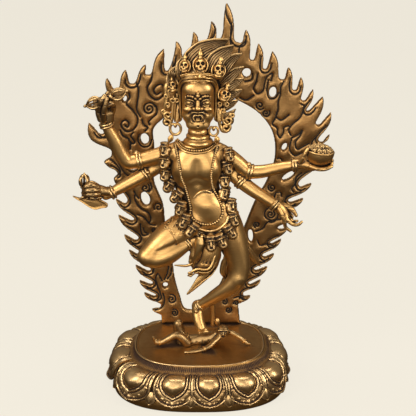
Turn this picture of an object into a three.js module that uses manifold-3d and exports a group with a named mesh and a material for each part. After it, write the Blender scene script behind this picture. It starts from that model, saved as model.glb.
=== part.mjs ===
// A cast brass dancer with four arms, trampling a fallen figure on a lotus base, before an aureole of flames.
// Millimetres, +Z up. The origin is under the middle of the base, and the group faces -Y.
import * as THREE from 'three';
import { mergeVertices } from 'three/addons/utils/BufferGeometryUtils.js';
import Module from 'manifold-3d';

const wasm = await Module();
wasm.setup();

// Driving sizes of the whole work
const TOTAL_HEIGHT = 296;
const PLATFORM_TOP = 32;
const SEAM = 0.3;

// The base is an oval with flat sides: half-widths along X, with the matching half-depths along Y
const OVAL_POWER = 2.6;
const RIM_HALF_WIDTH = 52.4;
const RIM_HALF_DEPTH = 41.1;
const PETAL_HALF_WIDTH = 73.5;
const PETAL_HALF_DEPTH = 59.4;
const RIBBED_BAND_OUTER = 58.8;
const FOOT_HALF_WIDTH = 68.6;
// The middle of each petal, as a share of the way round the widest edge from +X by way of the front
const PETAL_PLACES = [0, 0.083, 0.159, 0.231, 0.298, 0.387, 0.502, 0.585, 0.668, 0.751, 0.834, 0.917];
const STEPS_PER_PETAL = 4;
const GROOVE_STEP = 2;

// The aureole is one flat plate with a slight lean, standing at the back of the platform
const AUREOLE_FRONT = 31;
const AUREOLE_THICKNESS = 4;
// A flame of this length bulges by the belly on its outer side and is hollowed a little on its inner side
const FLAME_LENGTH = 26;
const FLAME_BELLY = 11.5;
const TOP_FLAME_BELLY = 5;
const FLAME_HOLLOW = 0.5;
const OUTER_PULL = 0.5;
const INNER_PULL = 0.5;
const NOTCH_ROUNDNESS = 0.3;
const NOTCH_FAR_ROUNDNESS = 0.28;
const CURVE_STEPS = 3;

const BRASS = { color: 0xb98a3e, roughness: 0.32, metalness: 1 };
const DARK_BRASS = { color: 0x8a5a28, roughness: 0.45, metalness: 1 };

const point = ([x, y, z]) => new THREE.Vector3(x, y, z);

/** Turns a closed geometry into a solid that can be joined and cut. */
function solidOf(geometry) {
  const bare = geometry.clone();
  bare.deleteAttribute('normal');
  bare.deleteAttribute('uv');
  const merged = mergeVertices(bare, 1e-4);
  const corners = merged.index.array;
  const kept = [];
  for (let i = 0; i < corners.length; i += 3) {
    const [a, b, c] = corners.slice(i, i + 3);
    if (a !== b && b !== c && c !== a) kept.push(a, b, c);
  }
  return new wasm.Manifold(new wasm.Mesh({
    numProp: 3,
    vertProperties: new Float32Array(merged.attributes.position.array),
    triVerts: new Uint32Array(kept),
  }));
}

const joined = (solids) => solids.reduce((whole, piece) => whole.add(piece));

/** Gives a solid back as a named mesh in its own material. */
function meshOf(name, solid, finish) {
  const { vertProperties, triVerts } = solid.getMesh();
  const geometry = new THREE.BufferGeometry();
  geometry.setAttribute('position', new THREE.BufferAttribute(new Float32Array(vertProperties), 3));
  geometry.setIndex(new THREE.BufferAttribute(new Uint32Array(triVerts), 1));
  geometry.computeVertexNormals();
  const mesh = new THREE.Mesh(geometry, new THREE.MeshStandardMaterial(finish));
  mesh.name = name;
  return mesh;
}

/** The value at 0 to 1 along a row of evenly spaced values. */
function along(values, t) {
  const place = Math.min(Math.max(t, 0), 1) * (values.length - 1);
  const before = Math.min(Math.floor(place), values.length - 2);
  return THREE.MathUtils.lerp(values[before], values[before + 1], place - before);
}

/**
 * A round-ended limb: a sphere drawn out along a smooth path. Each station is [x, y, z, radius], and
 * `depth` scales the radius towards and away from the viewer.
 */
function limb(stations, { sides = 7, rings = 6, depth = 1 } = {}) {
  const path = new THREE.CatmullRomCurve3(stations.map(point), false, 'centripetal');
  const radii = stations.map((station) => station[3]);
  const geometry = new THREE.SphereGeometry(1, sides, rings + 1);
  const position = geometry.attributes.position;
  for (let i = 0; i < position.count; i += 1) {
    const spot = new THREE.Vector3().fromBufferAttribute(position, i);
    const ring = Math.round((Math.acos(THREE.MathUtils.clamp(spot.y, -1, 1)) / Math.PI) * (rings + 1));
    const t = THREE.MathUtils.clamp((ring - 1) / (rings - 1), 0, 1);
    const centre = path.getPoint(t);
    const tangent = path.getTangent(t);
    const radius = along(radii, t);
    if (ring === 0 || ring === rings + 1) {
      centre.addScaledVector(tangent, (ring === 0 ? -0.55 : 0.55) * radius);
      position.setXYZ(i, ...centre.toArray());
      continue;
    }
    const away = Math.abs(tangent.y) > 0.9 ? new THREE.Vector3(0, 0, 1) : new THREE.Vector3(0, 1, 0);
    const side = new THREE.Vector3().crossVectors(tangent, away).normalize();
    const back = new THREE.Vector3().crossVectors(side, tangent);
    const turn = Math.atan2(spot.z, spot.x);
    centre.addScaledVector(side, Math.cos(turn) * radius);
    centre.addScaledVector(back, -Math.sin(turn) * radius * depth);
    position.setXYZ(i, ...centre.toArray());
  }
  return solidOf(geometry);
}

/** An ellipsoid at a centre [x, y, z], with its half-sizes along the axes. */
function ball(centre, [rx, ry, rz], sides = 6, rings = 4) {
  const geometry = new THREE.SphereGeometry(1, sides, rings).rotateX(Math.PI / 2);
  return solidOf(geometry.scale(rx, ry, rz).translate(...centre));
}

/** A turned shape: profile rows are [radius, distance from the start], and the axis runs from a start to an end. */
function turned(profile, start, end, sides = 8) {
  const points = profile.map(([radius, distance]) => new THREE.Vector2(radius, distance));
  const direction = point(end).sub(point(start)).normalize();
  const turn = new THREE.Quaternion().setFromUnitVectors(new THREE.Vector3(0, 1, 0), direction);
  return solidOf(new THREE.LatheGeometry(points, sides).applyQuaternion(turn).translate(...start));
}

/** A plate cut to an outline in the XZ plane, from one Y to another. */
function plate(shape, front, thickness, curveSegments = CURVE_STEPS) {
  const geometry = new THREE.ExtrudeGeometry(shape, { depth: thickness, bevelEnabled: false, curveSegments });
  return solidOf(geometry.rotateX(Math.PI / 2).translate(0, front + thickness, 0));
}

// Lotus base

/** Half-depth of the oval that has this half-width. */
function ovalDepth(halfWidth) {
  const slope = (PETAL_HALF_DEPTH - RIM_HALF_DEPTH) / (PETAL_HALF_WIDTH - RIM_HALF_WIDTH);
  if (halfWidth < RIM_HALF_WIDTH) return halfWidth * (RIM_HALF_DEPTH / RIM_HALF_WIDTH);
  return RIM_HALF_DEPTH + (halfWidth - RIM_HALF_WIDTH) * slope;
}

/** A point on the oval with this half-width, at an angle of its parameter. */
function ovalPoint(halfWidth, angle, z) {
  const round = (value) => Math.sign(value) * Math.abs(value) ** (2 / OVAL_POWER);
  return [halfWidth * round(Math.cos(angle)), ovalDepth(halfWidth) * round(Math.sin(angle)), z];
}

/** Oval parameters of the points at some shares of the way round the widest part of the base. */
function anglesAt(shares) {
  const samples = 2000;
  const lengths = [0];
  let last = ovalPoint(PETAL_HALF_WIDTH, 0, 0);
  for (let i = 1; i <= samples; i += 1) {
    const next = ovalPoint(PETAL_HALF_WIDTH, (i / samples) * 2 * Math.PI, 0);
    lengths.push(lengths[i - 1] + Math.hypot(next[0] - last[0], next[1] - last[1]));
    last = next;
  }
  return shares.map((share) => {
    const wanted = share * lengths[samples];
    const after = Math.max(lengths.findIndex((length) => length >= wanted), 1);
    const part = (wanted - lengths[after - 1]) / (lengths[after] - lengths[after - 1]);
    return ((after - 1 + part) / samples) * 2 * Math.PI;
  });
}

/** The shares of the way round at which the columns of the base stand, from each petal to the next. */
function columnPlaces() {
  return PETAL_PLACES.flatMap((place, i) => {
    const next = i + 1 < PETAL_PLACES.length ? PETAL_PLACES[i + 1] : 1;
    return Array.from({ length: STEPS_PER_PETAL }, (_, step) => THREE.MathUtils.lerp(place, next, step / STEPS_PER_PETAL));
  });
}

/**
 * The wall of the base, from the middle of the platform down over the petals to the middle of the
 * underside. Each row gives a half-width and a height at the middle of a petal and in the groove beside it.
 */
const BASE_ROWS = [
  { middle: [RIM_HALF_WIDTH - 1.6, PLATFORM_TOP - 0.6], groove: [RIM_HALF_WIDTH - 1.6, PLATFORM_TOP - 0.6] },
  { middle: [RIM_HALF_WIDTH - 1.2, PLATFORM_TOP], groove: [RIM_HALF_WIDTH - 1.2, PLATFORM_TOP] },
  { middle: [RIM_HALF_WIDTH, PLATFORM_TOP - 0.2], groove: [RIM_HALF_WIDTH, PLATFORM_TOP - 0.2] },
  { middle: [RIBBED_BAND_OUTER, 29.6], groove: [RIBBED_BAND_OUTER - 0.4, 29] },
  { middle: [64.5, 27.4], groove: [62.6, 26.2] },
  { middle: [70.6, 20.5], groove: [67.6, 20] },
  { middle: [72.6, 13], groove: [69.4, 14] },
  { middle: [PETAL_HALF_WIDTH, 6.2], groove: [70, 11] },
  { middle: [PETAL_HALF_WIDTH - 1.6, 5], groove: [69, 10] },
  { middle: [FOOT_HALF_WIDTH - 1.2, 6.4], groove: [FOOT_HALF_WIDTH - 1.2, 8.4] },
  { middle: [FOOT_HALF_WIDTH, 0], groove: [FOOT_HALF_WIDTH, 0] },
];

function lotusBase() {
  const angles = anglesAt(columnPlaces());
  const columns = angles.length;
  const geometry = new THREE.SphereGeometry(1, columns, BASE_ROWS.length + 1);
  const position = geometry.attributes.position;
  for (let i = 0; i < position.count; i += 1) {
    const column = i % (columns + 1);
    const row = Math.floor(i / (columns + 1)) - 1;
    if (row < 0 || row >= BASE_ROWS.length) {
      position.setXYZ(i, 0, 0, row < 0 ? PLATFORM_TOP - 0.6 : 0);
      continue;
    }
    const petal = Math.abs(Math.cos((Math.PI * column) / STEPS_PER_PETAL)) ** 0.7;
    const { middle, groove } = BASE_ROWS[row];
    const halfWidth = THREE.MathUtils.lerp(groove[0], middle[0], petal);
    const z = THREE.MathUtils.lerp(groove[1], middle[1], petal);
    const angle = -angles[column % columns];
    position.setXYZ(i, ...ovalPoint(halfWidth, angle, z));
  }
  geometry.index.array.reverse();
  const body = solidOf(geometry);
  const between = angles
    .filter((_, step) => step % STEPS_PER_PETAL === GROOVE_STEP)
    .map((angle) => ovalPoint(FOOT_HALF_WIDTH + 0.6, -angle, 8));
  return { body, between };
}

// Flame aureole

// Each row is one flame: its tip [x, z], and the bottom of the notch after it, going down that side.
const TOP_TIP = [20.6, TOTAL_HEIGHT];
const RIGHT_FLAMES = [
  { tip: TOP_TIP, notch: [29, 266] },
  { tip: [35.5, 275.5], notch: [39.7, 252.5] },
  { tip: [45, 265], notch: [49.6, 245.5] },
  { tip: [55.5, 259], notch: [62.5, 237.5] },
  { tip: [68, 247], notch: [72.4, 229] },
  { tip: [77.6, 239], notch: [79, 221] },
  { tip: [87, 229.5], notch: [82.6, 212.8] },
  { tip: [94.7, 224], notch: [90.6, 202] },
  { tip: [101.8, 211.5], notch: [93, 188.6] },
  { tip: [101.2, 193.6], notch: [89, 181] },
  { tip: [95, 171], notch: [78, 153] },
  { tip: [88.3, 153.5], notch: [70.2, 139.3] },
  { tip: [82.3, 141], notch: [68, 128.5] },
  { tip: [75, 124.5], notch: [62.4, 116.4] },
  { tip: [70, 115], notch: [56.5, 103] },
  { tip: [65.5, 106], notch: [50.7, 92] },
  { tip: [60.3, 93.5], notch: [44, 80] },
  { tip: [55, 82], notch: [39.6, 67.3] },
  { tip: [49.7, 70.2], notch: [35.4, 58] },
  { tip: [41.5, 55.7], notch: [31.5, 47] },
];
const LEFT_FLAMES = [
  { tip: TOP_TIP, notch: [15, 268.5] },
  { tip: [9.5, 282], notch: [1.5, 263] },
  { tip: [-4, 274], notch: [-11, 255] },
  { tip: [-17, 266.7], notch: [-24.5, 244] },
  { tip: [-26.4, 261], notch: [-38.3, 241] },
  { tip: [-40.4, 249], notch: [-50.5, 234] },
  { tip: [-55.7, 245], notch: [-62.6, 230] },
  { tip: [-70, 238.5], notch: [-70, 221] },
  { tip: [-81, 223], notch: [-73.6, 195] },
  { tip: [-85, 203], notch: [-68, 180] },
  { tip: [-74.2, 171.6], notch: [-64.8, 164] },
  { tip: [-67, 157.6], notch: [-57, 138.3] },
  { tip: [-65.9, 140.2], notch: [-51.8, 123.2] },
  { tip: [-64.3, 126.7], notch: [-48.8, 106.7] },
  { tip: [-60.1, 109.8], notch: [-48.4, 94.4] },
  { tip: [-56.7, 96.5], notch: [-39.3, 79.2] },
  { tip: [-51.8, 83.3], notch: [-37.9, 67.6] },
  { tip: [-49, 69.6], notch: [-35.4, 56.6] },
  { tip: [-45.4, 58.7], notch: [-31.5, 47.5] },
  { tip: [-38.9, 43.7], notch: [-31.5, 38] },
];
// The great opening behind the dancer, and the small ones pierced between the tongues: [x, z, half-width, half-height, turn]
const OPENING = [
  [-12, 44.4], [-16.5, 56.5], [-20.4, 72], [-22.5, 92], [-27.4, 118], [-29, 136], [-35.7, 155.8], [-35.2, 186],
  [-35.6, 198], [-26.2, 208.5], [-8, 223], [9, 230], [30.3, 221.5], [46, 211.5], [57, 196], [59.5, 178],
  [53.3, 156.3], [44.6, 139.8], [37, 119.7], [28, 96], [21.5, 77.7], [12, 58], [1, 44.4],
];
const PIERCINGS = [
  [36.2, 243.2, 3.4, 3.6, 0], [56.4, 227.9, 3, 4.4, -0.1], [66.3, 184.3, 2, 3.4, -0.4], [70, 160.6, 2.4, 6, -0.95],
  [41, 109.7, 2.2, 5.6, 0.1], [-42.1, 190.8, 3.4, 4.6, 0.1], [-56.6, 222.8, 1.6, 2.6, -0.2],
  [-52.3, 167, 4, 2.4, 0], [-42.6, 141.3, 3.6, 6, 0.25], [-27.8, 66.4, 2.3, 2.5, 0],
];
const AUREOLE_FOOT = { left: -31, right: 33, z: PLATFORM_TOP + SEAM };

/** Adds the two S-curves of every flame down one side, from the top tip. `mirror` is 1 on the right and -1 on the left. */
function flameSide(flames, mirror) {
  const at = ([x, z]) => new THREE.Vector2(x, z);
  const sides = [];
  flames.forEach(({ tip, notch }, i) => {
    const before = at(i === 0 ? [2 * tip[0] - notch[0], notch[1]] : flames[i - 1].notch);
    const after = at(notch);
    const end = at(tip);
    const root = before.clone().add(after).multiplyScalar(0.5);
    const axis = end.clone().sub(root);
    const length = axis.length();
    axis.normalize();
    const nextTip = i + 1 < flames.length ? at(flames[i + 1].tip) : after.clone();
    const climb = after.distanceTo(nextTip);
    const nextAxis = nextTip.clone().sub(after).normalize();
    const mouth = axis.clone().add(nextAxis).normalize();
    const square = (direction) => new THREE.Vector2(direction.y, -direction.x).multiplyScalar(mirror);
    const across = square(mouth).negate();
    const width = Math.min(end.distanceTo(nextTip), 24);
    const belly = (i === 0 ? TOP_FLAME_BELLY : FLAME_BELLY) * Math.min(length / FLAME_LENGTH, 1.2);
    const hollow = FLAME_HOLLOW * Math.min(climb / FLAME_LENGTH, 1.2);
    sides.push({
      tip: end,
      leave: end.clone().addScaledVector(axis, -OUTER_PULL * length).addScaledVector(square(axis), belly),
      arrive: after.clone().addScaledVector(across, NOTCH_ROUNDNESS * width),
      notch: after,
      depart: after.clone().addScaledVector(across, -NOTCH_FAR_ROUNDNESS * width),
      approach: nextTip.clone().addScaledVector(nextAxis, -INNER_PULL * climb).addScaledVector(square(nextAxis), hollow),
      next: nextTip,
    });
  });
  return sides;
}

function flameAureole() {
  const right = flameSide(RIGHT_FLAMES, 1);
  const left = flameSide(LEFT_FLAMES, -1);
  const shape = new THREE.Shape();
  shape.moveTo(...TOP_TIP);
  left.forEach(({ leave, arrive, notch, depart, approach, next }, i) => {
    shape.bezierCurveTo(...leave, ...arrive, ...notch);
    if (i + 1 < left.length) shape.bezierCurveTo(...depart, ...approach, ...next);
  });
  shape.lineTo(AUREOLE_FOOT.left, AUREOLE_FOOT.z);
  shape.lineTo(AUREOLE_FOOT.right, AUREOLE_FOOT.z);
  [...right].reverse().forEach(({ tip, leave, arrive, notch, depart, approach, next }, i) => {
    if (i === 0) shape.lineTo(...notch);
    else shape.bezierCurveTo(...approach, ...depart, ...notch);
    shape.bezierCurveTo(...arrive, ...leave, ...tip);
  });
  const opening = new THREE.Path();
  const loop = [...OPENING, OPENING[0]].map(([x, z]) => new THREE.Vector2(x, z));
  opening.moveTo(...loop[0]);
  opening.splineThru(loop.slice(1));
  shape.holes.push(opening);
  for (const [x, z, halfWidth, halfHeight, turn] of PIERCINGS) {
    const hole = new THREE.Path();
    hole.absellipse(x, z, halfWidth, halfHeight, 0, 2 * Math.PI, true, turn);
    shape.holes.push(hole);
  }
  return plate(shape, AUREOLE_FRONT, AUREOLE_THICKNESS);
}

// Trampled figure, lying on its back with its head to the right

const FALLEN = {
  trunk: [[-6, 0, 37, 5], [2, 0, 36.6, 4.6], [10, 0, 37.4, 5.4], [16, 0, 38, 5.2], [21, 0, 39.4, 3.4]],
  head: { centre: [24, 0, 40.5], half: [4.8, 4.6, 5] },
  nearLeg: [[-7, -4, 36.5, 4], [-17.5, -4.5, 37.6, 3], [-29, -4.5, 34.6, 2.4], [-34, -4.5, 34.2, 2.2]],
  nearFoot: [[-34.5, -4.5, 33.6, 2.2], [-36.6, -4.5, 38.4, 1.4]],
  farThigh: [[-7, 3, 36.5, 3.8], [-12, 5, 41, 3.4], [-15.5, 6, 43.2, 3.4]],
  farShin: [[-16.5, 6, 43, 3.2], [-18, 5, 37.6, 2.6], [-19, 4, 34.4, 2.4]],
  nearArm: [[17, -4, 38.2, 2.6], [12, -9, 34.6, 2.1], [6, -13, 34.2, 1.9], [-1.5, -16, 33.9, 1.7], [-8, -18.5, 33.8, 1.5]],
  nearHand: [[-7.5, -18.2, 33.6, 1.7], [-11, -19.3, 33.4, 1.3]],
  farArm: [[20, 3, 38.6, 2.4], [26.5, -1, 37.6, 2], [33, -4, 35.4, 1.8], [38.5, -6, 33.8, 1.5]],
};

function trampledFigure() {
  const pieces = [
    limb(FALLEN.trunk, { sides: 8, depth: 1.1 }),
    ball(FALLEN.head.centre, FALLEN.head.half, 7, 5),
    limb(FALLEN.nearLeg),
    limb(FALLEN.nearFoot, { sides: 6, rings: 3 }),
    limb(FALLEN.farThigh, { rings: 4 }),
    limb(FALLEN.farShin, { rings: 4 }),
    limb(FALLEN.nearArm, { sides: 5, rings: 6 }),
    limb(FALLEN.nearHand, { sides: 5, rings: 3 }),
    limb(FALLEN.farArm, { sides: 5, rings: 5 }),
  ];
  return joined(pieces);
}

// Dancer

const TRUNK = [[-1.4, 2, 198, 7], [-1.6, 1, 191, 18], [-1.8, 0, 180, 21], [-1.6, 0, 170, 19.5], [-0.6, 0, 160, 17.2], [2, 0, 150, 18.4], [6, 0, 139, 19.4], [8, 0, 131, 15]];
const BELLY = { centre: [6.4, -5, 151], half: [12, 10.5, 12] };
const CHEST = [{ centre: [-10.6, -9.4, 181], half: [7, 5.4, 7] }, { centre: [7.4, -9.4, 181], half: [7, 5.4, 7] }];
const NECK = [[-1.2, 0, 214, 6.4], [-1.4, 1, 196, 7.6]];
const HEAD = [[-0.4, -1, 254, 9.5], [-0.4, -1.6, 243, 12.2], [-0.5, -2.4, 230, 12.9], [-0.5, -4, 220, 11.4], [-0.5, -6, 214.4, 6.4]];

// Arms run shoulder, elbow, wrist; A is the viewer's upper left, then lower left, upper right and lower right.
const ARMS = {
  upperLeft: [[-16, 1, 190, 6], [-30, 0, 188.4, 5.3], [-51, -2, 184.6, 5], [-60, -4, 199, 4.8], [-68, -6, 214, 3.9]],
  lowerLeft: [[-16, 3, 184, 6], [-27, 3, 180.6, 5], [-38, 1, 174.6, 4.9], [-53, -2, 166.6, 4.6], [-66.5, -5, 159.8, 3.8]],
  upperRight: [[14, 1, 190, 6], [24, 0, 187, 5.2], [38.4, -1, 176.4, 5], [55, -2, 179, 4.6], [72, -4, 182, 3.5]],
  lowerRight: [[14, 3, 183, 6], [22, 2, 176.4, 5], [31, 0, 168, 4.8], [45, -3, 158.6, 4.3], [59, -6, 149.8, 3.4]],
};
const HANDS = {
  upperLeftPalm: [[-68, -6.5, 215, 4], [-68.6, -8, 221, 5], [-68, -8, 229, 4.8]],
  upperLeftFingers: [[-66, -11, 229, 3.6], [-67, -9, 235, 3.2]],
  lowerLeftPalm: [[-66, -5.5, 160, 4], [-72, -8, 161, 5.2], [-78, -9, 162.6, 4.6]],
  upperRightPalm: [[72, -4.4, 182.2, 3.6], [80, -5, 181.8, 3.8], [90, -4.6, 179.6, 3.4], [100, -4, 182.6, 2]],
  lowerRightPalm: [[58.6, -6, 150, 3.6], [63, -7, 144.4, 4.2], [66, -8, 139, 3.4]],
  lowerRightPointer: [[66, -8, 140, 2.6], [68.6, -8, 132, 1.8], [71.6, -7.5, 127.6, 1.3]],
  lowerRightMiddle: [[66, -8, 139, 2.6], [72, -9, 134.4, 1.7], [79, -9, 136, 1.3]],
  lowerRightThumb: [[63, -6, 146, 2.6], [69, -6, 145.4, 2], [74, -6.5, 140.6, 1.4]],
};
const LEGS = {
  standing: [[14, 0, 144, 13], [25, -2, 122, 12.8], [32.5, -5, 100, 9.4], [34, -7, 88.5, 8.2], [22, -4.5, 77.5, 6.8], [8.5, 0, 68, 5.2], [-0.5, 3.4, 62, 4.4]],
  standingFoot: [[-1, 4.6, 62.5, 4.6], [-0.4, 0, 55.5, 4.8], [2, -4, 48, 4.4], [4.4, -5.6, 43.4, 3]],
  raisedThigh: [[-6, -3, 133, 12.6], [-20, -9, 127.6, 12], [-34, -15, 119, 9.4], [-42, -18, 113.4, 7]],
  raisedShin: [[-41.5, -18.5, 112, 6.8], [-28, -17.5, 114.6, 8.6], [-14, -15.6, 120, 6.2], [-7, -14, 124, 4.6]],
  raisedFoot: [[-1.5, -14.4, 127, 5.4], [-1.8, -15, 119, 5], [-3.4, -15.6, 110.4, 3.6]],
};
const STRUT = [[9.4, 5.5, 66, 2.4], [10, 6, 48, 2.2], [11, 7, 33, 2.6]];

// Cast cloth: the folded skirt below the belt, its pointed tail, and a flicked edge
const CLOTH = {
  skirt: [[7, -8, 131, 9], [4, -11, 117, 9.6], [3, -12, 104, 9.2], [-3, -12.6, 98.4, 5]],
  tail: [[12, -9, 106, 6.4], [6, -11, 96, 6], [-2, -12, 86, 3.8], [-8.6, -12, 79.6, 1.6]],
  flick: [[-2, -13.4, 110, 2.4], [-10, -13.6, 105, 1.6], [-18.6, -13.6, 104.6, 1]],
  hip: [[-6, -6, 140, 10], [-20, -9, 130, 10.6]],
};

// Severed heads on the garland, one each side of the belly line down to the loins: [x, y, z]
const GARLAND = [
  [-23, -6, 192], [-23.4, -4.6, 183], [-23.4, -3.6, 175], [-22, -3.6, 167.4], [-19, -5, 160], [-15, -9, 152.6],
  [-12.6, -12, 145], [-11.4, -15, 137], [-5, -17, 130], [9, -14.6, 123.6], [16.6, -14, 126], [23.4, -11.6, 133],
  [25, -7, 142], [20.6, -7, 152], [16.8, -6, 161], [19, -5, 170.4], [20, -5, 180], [21.4, -6, 190],
];
const GARLAND_HEAD_HALF = [4.2, 4, 4.6];

// Crown and hair
const HEADBAND = { centre: [-0.2, -2.4, 246.6], radius: 13.2, tube: 2.6, depth: 0.98 };
const CROWN_SKULLS = [[1.3, -10.6, 257.2], [-10, -8.6, 255.6], [12.6, -6.6, 253], [-17, -3, 245.6], [19.4, -3, 240.4]];
const CROWN_SKULL_HALF = [4.4, 3.8, 5];
const HAIR_MASS = [[-3, 1, 254, 11], [5, 2, 262, 11], [15, 3, 258, 9], [18, 3, 247, 8]];
const HAIR_LOCKS = [
  [[-7, 1, 262, 5], [-9.6, 1, 267, 3]],
  [[2, 1, 267, 6], [12, 2, 272, 4.6], [21.8, 2, 276, 1.4]],
  [[14, 2, 264, 6], [25.8, 3, 271, 1.4]],
  [[19, 3, 258, 6], [30.6, 3, 264.4, 1.4]],
  [[22, 3, 251, 5.4], [32, 4, 255.2, 1.4]],
  [[20, 3, 245, 5.4], [32, 4, 247, 1.4]],
  [[18, 2, 236, 6], [30.8, 4, 237.4, 1.4]],
  [[16, 2, 228, 6], [28, 4, 227.6, 1.4]],
];
const SIDE_LOCKS = [
  [[-15, 1, 243, 5], [-19, 1, 233, 4.6], [-19.6, 0, 222, 4.6], [-21.6, 0, 215, 4]],
  [[15, 1, 240, 6], [19.6, 1, 230, 6], [19.4, 0, 219, 5.4], [20.6, 0, 210, 4]],
];
const EARRINGS = [[[-14, -2, 228, 3], [-14.6, -3, 219, 3], [-16.6, -4, 210, 4.2], [-21, -4.6, 200, 2]], [[13, -2, 228, 3], [12.6, -3, 218, 3], [11, -4, 208.6, 3.6], [14.4, -4.6, 199.6, 2]]];

// Things held
const VAJRA = { start: [-81.6, -9.4, 229], end: [-52.4, -9.4, 239.6], profile: [[0, 0], [1.2, 0.2], [4.6, 5.6], [4.6, 10], [2, 12.6], [2, 18.4], [4.6, 21], [4.6, 25.4], [1.2, 30.8], [0, 31]] };
const KNIFE = {
  blade: [[-94.8, 158.2], [-84, 159.4], [-74.4, 155], [-68.6, 151.8], [-68.8, 149.8], [-74, 148.2], [-79.6, 147.8], [-86, 152.4]],
  front: -11,
  thickness: 2,
  handle: [[-87.4, -9.6, 158, 2.4], [-86.6, -9.4, 166, 2.2], [-84.8, -9, 174, 3.6]],
  hilt: [[-87, -10, 157, 2.6], [-78, -10, 160, 3]],
};
const SKULL_CUP = { foot: [91, -5, 182.6], top: [91.4, -5, 192], profile: [[0, 0], [4.6, 0.3], [8, 2.6], [10.2, 6.4], [10.6, 9.4], [8.4, 12.4], [5, 14.8], [0, 16]] };

/** A flat shape with straight sides, as a plate. */
function bladeSolid({ blade, front, thickness }) {
  return plate(new THREE.Shape(blade.map(([x, z]) => new THREE.Vector2(x, z))), front, thickness);
}

function headSolids() {
  const band = new THREE.TorusGeometry(HEADBAND.radius, HEADBAND.tube, 4, 10);
  band.scale(1, HEADBAND.depth, 1).translate(...HEADBAND.centre);
  return [
    limb(HEAD, { sides: 9, rings: 6, depth: 1.04 }),
    solidOf(band),
    ...CROWN_SKULLS.map((centre) => ball(centre, CROWN_SKULL_HALF, 6, 3)),
    limb(HAIR_MASS, { sides: 8, rings: 5, depth: 0.9 }),
    ...HAIR_LOCKS.map((lock) => limb(lock, { sides: 5, rings: 3, depth: 0.62 })),
    ...SIDE_LOCKS.map((lock) => limb(lock, { sides: 6, rings: 4, depth: 0.7 })),
    ...EARRINGS.map((ring) => limb(ring, { sides: 5, rings: 5, depth: 0.7 })),
  ];
}

function bodySolids() {
  return [
    limb(TRUNK, { sides: 9, rings: 8, depth: 0.62 }),
    ball(BELLY.centre, BELLY.half, 9, 6),
    ...CHEST.map(({ centre, half }) => ball(centre, half, 7, 5)),
    limb(NECK, { rings: 3 }),
    limb(LEGS.standing, { rings: 9 }),
    limb(LEGS.standingFoot, { rings: 5, depth: 0.9 }),
    limb(LEGS.raisedThigh),
    limb(LEGS.raisedShin),
    limb(LEGS.raisedFoot, { rings: 4, depth: 0.8 }),
    limb(STRUT, { sides: 6, rings: 3 }),
  ];
}

function armSolids() {
  return [
    ...Object.values(ARMS).map((arm) => limb(arm, { rings: 7 })),
    ...Object.values(HANDS).map((hand) => limb(hand, { sides: 5, rings: 3 })),
    turned(VAJRA.profile, VAJRA.start, VAJRA.end, 6),
    turned(SKULL_CUP.profile, SKULL_CUP.foot, SKULL_CUP.top, 9),
    bladeSolid(KNIFE),
    limb(KNIFE.handle, { sides: 6, rings: 4 }),
    limb(KNIFE.hilt, { sides: 6, rings: 3 }),
  ];
}

function clothSolids() {
  return [
    limb(CLOTH.skirt, { rings: 4, depth: 0.5 }),
    limb(CLOTH.tail, { rings: 4, depth: 0.36 }),
    limb(CLOTH.flick, { sides: 6, rings: 4 }),
    limb(CLOTH.hip, { sides: 8, rings: 3 }),
    ...GARLAND.map((centre) => ball(centre, GARLAND_HEAD_HALF, 5, 3)),
  ];
}

/** Cuts away whatever reaches below a level. */
function cutBelow(solid, z) {
  const depth = 60;
  const box = new THREE.BoxGeometry(400, 400, depth).translate(0, 0, z - depth / 2);
  return solid.subtract(solidOf(box));
}

/** Cuts one solid back from another, with a seam on every side of it. */
function clearOf(solid, neighbour) {
  const shifts = [[0, 0, 0], [0, 0, SEAM], [SEAM, 0, 0], [-SEAM, 0, 0], [0, SEAM, 0], [0, -SEAM, 0]];
  const shape = meshOf('neighbour', neighbour, BRASS).geometry;
  return shifts.reduce((rest, shift) => rest.subtract(solidOf(shape.clone().translate(...shift))), solid);
}

/** A ring of small leaves showing between the large petals. */
function betweenLeaves(places) {
  return places.map((place) => ball(place, [3.2, 3.2, 5], 4, 3));
}

const { body: baseBody, between } = lotusBase();
const base = joined([baseBody, ...betweenLeaves(between)]);
const fallen = cutBelow(trampledFigure(), PLATFORM_TOP + SEAM);
const dancer = cutBelow(joined([...bodySolids(), ...headSolids(), ...armSolids(), ...clothSolids()]), PLATFORM_TOP + SEAM);

const statue = new THREE.Group();
statue.add(
  meshOf('lotus_base', base, BRASS),
  meshOf('trampled_figure', fallen, BRASS),
  meshOf('dancing_figure', clearOf(dancer, fallen), BRASS),
  meshOf('flame_aureole', flameAureole(), DARK_BRASS),
);
export default statue;
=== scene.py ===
"""The visual model of a cast brass dancer with four arms on a fallen figure, before an aureole of flames.

Every shape is worked out in millimetres with numpy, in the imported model's frame, and cast in metres.
"""
import logging
import math
from dataclasses import dataclass, field
from enum import Enum
from typing import Iterable, Sequence

import bpy
import numpy as np
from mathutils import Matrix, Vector
from mathutils.geometry import delaunay_2d_cdt


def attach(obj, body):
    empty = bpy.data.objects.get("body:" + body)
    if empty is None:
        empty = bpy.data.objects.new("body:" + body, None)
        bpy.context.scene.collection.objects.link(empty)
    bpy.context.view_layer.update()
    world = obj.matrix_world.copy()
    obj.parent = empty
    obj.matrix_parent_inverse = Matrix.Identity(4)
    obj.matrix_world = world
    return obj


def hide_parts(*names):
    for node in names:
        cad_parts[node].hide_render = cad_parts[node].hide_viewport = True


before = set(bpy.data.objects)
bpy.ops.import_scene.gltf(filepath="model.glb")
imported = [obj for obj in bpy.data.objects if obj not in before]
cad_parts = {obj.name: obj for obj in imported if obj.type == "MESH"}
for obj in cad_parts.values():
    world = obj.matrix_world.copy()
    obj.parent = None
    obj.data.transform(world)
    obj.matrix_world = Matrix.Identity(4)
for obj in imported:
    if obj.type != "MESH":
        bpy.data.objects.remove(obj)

Numbers = Sequence[float]
LOG = logging.getLogger("statue")
MILLIMETRE = 0.001
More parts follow.
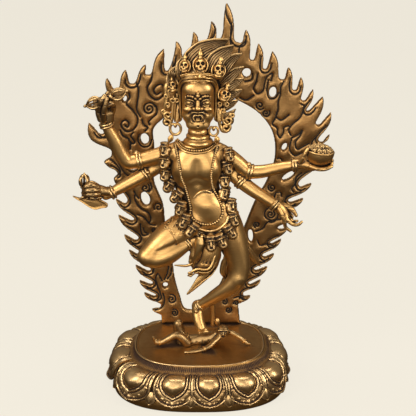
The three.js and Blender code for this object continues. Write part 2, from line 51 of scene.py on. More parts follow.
FAR = 1000.0


def smooth_path(rows: Sequence[Numbers], count: int, closed: bool = False) -> np.ndarray:
    """Carries one smooth curve through rows of numbers, whose first three are a place in mm.

    Each span is the cubic p = h0 a + h1 b + h2 m_a + h3 m_b, with slopes m_i = (p_(i+1) - p_(i-1)) / 2
    scaled by the share of the span in the two spans round it.

    Args:
        rows: places, with any further values to be carried along.
        count: how many rows come back, evenly spaced along the curve.
        closed: whether the last row leads back to the first.

    Returns:
        An array of `count` rows.
    """
    given = np.asarray(rows, float)
    if closed:
        given = np.vstack([given[-1:], given, given[:2]])
    steps = np.maximum(np.linalg.norm(np.diff(given[:, :3], axis=0), axis=1), 1e-6)
    reach = np.concatenate([[0], np.cumsum(steps)])
    slope = np.gradient(given, reach, axis=0) if len(given) > 2 else np.repeat(
        np.diff(given, axis=0) / steps, 2, 0
    )
    start, stop = (reach[1], reach[-2]) if closed else (0, reach[-1])
    places = np.linspace(start, stop, count, endpoint=not closed)
    span = np.clip(np.searchsorted(reach, places, side="right") - 1, 0, len(steps) - 1)
    t = ((places - reach[span]) / steps[span])[:, None]
    length = steps[span][:, None]
    a, b = given[span], given[span + 1]
    h0, h1 = 2 * t**3 - 3 * t**2 + 1, 3 * t**2 - 2 * t**3
    h2, h3 = t**3 - 2 * t**2 + t, t**3 - t**2
    return h0 * a + h1 * b + h2 * length * slope[span] + h3 * length * slope[span + 1]


def unit(vectors: np.ndarray) -> np.ndarray:
    """Scales vectors along the last axis to length 1."""
    return vectors / np.maximum(np.linalg.norm(vectors, axis=-1, keepdims=True), 1e-9)


def fade(values: np.ndarray, low: float, high: float) -> np.ndarray:
    """Rises smoothly from 0 at `low` to 1 at `high`: 3t^2 - 2t^3."""
    t = np.clip((values - low) / (high - low), 0, 1)
    return t * t * (3 - 2 * t)


def turned_axes(degrees: Numbers) -> np.ndarray:
    """The rotation matrix for turns about X, then Y, then Z, in degrees."""
    a, b, c = np.radians(degrees)
    about_x = np.array([[1, 0, 0], [0, math.cos(a), -math.sin(a)], [0, math.sin(a), math.cos(a)]])
    about_y = np.array([[math.cos(b), 0, math.sin(b)], [0, 1, 0], [-math.sin(b), 0, math.cos(b)]])
    about_z = np.array([[math.cos(c), -math.sin(c), 0], [math.sin(c), math.cos(c), 0], [0, 0, 1]])
    return about_z @ about_y @ about_x


@dataclass
class Shell:
    """A closed surface in mm, with values at its points that the finishes read.

    Args:
        name: what the piece is called in Blender.
        points: places in mm, one row each.
        quads: corners of its four-sided faces.
        finish: the finish that dresses it.
        tris: corners of its three-sided faces.
        line: distance in mm to the nearest chased line, where the piece has any.
        ink: how much dark patina lies in the cuts and grooves at each point, from 0 to 1, and the painted
            shade under the jaw and behind the ear curls.
    """

    name: str
    points: np.ndarray
    quads: np.ndarray
    finish: "Finish"
    tris: np.ndarray = field(default_factory=lambda: np.zeros((0, 3), int))
    line: np.ndarray | None = None
    ink: np.ndarray | None = None

    def __post_init__(self) -> None:
        """Leaves a shell without any patina of its own clean."""
        if self.ink is None:
            self.ink = np.zeros(len(self.points))

    def edges(self) -> np.ndarray:
        """Every edge once, as pairs of point numbers."""
        rings = [self.quads[:, [i, (i + 1) % 4]] for i in range(4)] if len(self.quads) else []
        rings += [self.tris[:, [i, (i + 1) % 3]] for i in range(3)] if len(self.tris) else []
        pairs = np.sort(np.vstack(rings), axis=1)
        keys = np.unique(pairs[:, 0].astype(np.int64) * len(self.points) + pairs[:, 1])
        return np.stack([keys // len(self.points), keys % len(self.points)], axis=1)

    def normals(self) -> np.ndarray:
        """Outward directions at the points: the sum of the face normals round each."""
        total = np.zeros((len(self.points), 3))
        for corners in (self.quads, self.tris):
            if len(corners) == 0:
                continue
            a, b, c, d = (self.points[corners[:, i]] for i in (0, 1, 2, -1))
            facing = np.cross(c - a, d - b) if corners.shape[1] == 4 else np.cross(b - a, c - a)
            for i in range(corners.shape[1]):
                for axis in range(3):
                    total[:, axis] += np.bincount(corners[:, i], facing[:, axis], len(self.points))
        return unit(total)


def joined(name: str, shells: Sequence[Shell]) -> Shell:
    """Puts several shells of one finish into a single piece."""
    starts = np.cumsum([0] + [len(shell.points) for shell in shells])
    lines = None
    if all(shell.line is not None for shell in shells):
        lines = np.concatenate([shell.line for shell in shells])
    return Shell(
        name,
        np.vstack([shell.points for shell in shells]),
        np.vstack([shell.quads + start for shell, start in zip(shells, starts)]),
        shells[0].finish,
        np.vstack([shell.tris + start for shell, start in zip(shells, starts)]),
        lines,
        np.concatenate([shell.ink for shell in shells]),
    )


def neighbour_mean(values: np.ndarray, edges: np.ndarray) -> np.ndarray:
    """The mean over each point's neighbours of the columns of `values`."""
    count = len(values)
    ends = np.concatenate([edges[:, 0], edges[:, 1]])
    others = np.concatenate([edges[:, 1], edges[:, 0]])
    weight = np.maximum(np.bincount(ends, minlength=count), 1)[:, None]
    columns = [np.bincount(ends, values[others, i], count) for i in range(values.shape[1])]
    return np.stack(columns, axis=1) / weight


class Clay:
    """A soft solid held as signed distances in mm on a grid, negative inside, to be added to and cut."""

    SOFTNESS = 1.4

    def __init__(self, low: Numbers, high: Numbers, step: float) -> None:
        """Makes an empty block of clay between two corners, with cells of one size in mm."""
        self.low = np.asarray(low, float)
        self.step = step
        size = np.ceil((np.asarray(high, float) - self.low) / step).astype(int) + 1
        self.cells = np.full(tuple(size), FAR, np.float32)
        self.ink = np.zeros(tuple(size), np.float32)

    def window(self, low: np.ndarray, high: np.ndarray) -> tuple[tuple[slice, ...], list[np.ndarray]]:
        """The part of the grid between two corners, and its nodes' coordinates as three open arrays."""
        first = np.clip(np.floor((low - self.low) / self.step), 0, self.cells.shape).astype(int)
        last = np.clip(np.ceil((high - self.low) / self.step) + 1, first, self.cells.shape).astype(int)
        axes = [self.low[i] + self.step * np.arange(first[i], last[i], dtype=np.float32) for i in range(3)]
        return tuple(map(slice, first, last)), [
            axes[0][:, None, None], axes[1][None, :, None], axes[2][None, None, :]
        ]

    def add(self, cut: tuple[slice, ...], shape: np.ndarray, melt: float) -> None:
        """Joins a shape on: min(a, b) - h^2 melt / 4, with h = max(melt - |a - b|, 0) / melt."""
        here = self.cells[cut]
        soft = np.maximum(melt - np.abs(here - shape), 0) / max(melt, 1e-6)
        self.cells[cut] = np.minimum(here, shape) - soft * soft * melt / 4
        self.ink[cut] *= np.clip(0.15 + shape / 0.6, 0.15, 1)

    def cut_away(self, cut: tuple[slice, ...], shape: np.ndarray, melt: float) -> None:
        """Cuts a shape out: max(a, -b) + h^2 melt / 4, with h = max(melt - |a + b|, 0) / melt.

        Dark patina is left on the cut and up to half a millimetre outside it.
        """
        here = self.cells[cut]
        soft = np.maximum(melt - np.abs(here + shape), 0) / max(melt, 1e-6)
        self.cells[cut] = np.maximum(here, -shape) + soft * soft * melt / 4
        self.ink[cut] = np.maximum(self.ink[cut], np.clip(1 - shape / 0.5, 0, 1))

    def path_distance(
        self, path: np.ndarray, reach: float, stretch: Numbers = (1, 1, 1)
    ) -> tuple[tuple[slice, ...], np.ndarray]:
        """Distances to a round limb: |p - nearest place on the path| less the radius there.

        The radius is the mean over all spans, weighted by exp(-distance / SOFTNESS), so it changes smoothly.

        Args:
            path: rows of x, y, z and radius.
            reach: how far outside the limb the distances are worked out.
            stretch: scale of the limb's thickness along X, Y and Z.

        Returns:
            The window of the grid, and the distances in it.
        """
        scale = np.asarray(stretch, float)
        span = path[:, 3].max() * np.maximum(scale, 1) + reach
        cut, _ = self.window((path[:, :3] - span).min(0), (path[:, :3] + span).max(0))
        size = [part.stop - part.start for part in cut]
        nearest = np.full(size, FAR, np.float32)
        weights = np.full(size, 1e-12, np.float32)
        radii = np.zeros(size, np.float32)
        offset = [part.start for part in cut]
        for (a, b), (ra, rb) in zip(zip(path[:-1, :3], path[1:, :3]), zip(path[:-1, 3], path[1:, 3])):
            widest = max(ra, rb) * np.maximum(scale, 1) + reach
            inner, (x, y, z) = self.window(np.minimum(a, b) - widest, np.maximum(a, b) + widest)
            local = tuple(slice(part.start - start, part.stop - start) for part, start in zip(inner, offset))
            run = ((b - a) / scale).astype(np.float32)
            px, py, pz = (
                (axis - np.float32(at)) / np.float32(by) for axis, at, by in zip((x, y, z), a, scale)
            )
            t = np.clip((px * run[0] + py * run[1] + pz * run[2]) / max(float(run @ run), 1e-9), 0, 1)
            away = np.sqrt((px - t * run[0]) ** 2 + (py - t * run[1]) ** 2 + (pz - t * run[2]) ** 2)
            weight = np.exp(-away / self.SOFTNESS)
            nearest[local] = np.minimum(nearest[local], away)
            weights[local] += weight
            radii[local] += weight * (ra + t * (rb - ra))
        thin = min(float(scale.min()), 1.0)
        return cut, (nearest - radii / weights) * thin

    def limb(
        self,
        stations: Sequence[Numbers],
        melt: float = 2.0,
        stretch: Numbers = (1, 1, 1),
        count: int = 14,
        carve: bool = False,
    ) -> "Clay":
        """Adds, or carves, a round-ended limb along a smooth path of [x, y, z, radius] stations."""
        path = smooth_path(stations, count) if len(stations) > 1 else np.repeat(
            np.asarray(stations, float), 2, 0
        )
        cut, shape = self.path_distance(path, melt + 3 * self.step, stretch)
        (self.cut_away if carve else self.add)(cut, shape, melt)
        return self

    def ball(
        self,
        centre: Numbers,
        half: Numbers,
        melt: float = 2.0,
        turn: Numbers = (0, 0, 0),
        carve: bool = False,
    ) -> "Clay":
        """Adds or carves an ellipsoid: f (f - 1) / |grad f|, with f = |q| and q = turned (p - c) / half."""
        middle, radii = np.asarray(centre, float), np.asarray(half, float)
        span = radii.max() + melt + 3 * self.step
        cut, (x, y, z) = self.window(middle - span, middle + span)
        axes = turned_axes(turn).T
        x, y, z = x - middle[0], y - middle[1], z - middle[2]
        q = [(axes[i][0] * x + axes[i][1] * y + axes[i][2] * z) / radii[i] for i in range(3)]
        f = np.sqrt(q[0] ** 2 + q[1] ** 2 + q[2] ** 2)
        slope = np.sqrt((q[0] / radii[0]) ** 2 + (q[1] / radii[1]) ** 2 + (q[2] / radii[2]) ** 2)
        shape = f * (f - 1) / np.maximum(slope, 1e-4)
        (self.cut_away if carve else self.add)(cut, shape.astype(np.float32), melt)
        return self

    def line(self, places: Sequence[Numbers], width: float, height: float, count: int = 20) -> "Clay":
        """Raises the surface along a path, or sinks it if negative, by height exp(-(d / width)^2)."""
        path = smooth_path(places, count) if len(places) > 1 else np.repeat(np.asarray(places, float), 2, 0)
        path = np.hstack([path[:, :3], np.zeros((len(path), 1))])
        cut, distance = self.path_distance(path, 2.4 * width)
        near = np.exp(-((distance / width) ** 2))
        self.cells[cut] -= height * near
        if height < 0 and width < 1.2:
            self.ink[cut] = np.maximum(self.ink[cut], min(-1.4 * height, 1.0) * near)
        return self

    def below(self, z: float) -> "Clay":
        """Cuts away everything below a level."""
        heights = self.low[2] + self.step * np.arange(self.cells.shape[2], dtype=np.float32)
        self.cells = np.maximum(self.cells, (z - heights)[None, None, :])
        return self

    def skin(self, name: str, finish: "Finish", passes: int = 4) -> Shell:
        """Draws the surface through the clay with one point in each cell that it crosses.

        A point is the mean of the places where the surface crosses the edges of its cell,
        a + t (b - a) with t = f_a / (f_a - f_b). It is then smoothed with steps of +0.5 and -0.53.

        Args:
            name: name of the piece.
            finish: its finish.
            passes: how many times it is smoothed.

        Returns:
            The closed surface.
        """
        cells = np.pad(self.cells, 1, constant_values=FAR)
        inside = cells < 0
        size = np.array(cells.shape) - 1
        count = np.zeros(tuple(size), np.int8)
        corners = [(i, j, k) for i in (0, 1) for j in (0, 1) for k in (0, 1)]
        for i, j, k in corners:
            count += inside[i : i + size[0], j : j + size[1], k : k + size[2]]
        at = np.argwhere((count > 0) & (count < 8))
        number = np.full(tuple(size), -1, np.int64)
        number[tuple(at.T)] = np.arange(len(at))
        total, hits = np.zeros((len(at), 3)), np.zeros(len(at))
        for a in corners:
            for axis in range(3):
                if a[axis]:
                    continue
                b = tuple(value + (i == axis) for i, value in enumerate(a))
                fa, fb = cells[tuple((at + a).T)], cells[tuple((at + b).T)]
                crossed = (fa < 0) != (fb < 0)
                t = np.where(crossed, fa / np.where(crossed, fa - fb, 1), 0)
                total += (np.array(a) + t[:, None] * (np.arange(3) == axis)) * crossed[:, None]
                hits += crossed
        points = self.low + self.step * (at - 1 + total / hits[:, None])
        quads = []
        for axis, (u, v) in enumerate(((1, 2), (2, 0), (0, 1))):
            ahead = [slice(None)] * 3
            ahead[axis] = slice(1, None)
            behind = [slice(None)] * 3
            behind[axis] = slice(None, -1)
            change = inside[tuple(behind)].astype(np.int8) - inside[tuple(ahead)].astype(np.int8)
            edge = np.argwhere(change != 0)
            sign = change[tuple(edge.T)]
            ring = []
            for du, dv in ((0, 0), (1, 0), (1, 1), (0, 1)):
                cell = edge.copy()
                cell[:, u] -= 1 - du
                cell[:, v] -= 1 - dv
                ring.append(number[tuple(cell.T)])
            face = np.stack(ring, axis=1)
            face[sign < 0] = face[sign < 0][:, ::-1]
            quads.append(face)
        shell = Shell(name, points, np.vstack(quads), finish)
        shell.ink = self.ink[tuple(np.clip(at - 1, 0, np.array(self.ink.shape) - 1).T)].astype(float)
        edges = shell.edges()
        for _ in range(passes):
            for share in (0.5, -0.53):
                shell.points = shell.points + share * (neighbour_mean(shell.points, edges) - shell.points)
        return shell


def sheet_faces(rows: int, columns: int, wrap_rows: bool = False, wrap_columns: bool = False) -> np.ndarray:
    """Corners of the faces of a grid whose point (i, j) has the number i * columns + j."""
    i, j = np.meshgrid(
        np.arange(rows - (not wrap_rows)), np.arange(columns - (not wrap_columns)), indexing="ij"
    )
    i, j = i.ravel(), j.ravel()
    below, beside = (i + 1) % rows, (j + 1) % columns
    return np.stack(
        [i * columns + j, i * columns + beside, below * columns + beside, below * columns + j], axis=1
    )


def tube(
    name: str,
    finish: "Finish",
    path: np.ndarray,
    section: np.ndarray,
    across: Numbers | np.ndarray = (0, -1, 0),
    closed: bool = False,
) -> Shell:
    """Carries a section along a path: p = path + s0 side + s1 out, with out square to it and near `across`.

    Args:
        name: name of the piece.
        finish: its finish.
        path: places in mm.
        section: for each place, or once for all of them, rows of (side, out) in mm, going anticlockwise.
        across: the direction that `out` keeps to, for all places or for each.
        closed: whether the end of the path meets its start.

    Returns:
        The closed surface, with rounded-off ends where the path is open.
    """
    count = len(path)
    ahead = np.roll(path, -1, 0) - np.roll(path, 1, 0) if closed else np.gradient(path, axis=0)
    ahead = unit(ahead)
    hint = np.broadcast_to(np.asarray(across, float), path.shape)
    out = unit(hint - (hint * ahead).sum(1, keepdims=True) * ahead)
    side = np.cross(ahead, out)
    rings = np.broadcast_to(section, (count,) + np.shape(section)[-2:])
    sides = rings.shape[1]
    points = path[:, None] + rings[..., :1] * side[:, None] + rings[..., 1:] * out[:, None]
    faces = sheet_faces(count, sides, closed, True)
    points = points.reshape(-1, 3)
    tris = np.zeros((0, 3), int)
    if not closed:
        ends = np.stack([path[0], path[-1]])
        first, last = len(points), len(points) + 1
        points = np.vstack([points, ends])
        ring = np.arange(sides)
        after = (ring + 1) % sides
        start = np.stack([after, ring, np.full(sides, first)], axis=1)
        stop = np.stack([ring, after, np.full(sides, last)], axis=1)
        stop[:, :2] += (count - 1) * sides
        tris = np.vstack([start, stop])
    return Shell(name, points, faces, finish, tris)


def round_section(radius: np.ndarray | float, sides: int = 10, flat: float = 1.0) -> np.ndarray:
    """Rings of (side, out) for a round rod, its thickness outwards scaled by `flat`."""
    turn = np.linspace(0, 2 * math.pi, sides, endpoint=False)
    ring = np.stack([np.cos(turn), flat * np.sin(turn)], axis=1)
    return np.asarray(radius, float).reshape(-1, 1, 1) * ring


def turned_shape(
    name: str, finish: "Finish", profile: Sequence[Numbers], start: Numbers, axis: Numbers, sides: int = 28
) -> Shell:
    """Turns rows of (radius, distance) about an axis; the first and last rows close to a point."""
    rows = np.asarray(profile, float)
    ahead = unit(np.asarray(axis, float))
    helper = np.array([0, 0, 1.0]) if abs(ahead[2]) < 0.9 else np.array([1.0, 0, 0])
    side = unit(np.cross(helper, ahead))
    other = np.cross(ahead, side)
    turn = np.linspace(0, 2 * math.pi, sides, endpoint=False)
    ring = np.cos(turn)[:, None] * side + np.sin(turn)[:, None] * other
    points = np.asarray(start, float) + rows[:, 1, None, None] * ahead + rows[:, 0, None, None] * ring
    points = np.vstack(
        [
            points.reshape(-1, 3), np.asarray(start) + rows[0, 1] * ahead,
            np.asarray(start) + rows[-1, 1] * ahead,
        ]
    )
    quads = sheet_faces(len(rows), sides, False, True)
    here = np.arange(sides)
    after = (here + 1) % sides
    first = np.stack([after, here, np.full(sides, len(points) - 2)], axis=1)
    last = np.stack([here, after, np.full(sides, len(points) - 1)], axis=1)
    last[:, :2] += (len(rows) - 1) * sides
    return righted(Shell(name, points, quads, finish, np.vstack([first, last])))


def bead_template(finish: "Finish", sides: int = 8, rings: int = 5) -> Shell:
    """A small round bead of radius 1."""
    tilt = np.linspace(0, math.pi, rings + 2)[1:-1]
    turn = np.linspace(0, 2 * math.pi, sides, endpoint=False)
    x = np.sin(tilt)[:, None] * np.cos(turn)
    y = np.sin(tilt)[:, None] * np.sin(turn)
    z = np.repeat(np.cos(tilt)[:, None], sides, axis=1)
    points = np.vstack([np.stack([x, y, z], axis=-1).reshape(-1, 3), [[0, 0, 1], [0, 0, -1]]])
    quads = sheet_faces(rings, sides, False, True)[:, ::-1]
    here = np.arange(sides)
    after = (here + 1) % sides
    top = np.stack([here, after, np.full(sides, len(points) - 2)], axis=1)
    low = np.stack([after, here, np.full(sides, len(points) - 1)], axis=1)
    low[:, :2] += (rings - 1) * sides
    return Shell("bead", points, quads, finish, np.vstack([top, low]))


def stamped(name: str, template: Shell, centres: np.ndarray, axes: np.ndarray) -> Shell:
    """Sets a copy of a template at each centre: p = centre + axes @ template.

    Args:
        name: name of the piece.
        template: the shape that is copied.
        centres: places in mm.
        axes: one 3 by 3 matrix for each centre, whose columns are the scaled axes of the copy.

    Returns:
        All the copies in one piece.
    """
    placed = centres[:, None] + np.einsum("nij,pj->npi", axes, template.points)
    starts = (np.arange(len(centres)) * len(template.points))[:, None, None]
    return Shell(
        name,
        placed.reshape(-1, 3),
        (template.quads[None] + starts).reshape(-1, 4),
        template.finish,
        (template.tris[None] + starts).reshape(-1, 3),
        ink=np.tile(template.ink, len(centres)),
    )


def bead_row(name: str, finish: "Finish", path: np.ndarray, radius: float, squash: float = 1.0) -> Shell:
    """Sets touching beads along a path."""
    steps = np.linalg.norm(np.diff(path, axis=0), axis=1)
    reach = np.concatenate([[0], np.cumsum(steps)])
    places = np.linspace(0, reach[-1], max(int(reach[-1] / (1.9 * radius)), 2))
    centres = np.stack([np.interp(places, reach, path[:, i]) for i in range(3)], axis=1)
    axes = np.repeat(np.diag([radius, radius * squash, radius])[None], len(centres), axis=0)
    return stamped(name, bead_template(finish), centres, axes)


def band(
    name: str,
    finish: "Finish",
    centre: Numbers,
    axis: Numbers,
    radii: tuple[float, float],
    section: Sequence[Numbers],
    hint: Numbers = (0, 1, 0),
    steps: int = 44,
) -> Shell:
    """A ring about an axis: its section of (along, out) rows is carried round an ellipse.

    Args:
        name: name of the piece.
        finish: its finish.
        centre: its middle in mm.
        axis: the direction of the limb that it goes round.
        radii: half-width square to the hint, and half-width along the hint.
        section: rows of (along the axis, outwards), in order round the section.
        hint: a direction that the second half-width follows.
        steps: how many times the section is set round the ellipse.

    Returns:
        The closed ring.
    """
    ahead = unit(np.asarray(axis, float))
    second = np.asarray(hint, float)
    second = unit(second - (second @ ahead) * ahead)
    first = np.cross(second, ahead)
    turn = np.linspace(0, 2 * math.pi, steps, endpoint=False)[:, None, None]
    rows = np.asarray(section, float)
    out = rows[:, 1, None]
    points = np.asarray(centre, float) + rows[:, 0, None] * ahead
    points = points + (radii[0] + out) * np.cos(turn) * first + (radii[1] + out) * np.sin(turn) * second
    shell = Shell(name, points.reshape(-1, 3), sheet_faces(steps, len(rows), True, True), finish)
    if outward_share(shell) < 0:
        shell.quads = shell.quads[:, ::-1]
    return shell


def outward_share(shell: Shell) -> float:
    """The signed volume inside a shell, which is negative if its faces point inwards."""
    total = 0.0
    for corners in (shell.quads[:, :3], shell.quads[:, [0, 2, 3]], shell.tris):
        if len(corners):
            a, b, c = (shell.points[corners[:, i]] for i in range(3))
            total += float((a * np.cross(b, c)).sum())
    return total


def righted(shell: Shell) -> Shell:
    """Turns a shell's faces round if they point inwards."""
    if outward_share(shell) < 0:
        shell.quads, shell.tris = shell.quads[:, ::-1], shell.tris[:, ::-1]
    return shell


def rod(
    name: str,
    finish: "Finish",
    path: np.ndarray,
    radius: np.ndarray | float,
    sides: int = 10,
    flat: float = 1.0,
    across: Numbers | np.ndarray = (0, -1, 0),
    closed: bool = False,
) -> Shell:
    """A round rod along a path, of one radius or one for each place, flattened outwards by `flat`."""
    return righted(tube(name, finish, path, round_section(radius, sides, flat), across, closed))


def ridges(
    width: float, height: float, count: int, steps: int = 5, sunk: float = 1.2
) -> list[tuple[float, float]]:
    """A section of `count` round ridges side by side over a width, whose foot is sunk into the limb."""
    along = np.linspace(-width / 2, width / 2, count * steps * 2 + 1)
    out = height * np.abs(np.sin(math.pi * count * (along + width / 2) / width)) ** 0.7
    top = list(zip(along.tolist(), out.tolist()))
    return [(-width / 2, -sunk)] + top + [(width / 2, -sunk)]


class Graph:
    """Builds the nodes of one material or world from Python expressions."""

    def __init__(self, tree: bpy.types.NodeTree) -> None:
        """Starts on a node tree with nothing in it."""
        self.tree = tree
        tree.nodes.clear()

    def node(self, kind: str, settings: dict | None = None, inputs: dict | None = None) -> bpy.types.Node:
        """Adds one node.

        Args:
            kind: the node's type.
            settings: its own settings, or the stops of a ramp under the name "stops".
            inputs: values or links for its sockets, by name or by number.

        Returns:
            The node.
        """
        made = self.tree.nodes.new(kind)
        for name, value in (settings or {}).items():
            if name == "stops":
                for stop, (place, colour) in zip(made.color_ramp.elements, value):
                    stop.position, stop.color = place, colour
            else:
                setattr(made, name, value)
        for name, value in (inputs or {}).items():
            socket = made.inputs[name]
            if isinstance(value, Term):
                self.tree.links.new(value.socket, socket)
            elif isinstance(value, bpy.types.NodeSocket):
                self.tree.links.new(value, socket)
            else:
                socket.default_value = value
        return made

    def attribute(self, name: str) -> "Term":
        """The value that each point of the mesh holds under a name."""
        return Term(self, self.node("ShaderNodeAttribute", {"attribute_name": name}).outputs["Fac"])

    def noise(
        self, scale: float, detail: float = 3, rough: float = 0.5, stretch: Numbers = (1, 1, 1)
    ) -> "Term":
        """Even noise from 0 to 1 on Object coordinates, with `scale` features to the metre."""
        place = self.node("ShaderNodeTexCoord").outputs["Object"]
        mapped = self.node(
            "ShaderNodeMapping", inputs={"Vector": place, "Scale": tuple(stretch)}
        ).outputs["Vector"]
        sockets = {"Vector": mapped, "Scale": scale, "Detail": detail, "Roughness": rough}
        return Term(self, self.node("ShaderNodeTexNoise", inputs=sockets).outputs["Fac"])

    def mix(self, share: "Term | float", first: object, second: object) -> bpy.types.NodeSocket:
        """Blends two colours, each given as a colour or a link."""
        sockets = {0: share, 6: first, 7: second}
        return self.node("ShaderNodeMix", {"data_type": "RGBA", "clamp_factor": True}, sockets).outputs[2]


class Term:
    """A number at every place of a surface, which adds Math nodes as it is worked with."""

    def __init__(self, graph: Graph, socket: bpy.types.NodeSocket) -> None:
        """Wraps the output of a node."""
        self.graph = graph
        self.socket = socket

    def _with(self, operation: str, first: object, second: object, clamp: bool = False) -> "Term":
        """Adds one Math node."""
        settings = {"operation": operation, "use_clamp": clamp}
        return Term(
            self.graph, self.graph.node("ShaderNodeMath", settings, {0: first, 1: second}).outputs[0]
        )

    def __add__(self, other: "Term | float") -> "Term":
        """self + other."""
        return self._with("ADD", self, other)

    __radd__ = __add__

    def __sub__(self, other: "Term | float") -> "Term":
        """self - other."""
        return self._with("SUBTRACT", self, other)

    def __rsub__(self, other: float) -> "Term":
        """other - self."""
        return self._with("SUBTRACT", other, self)

    def __mul__(self, other: "Term | float") -> "Term":
        """self * other."""
        return self._with("MULTIPLY", self, other)

    __rmul__ = __mul__

    def clamped(self) -> "Term":
        """self kept between 0 and 1."""
        return self._with("ADD", self, 0.0, clamp=True)

    def rise(self, low: float, high: float) -> "Term":
        """0 below `low`, 1 above `high`, and smooth between them."""
        inputs = {"Value": self, "From Min": low, "From Max": high}
        node = self.graph.node("ShaderNodeMapRange", {"interpolation_type": "SMOOTHSTEP"}, inputs)
        return Term(self.graph, node.outputs["Result"])


@dataclass(frozen=True)
class BrassLook:
    """How one kind of brass surface looks.

    Args:
        label: the material's name.
        slot: the record's material slot; not used.
        bright: linear colour of the clean metal.
        warm: linear colour where it has toned down.
        dark: linear colour of the patina in grooves and cuts, and of the painted shade where the surface is
            closed in.
        gloss: roughness of clean metal.
        dull: roughness in the recesses.
        toning: how much of the surface has toned down, from 0 to 1.
        grain: strength of the fine cast texture.
        chased: half-width in mm of the black chased lines, or 0.
    """

    label: str
    slot: str
    bright: tuple[float, float, float]
    warm: tuple[float, float, float]
    dark: tuple[float, float, float]
    gloss: float
    dull: float
    toning: float
    grain: float
    chased: float = 0.0

    def material(self) -> bpy.types.Material:
        """Makes the material, or gives back the one that was made before."""
        if self.label in bpy.data.materials:
            return bpy.data.materials[self.label]
        made = bpy.data.materials.new(self.label)
        made.use_nodes = True
        graph = Graph(made.node_tree)
        patina_and_shade = graph.attribute("patina_and_shade")
        worn = graph.attribute("worn")
        clouds = graph.noise(46, 4, 0.6)
        specks = graph.noise(620, 3, 0.65)
        scuffs = graph.noise(190, 3, 0.6, (1, 1, 5))
        # Patina and painted shade darken the colour, dull it and take away its shine where they lie.
        dark_patina_and_shade = (patina_and_shade + (clouds - 0.5) * 0.3 + (specks - 0.5) * 0.25).rise(0.28, 0.74)
        toned = ((clouds - 0.5) * 1.5 + (scuffs - 0.5) * 0.9 + self.toning + (patina_and_shade - worn) * 0.6).clamped()
        colour = graph.mix(toned, (*self.bright, 1), (*self.warm, 1))
        colour = graph.mix(dark_patina_and_shade, colour, (*self.dark, 1))
        rough = self.gloss + (self.dull - self.gloss) * (dark_patina_and_shade + toned * 0.35) + (scuffs - 0.5) * 0.12
        metal = 1 - dark_patina_and_shade * 0.55
        height = specks * 0.5 + scuffs * 0.5
        if self.chased:
            line = 1 - graph.attribute("line").rise(self.chased * 0.55, self.chased * 1.35)
            colour = graph.mix(line, colour, (0.006, 0.004, 0.003, 1))
            rough = rough + line * 0.4
            metal = metal - line * 0.6
        bump = graph.node(
            "ShaderNodeBump", inputs={"Strength": self.grain, "Distance": 0.0003, "Height": height}
        )
        shader = graph.node(
            "ShaderNodeBsdfPrincipled",
            inputs={
                "Base Color": colour,
                "Metallic": metal.clamped(),
                "Roughness": rough.clamped(),
                "Normal": bump.outputs["Normal"],
            },
        )
        graph.node("ShaderNodeOutputMaterial", inputs={"Surface": shader.outputs["BSDF"]})
        return made


class Finish(Enum):
    """The finishes of the work."""

    BODY = BrassLook(
        "polished_brass", "figure_brass",
        (0.7, 0.44, 0.167), (0.46, 0.242, 0.077), (0.03, 0.014, 0.005), 0.36, 0.62, 0.45, 0.14,
    )
    JEWEL = BrassLook(
        "bright_beaded_brass", "figure_brass",
        (0.68, 0.46, 0.2), (0.46, 0.27, 0.1), (0.022, 0.011, 0.005), 0.32, 0.6, 0.4, 0.12,
    )
    # A darker copy of the body's brass.
    DARKER = BrassLook(
        "darker_brass", "figure_brass",
        (0.5, 0.325, 0.14), (0.27, 0.155, 0.06), (0.02, 0.01, 0.005), 0.32, 0.62, 0.55, 0.2,
    )
    HAIR = BrassLook(
        "combed_hair_brass", "figure_brass",
        (0.4, 0.262, 0.12), (0.2, 0.115, 0.046), (0.022, 0.012, 0.006), 0.34, 0.64, 0.5, 0.2,
    )
    AUREOLE = BrassLook(
        "chased_aureole_brass", "aureole_brass",
        (0.465, 0.27, 0.102), (0.26, 0.132, 0.043), (0.04, 0.018, 0.007), 0.38, 0.6, 0.48, 0.25, 0.72,
    )
    PLATFORM = BrassLook(
        "toned_platform_brass", "base_brass",
        (0.46, 0.265, 0.088), (0.3, 0.152, 0.045), (0.035, 0.014, 0.005), 0.34, 0.62, 0.5, 0.25,
    )
    BASE = BrassLook(
        "worn_base_brass", "base_brass",
        (0.7, 0.49, 0.24), (0.43, 0.24, 0.085), (0.03, 0.013, 0.005), 0.3, 0.62, 0.45, 0.25,
    )


class Hollows:
    """Tells how closed in a place is, from a grid of cells that any surface passes through; the finishes
    darken closed-in places with it as painted shade.
    """

    STEP = 0.8
    REACHES = (1.5, 2.4, 3.6, 5.2)

    def __init__(self, shells: Iterable[Shell]) -> None:
        """Marks the cell of every point of the shells."""
        places = np.vstack([shell.points for shell in shells])
        self.low = places.min(0) - 8
        self.size = np.ceil((places.max(0) + 8 - self.low) / self.STEP).astype(int) + 1
        self.full = np.zeros(int(self.size.prod()), bool)
        self.full[self.number(places)] = True

    def number(self, places: np.ndarray) -> np.ndarray:
        """The number of the cell at each place."""
        at = ((places - self.low) / self.STEP).astype(np.int64)
        return (at[:, 0] * self.size[1] + at[:, 1]) * self.size[2] + at[:, 2]

    def around(self, points: np.ndarray, normals: np.ndarray) -> np.ndarray:
        """The share of directions that meet a surface, with near ones counting for more: from 0 to 1."""
        helper = np.where(np.abs(normals[:, 2:]) < 0.9, [[0, 0, 1.0]], [[1.0, 0, 0]])
        side = unit(np.cross(normals, helper))
        other = np.cross(normals, side)
        total = np.zeros(len(points))
        weights = 0.0
        for tilt, count in ((0.0, 1), (30.0, 4), (52.0, 7)):
            lift, spread = math.cos(math.radians(tilt)), math.sin(math.radians(tilt))
            for turn in np.arange(count) * (2 * math.pi / count) + tilt:
                way = lift * normals + spread * (math.cos(turn) * side + math.sin(turn) * other)
                found = np.zeros(len(points))
                for reach in reversed(self.REACHES):
                    hit = self.full[self.number(points + way * reach)]
                    found = np.where(hit, 1 - 0.75 * (reach - self.REACHES[0]) / self.REACHES[-1], found)
                total += found * (0.5 + lift)
                weights += 0.5 + lift
        return total / weights


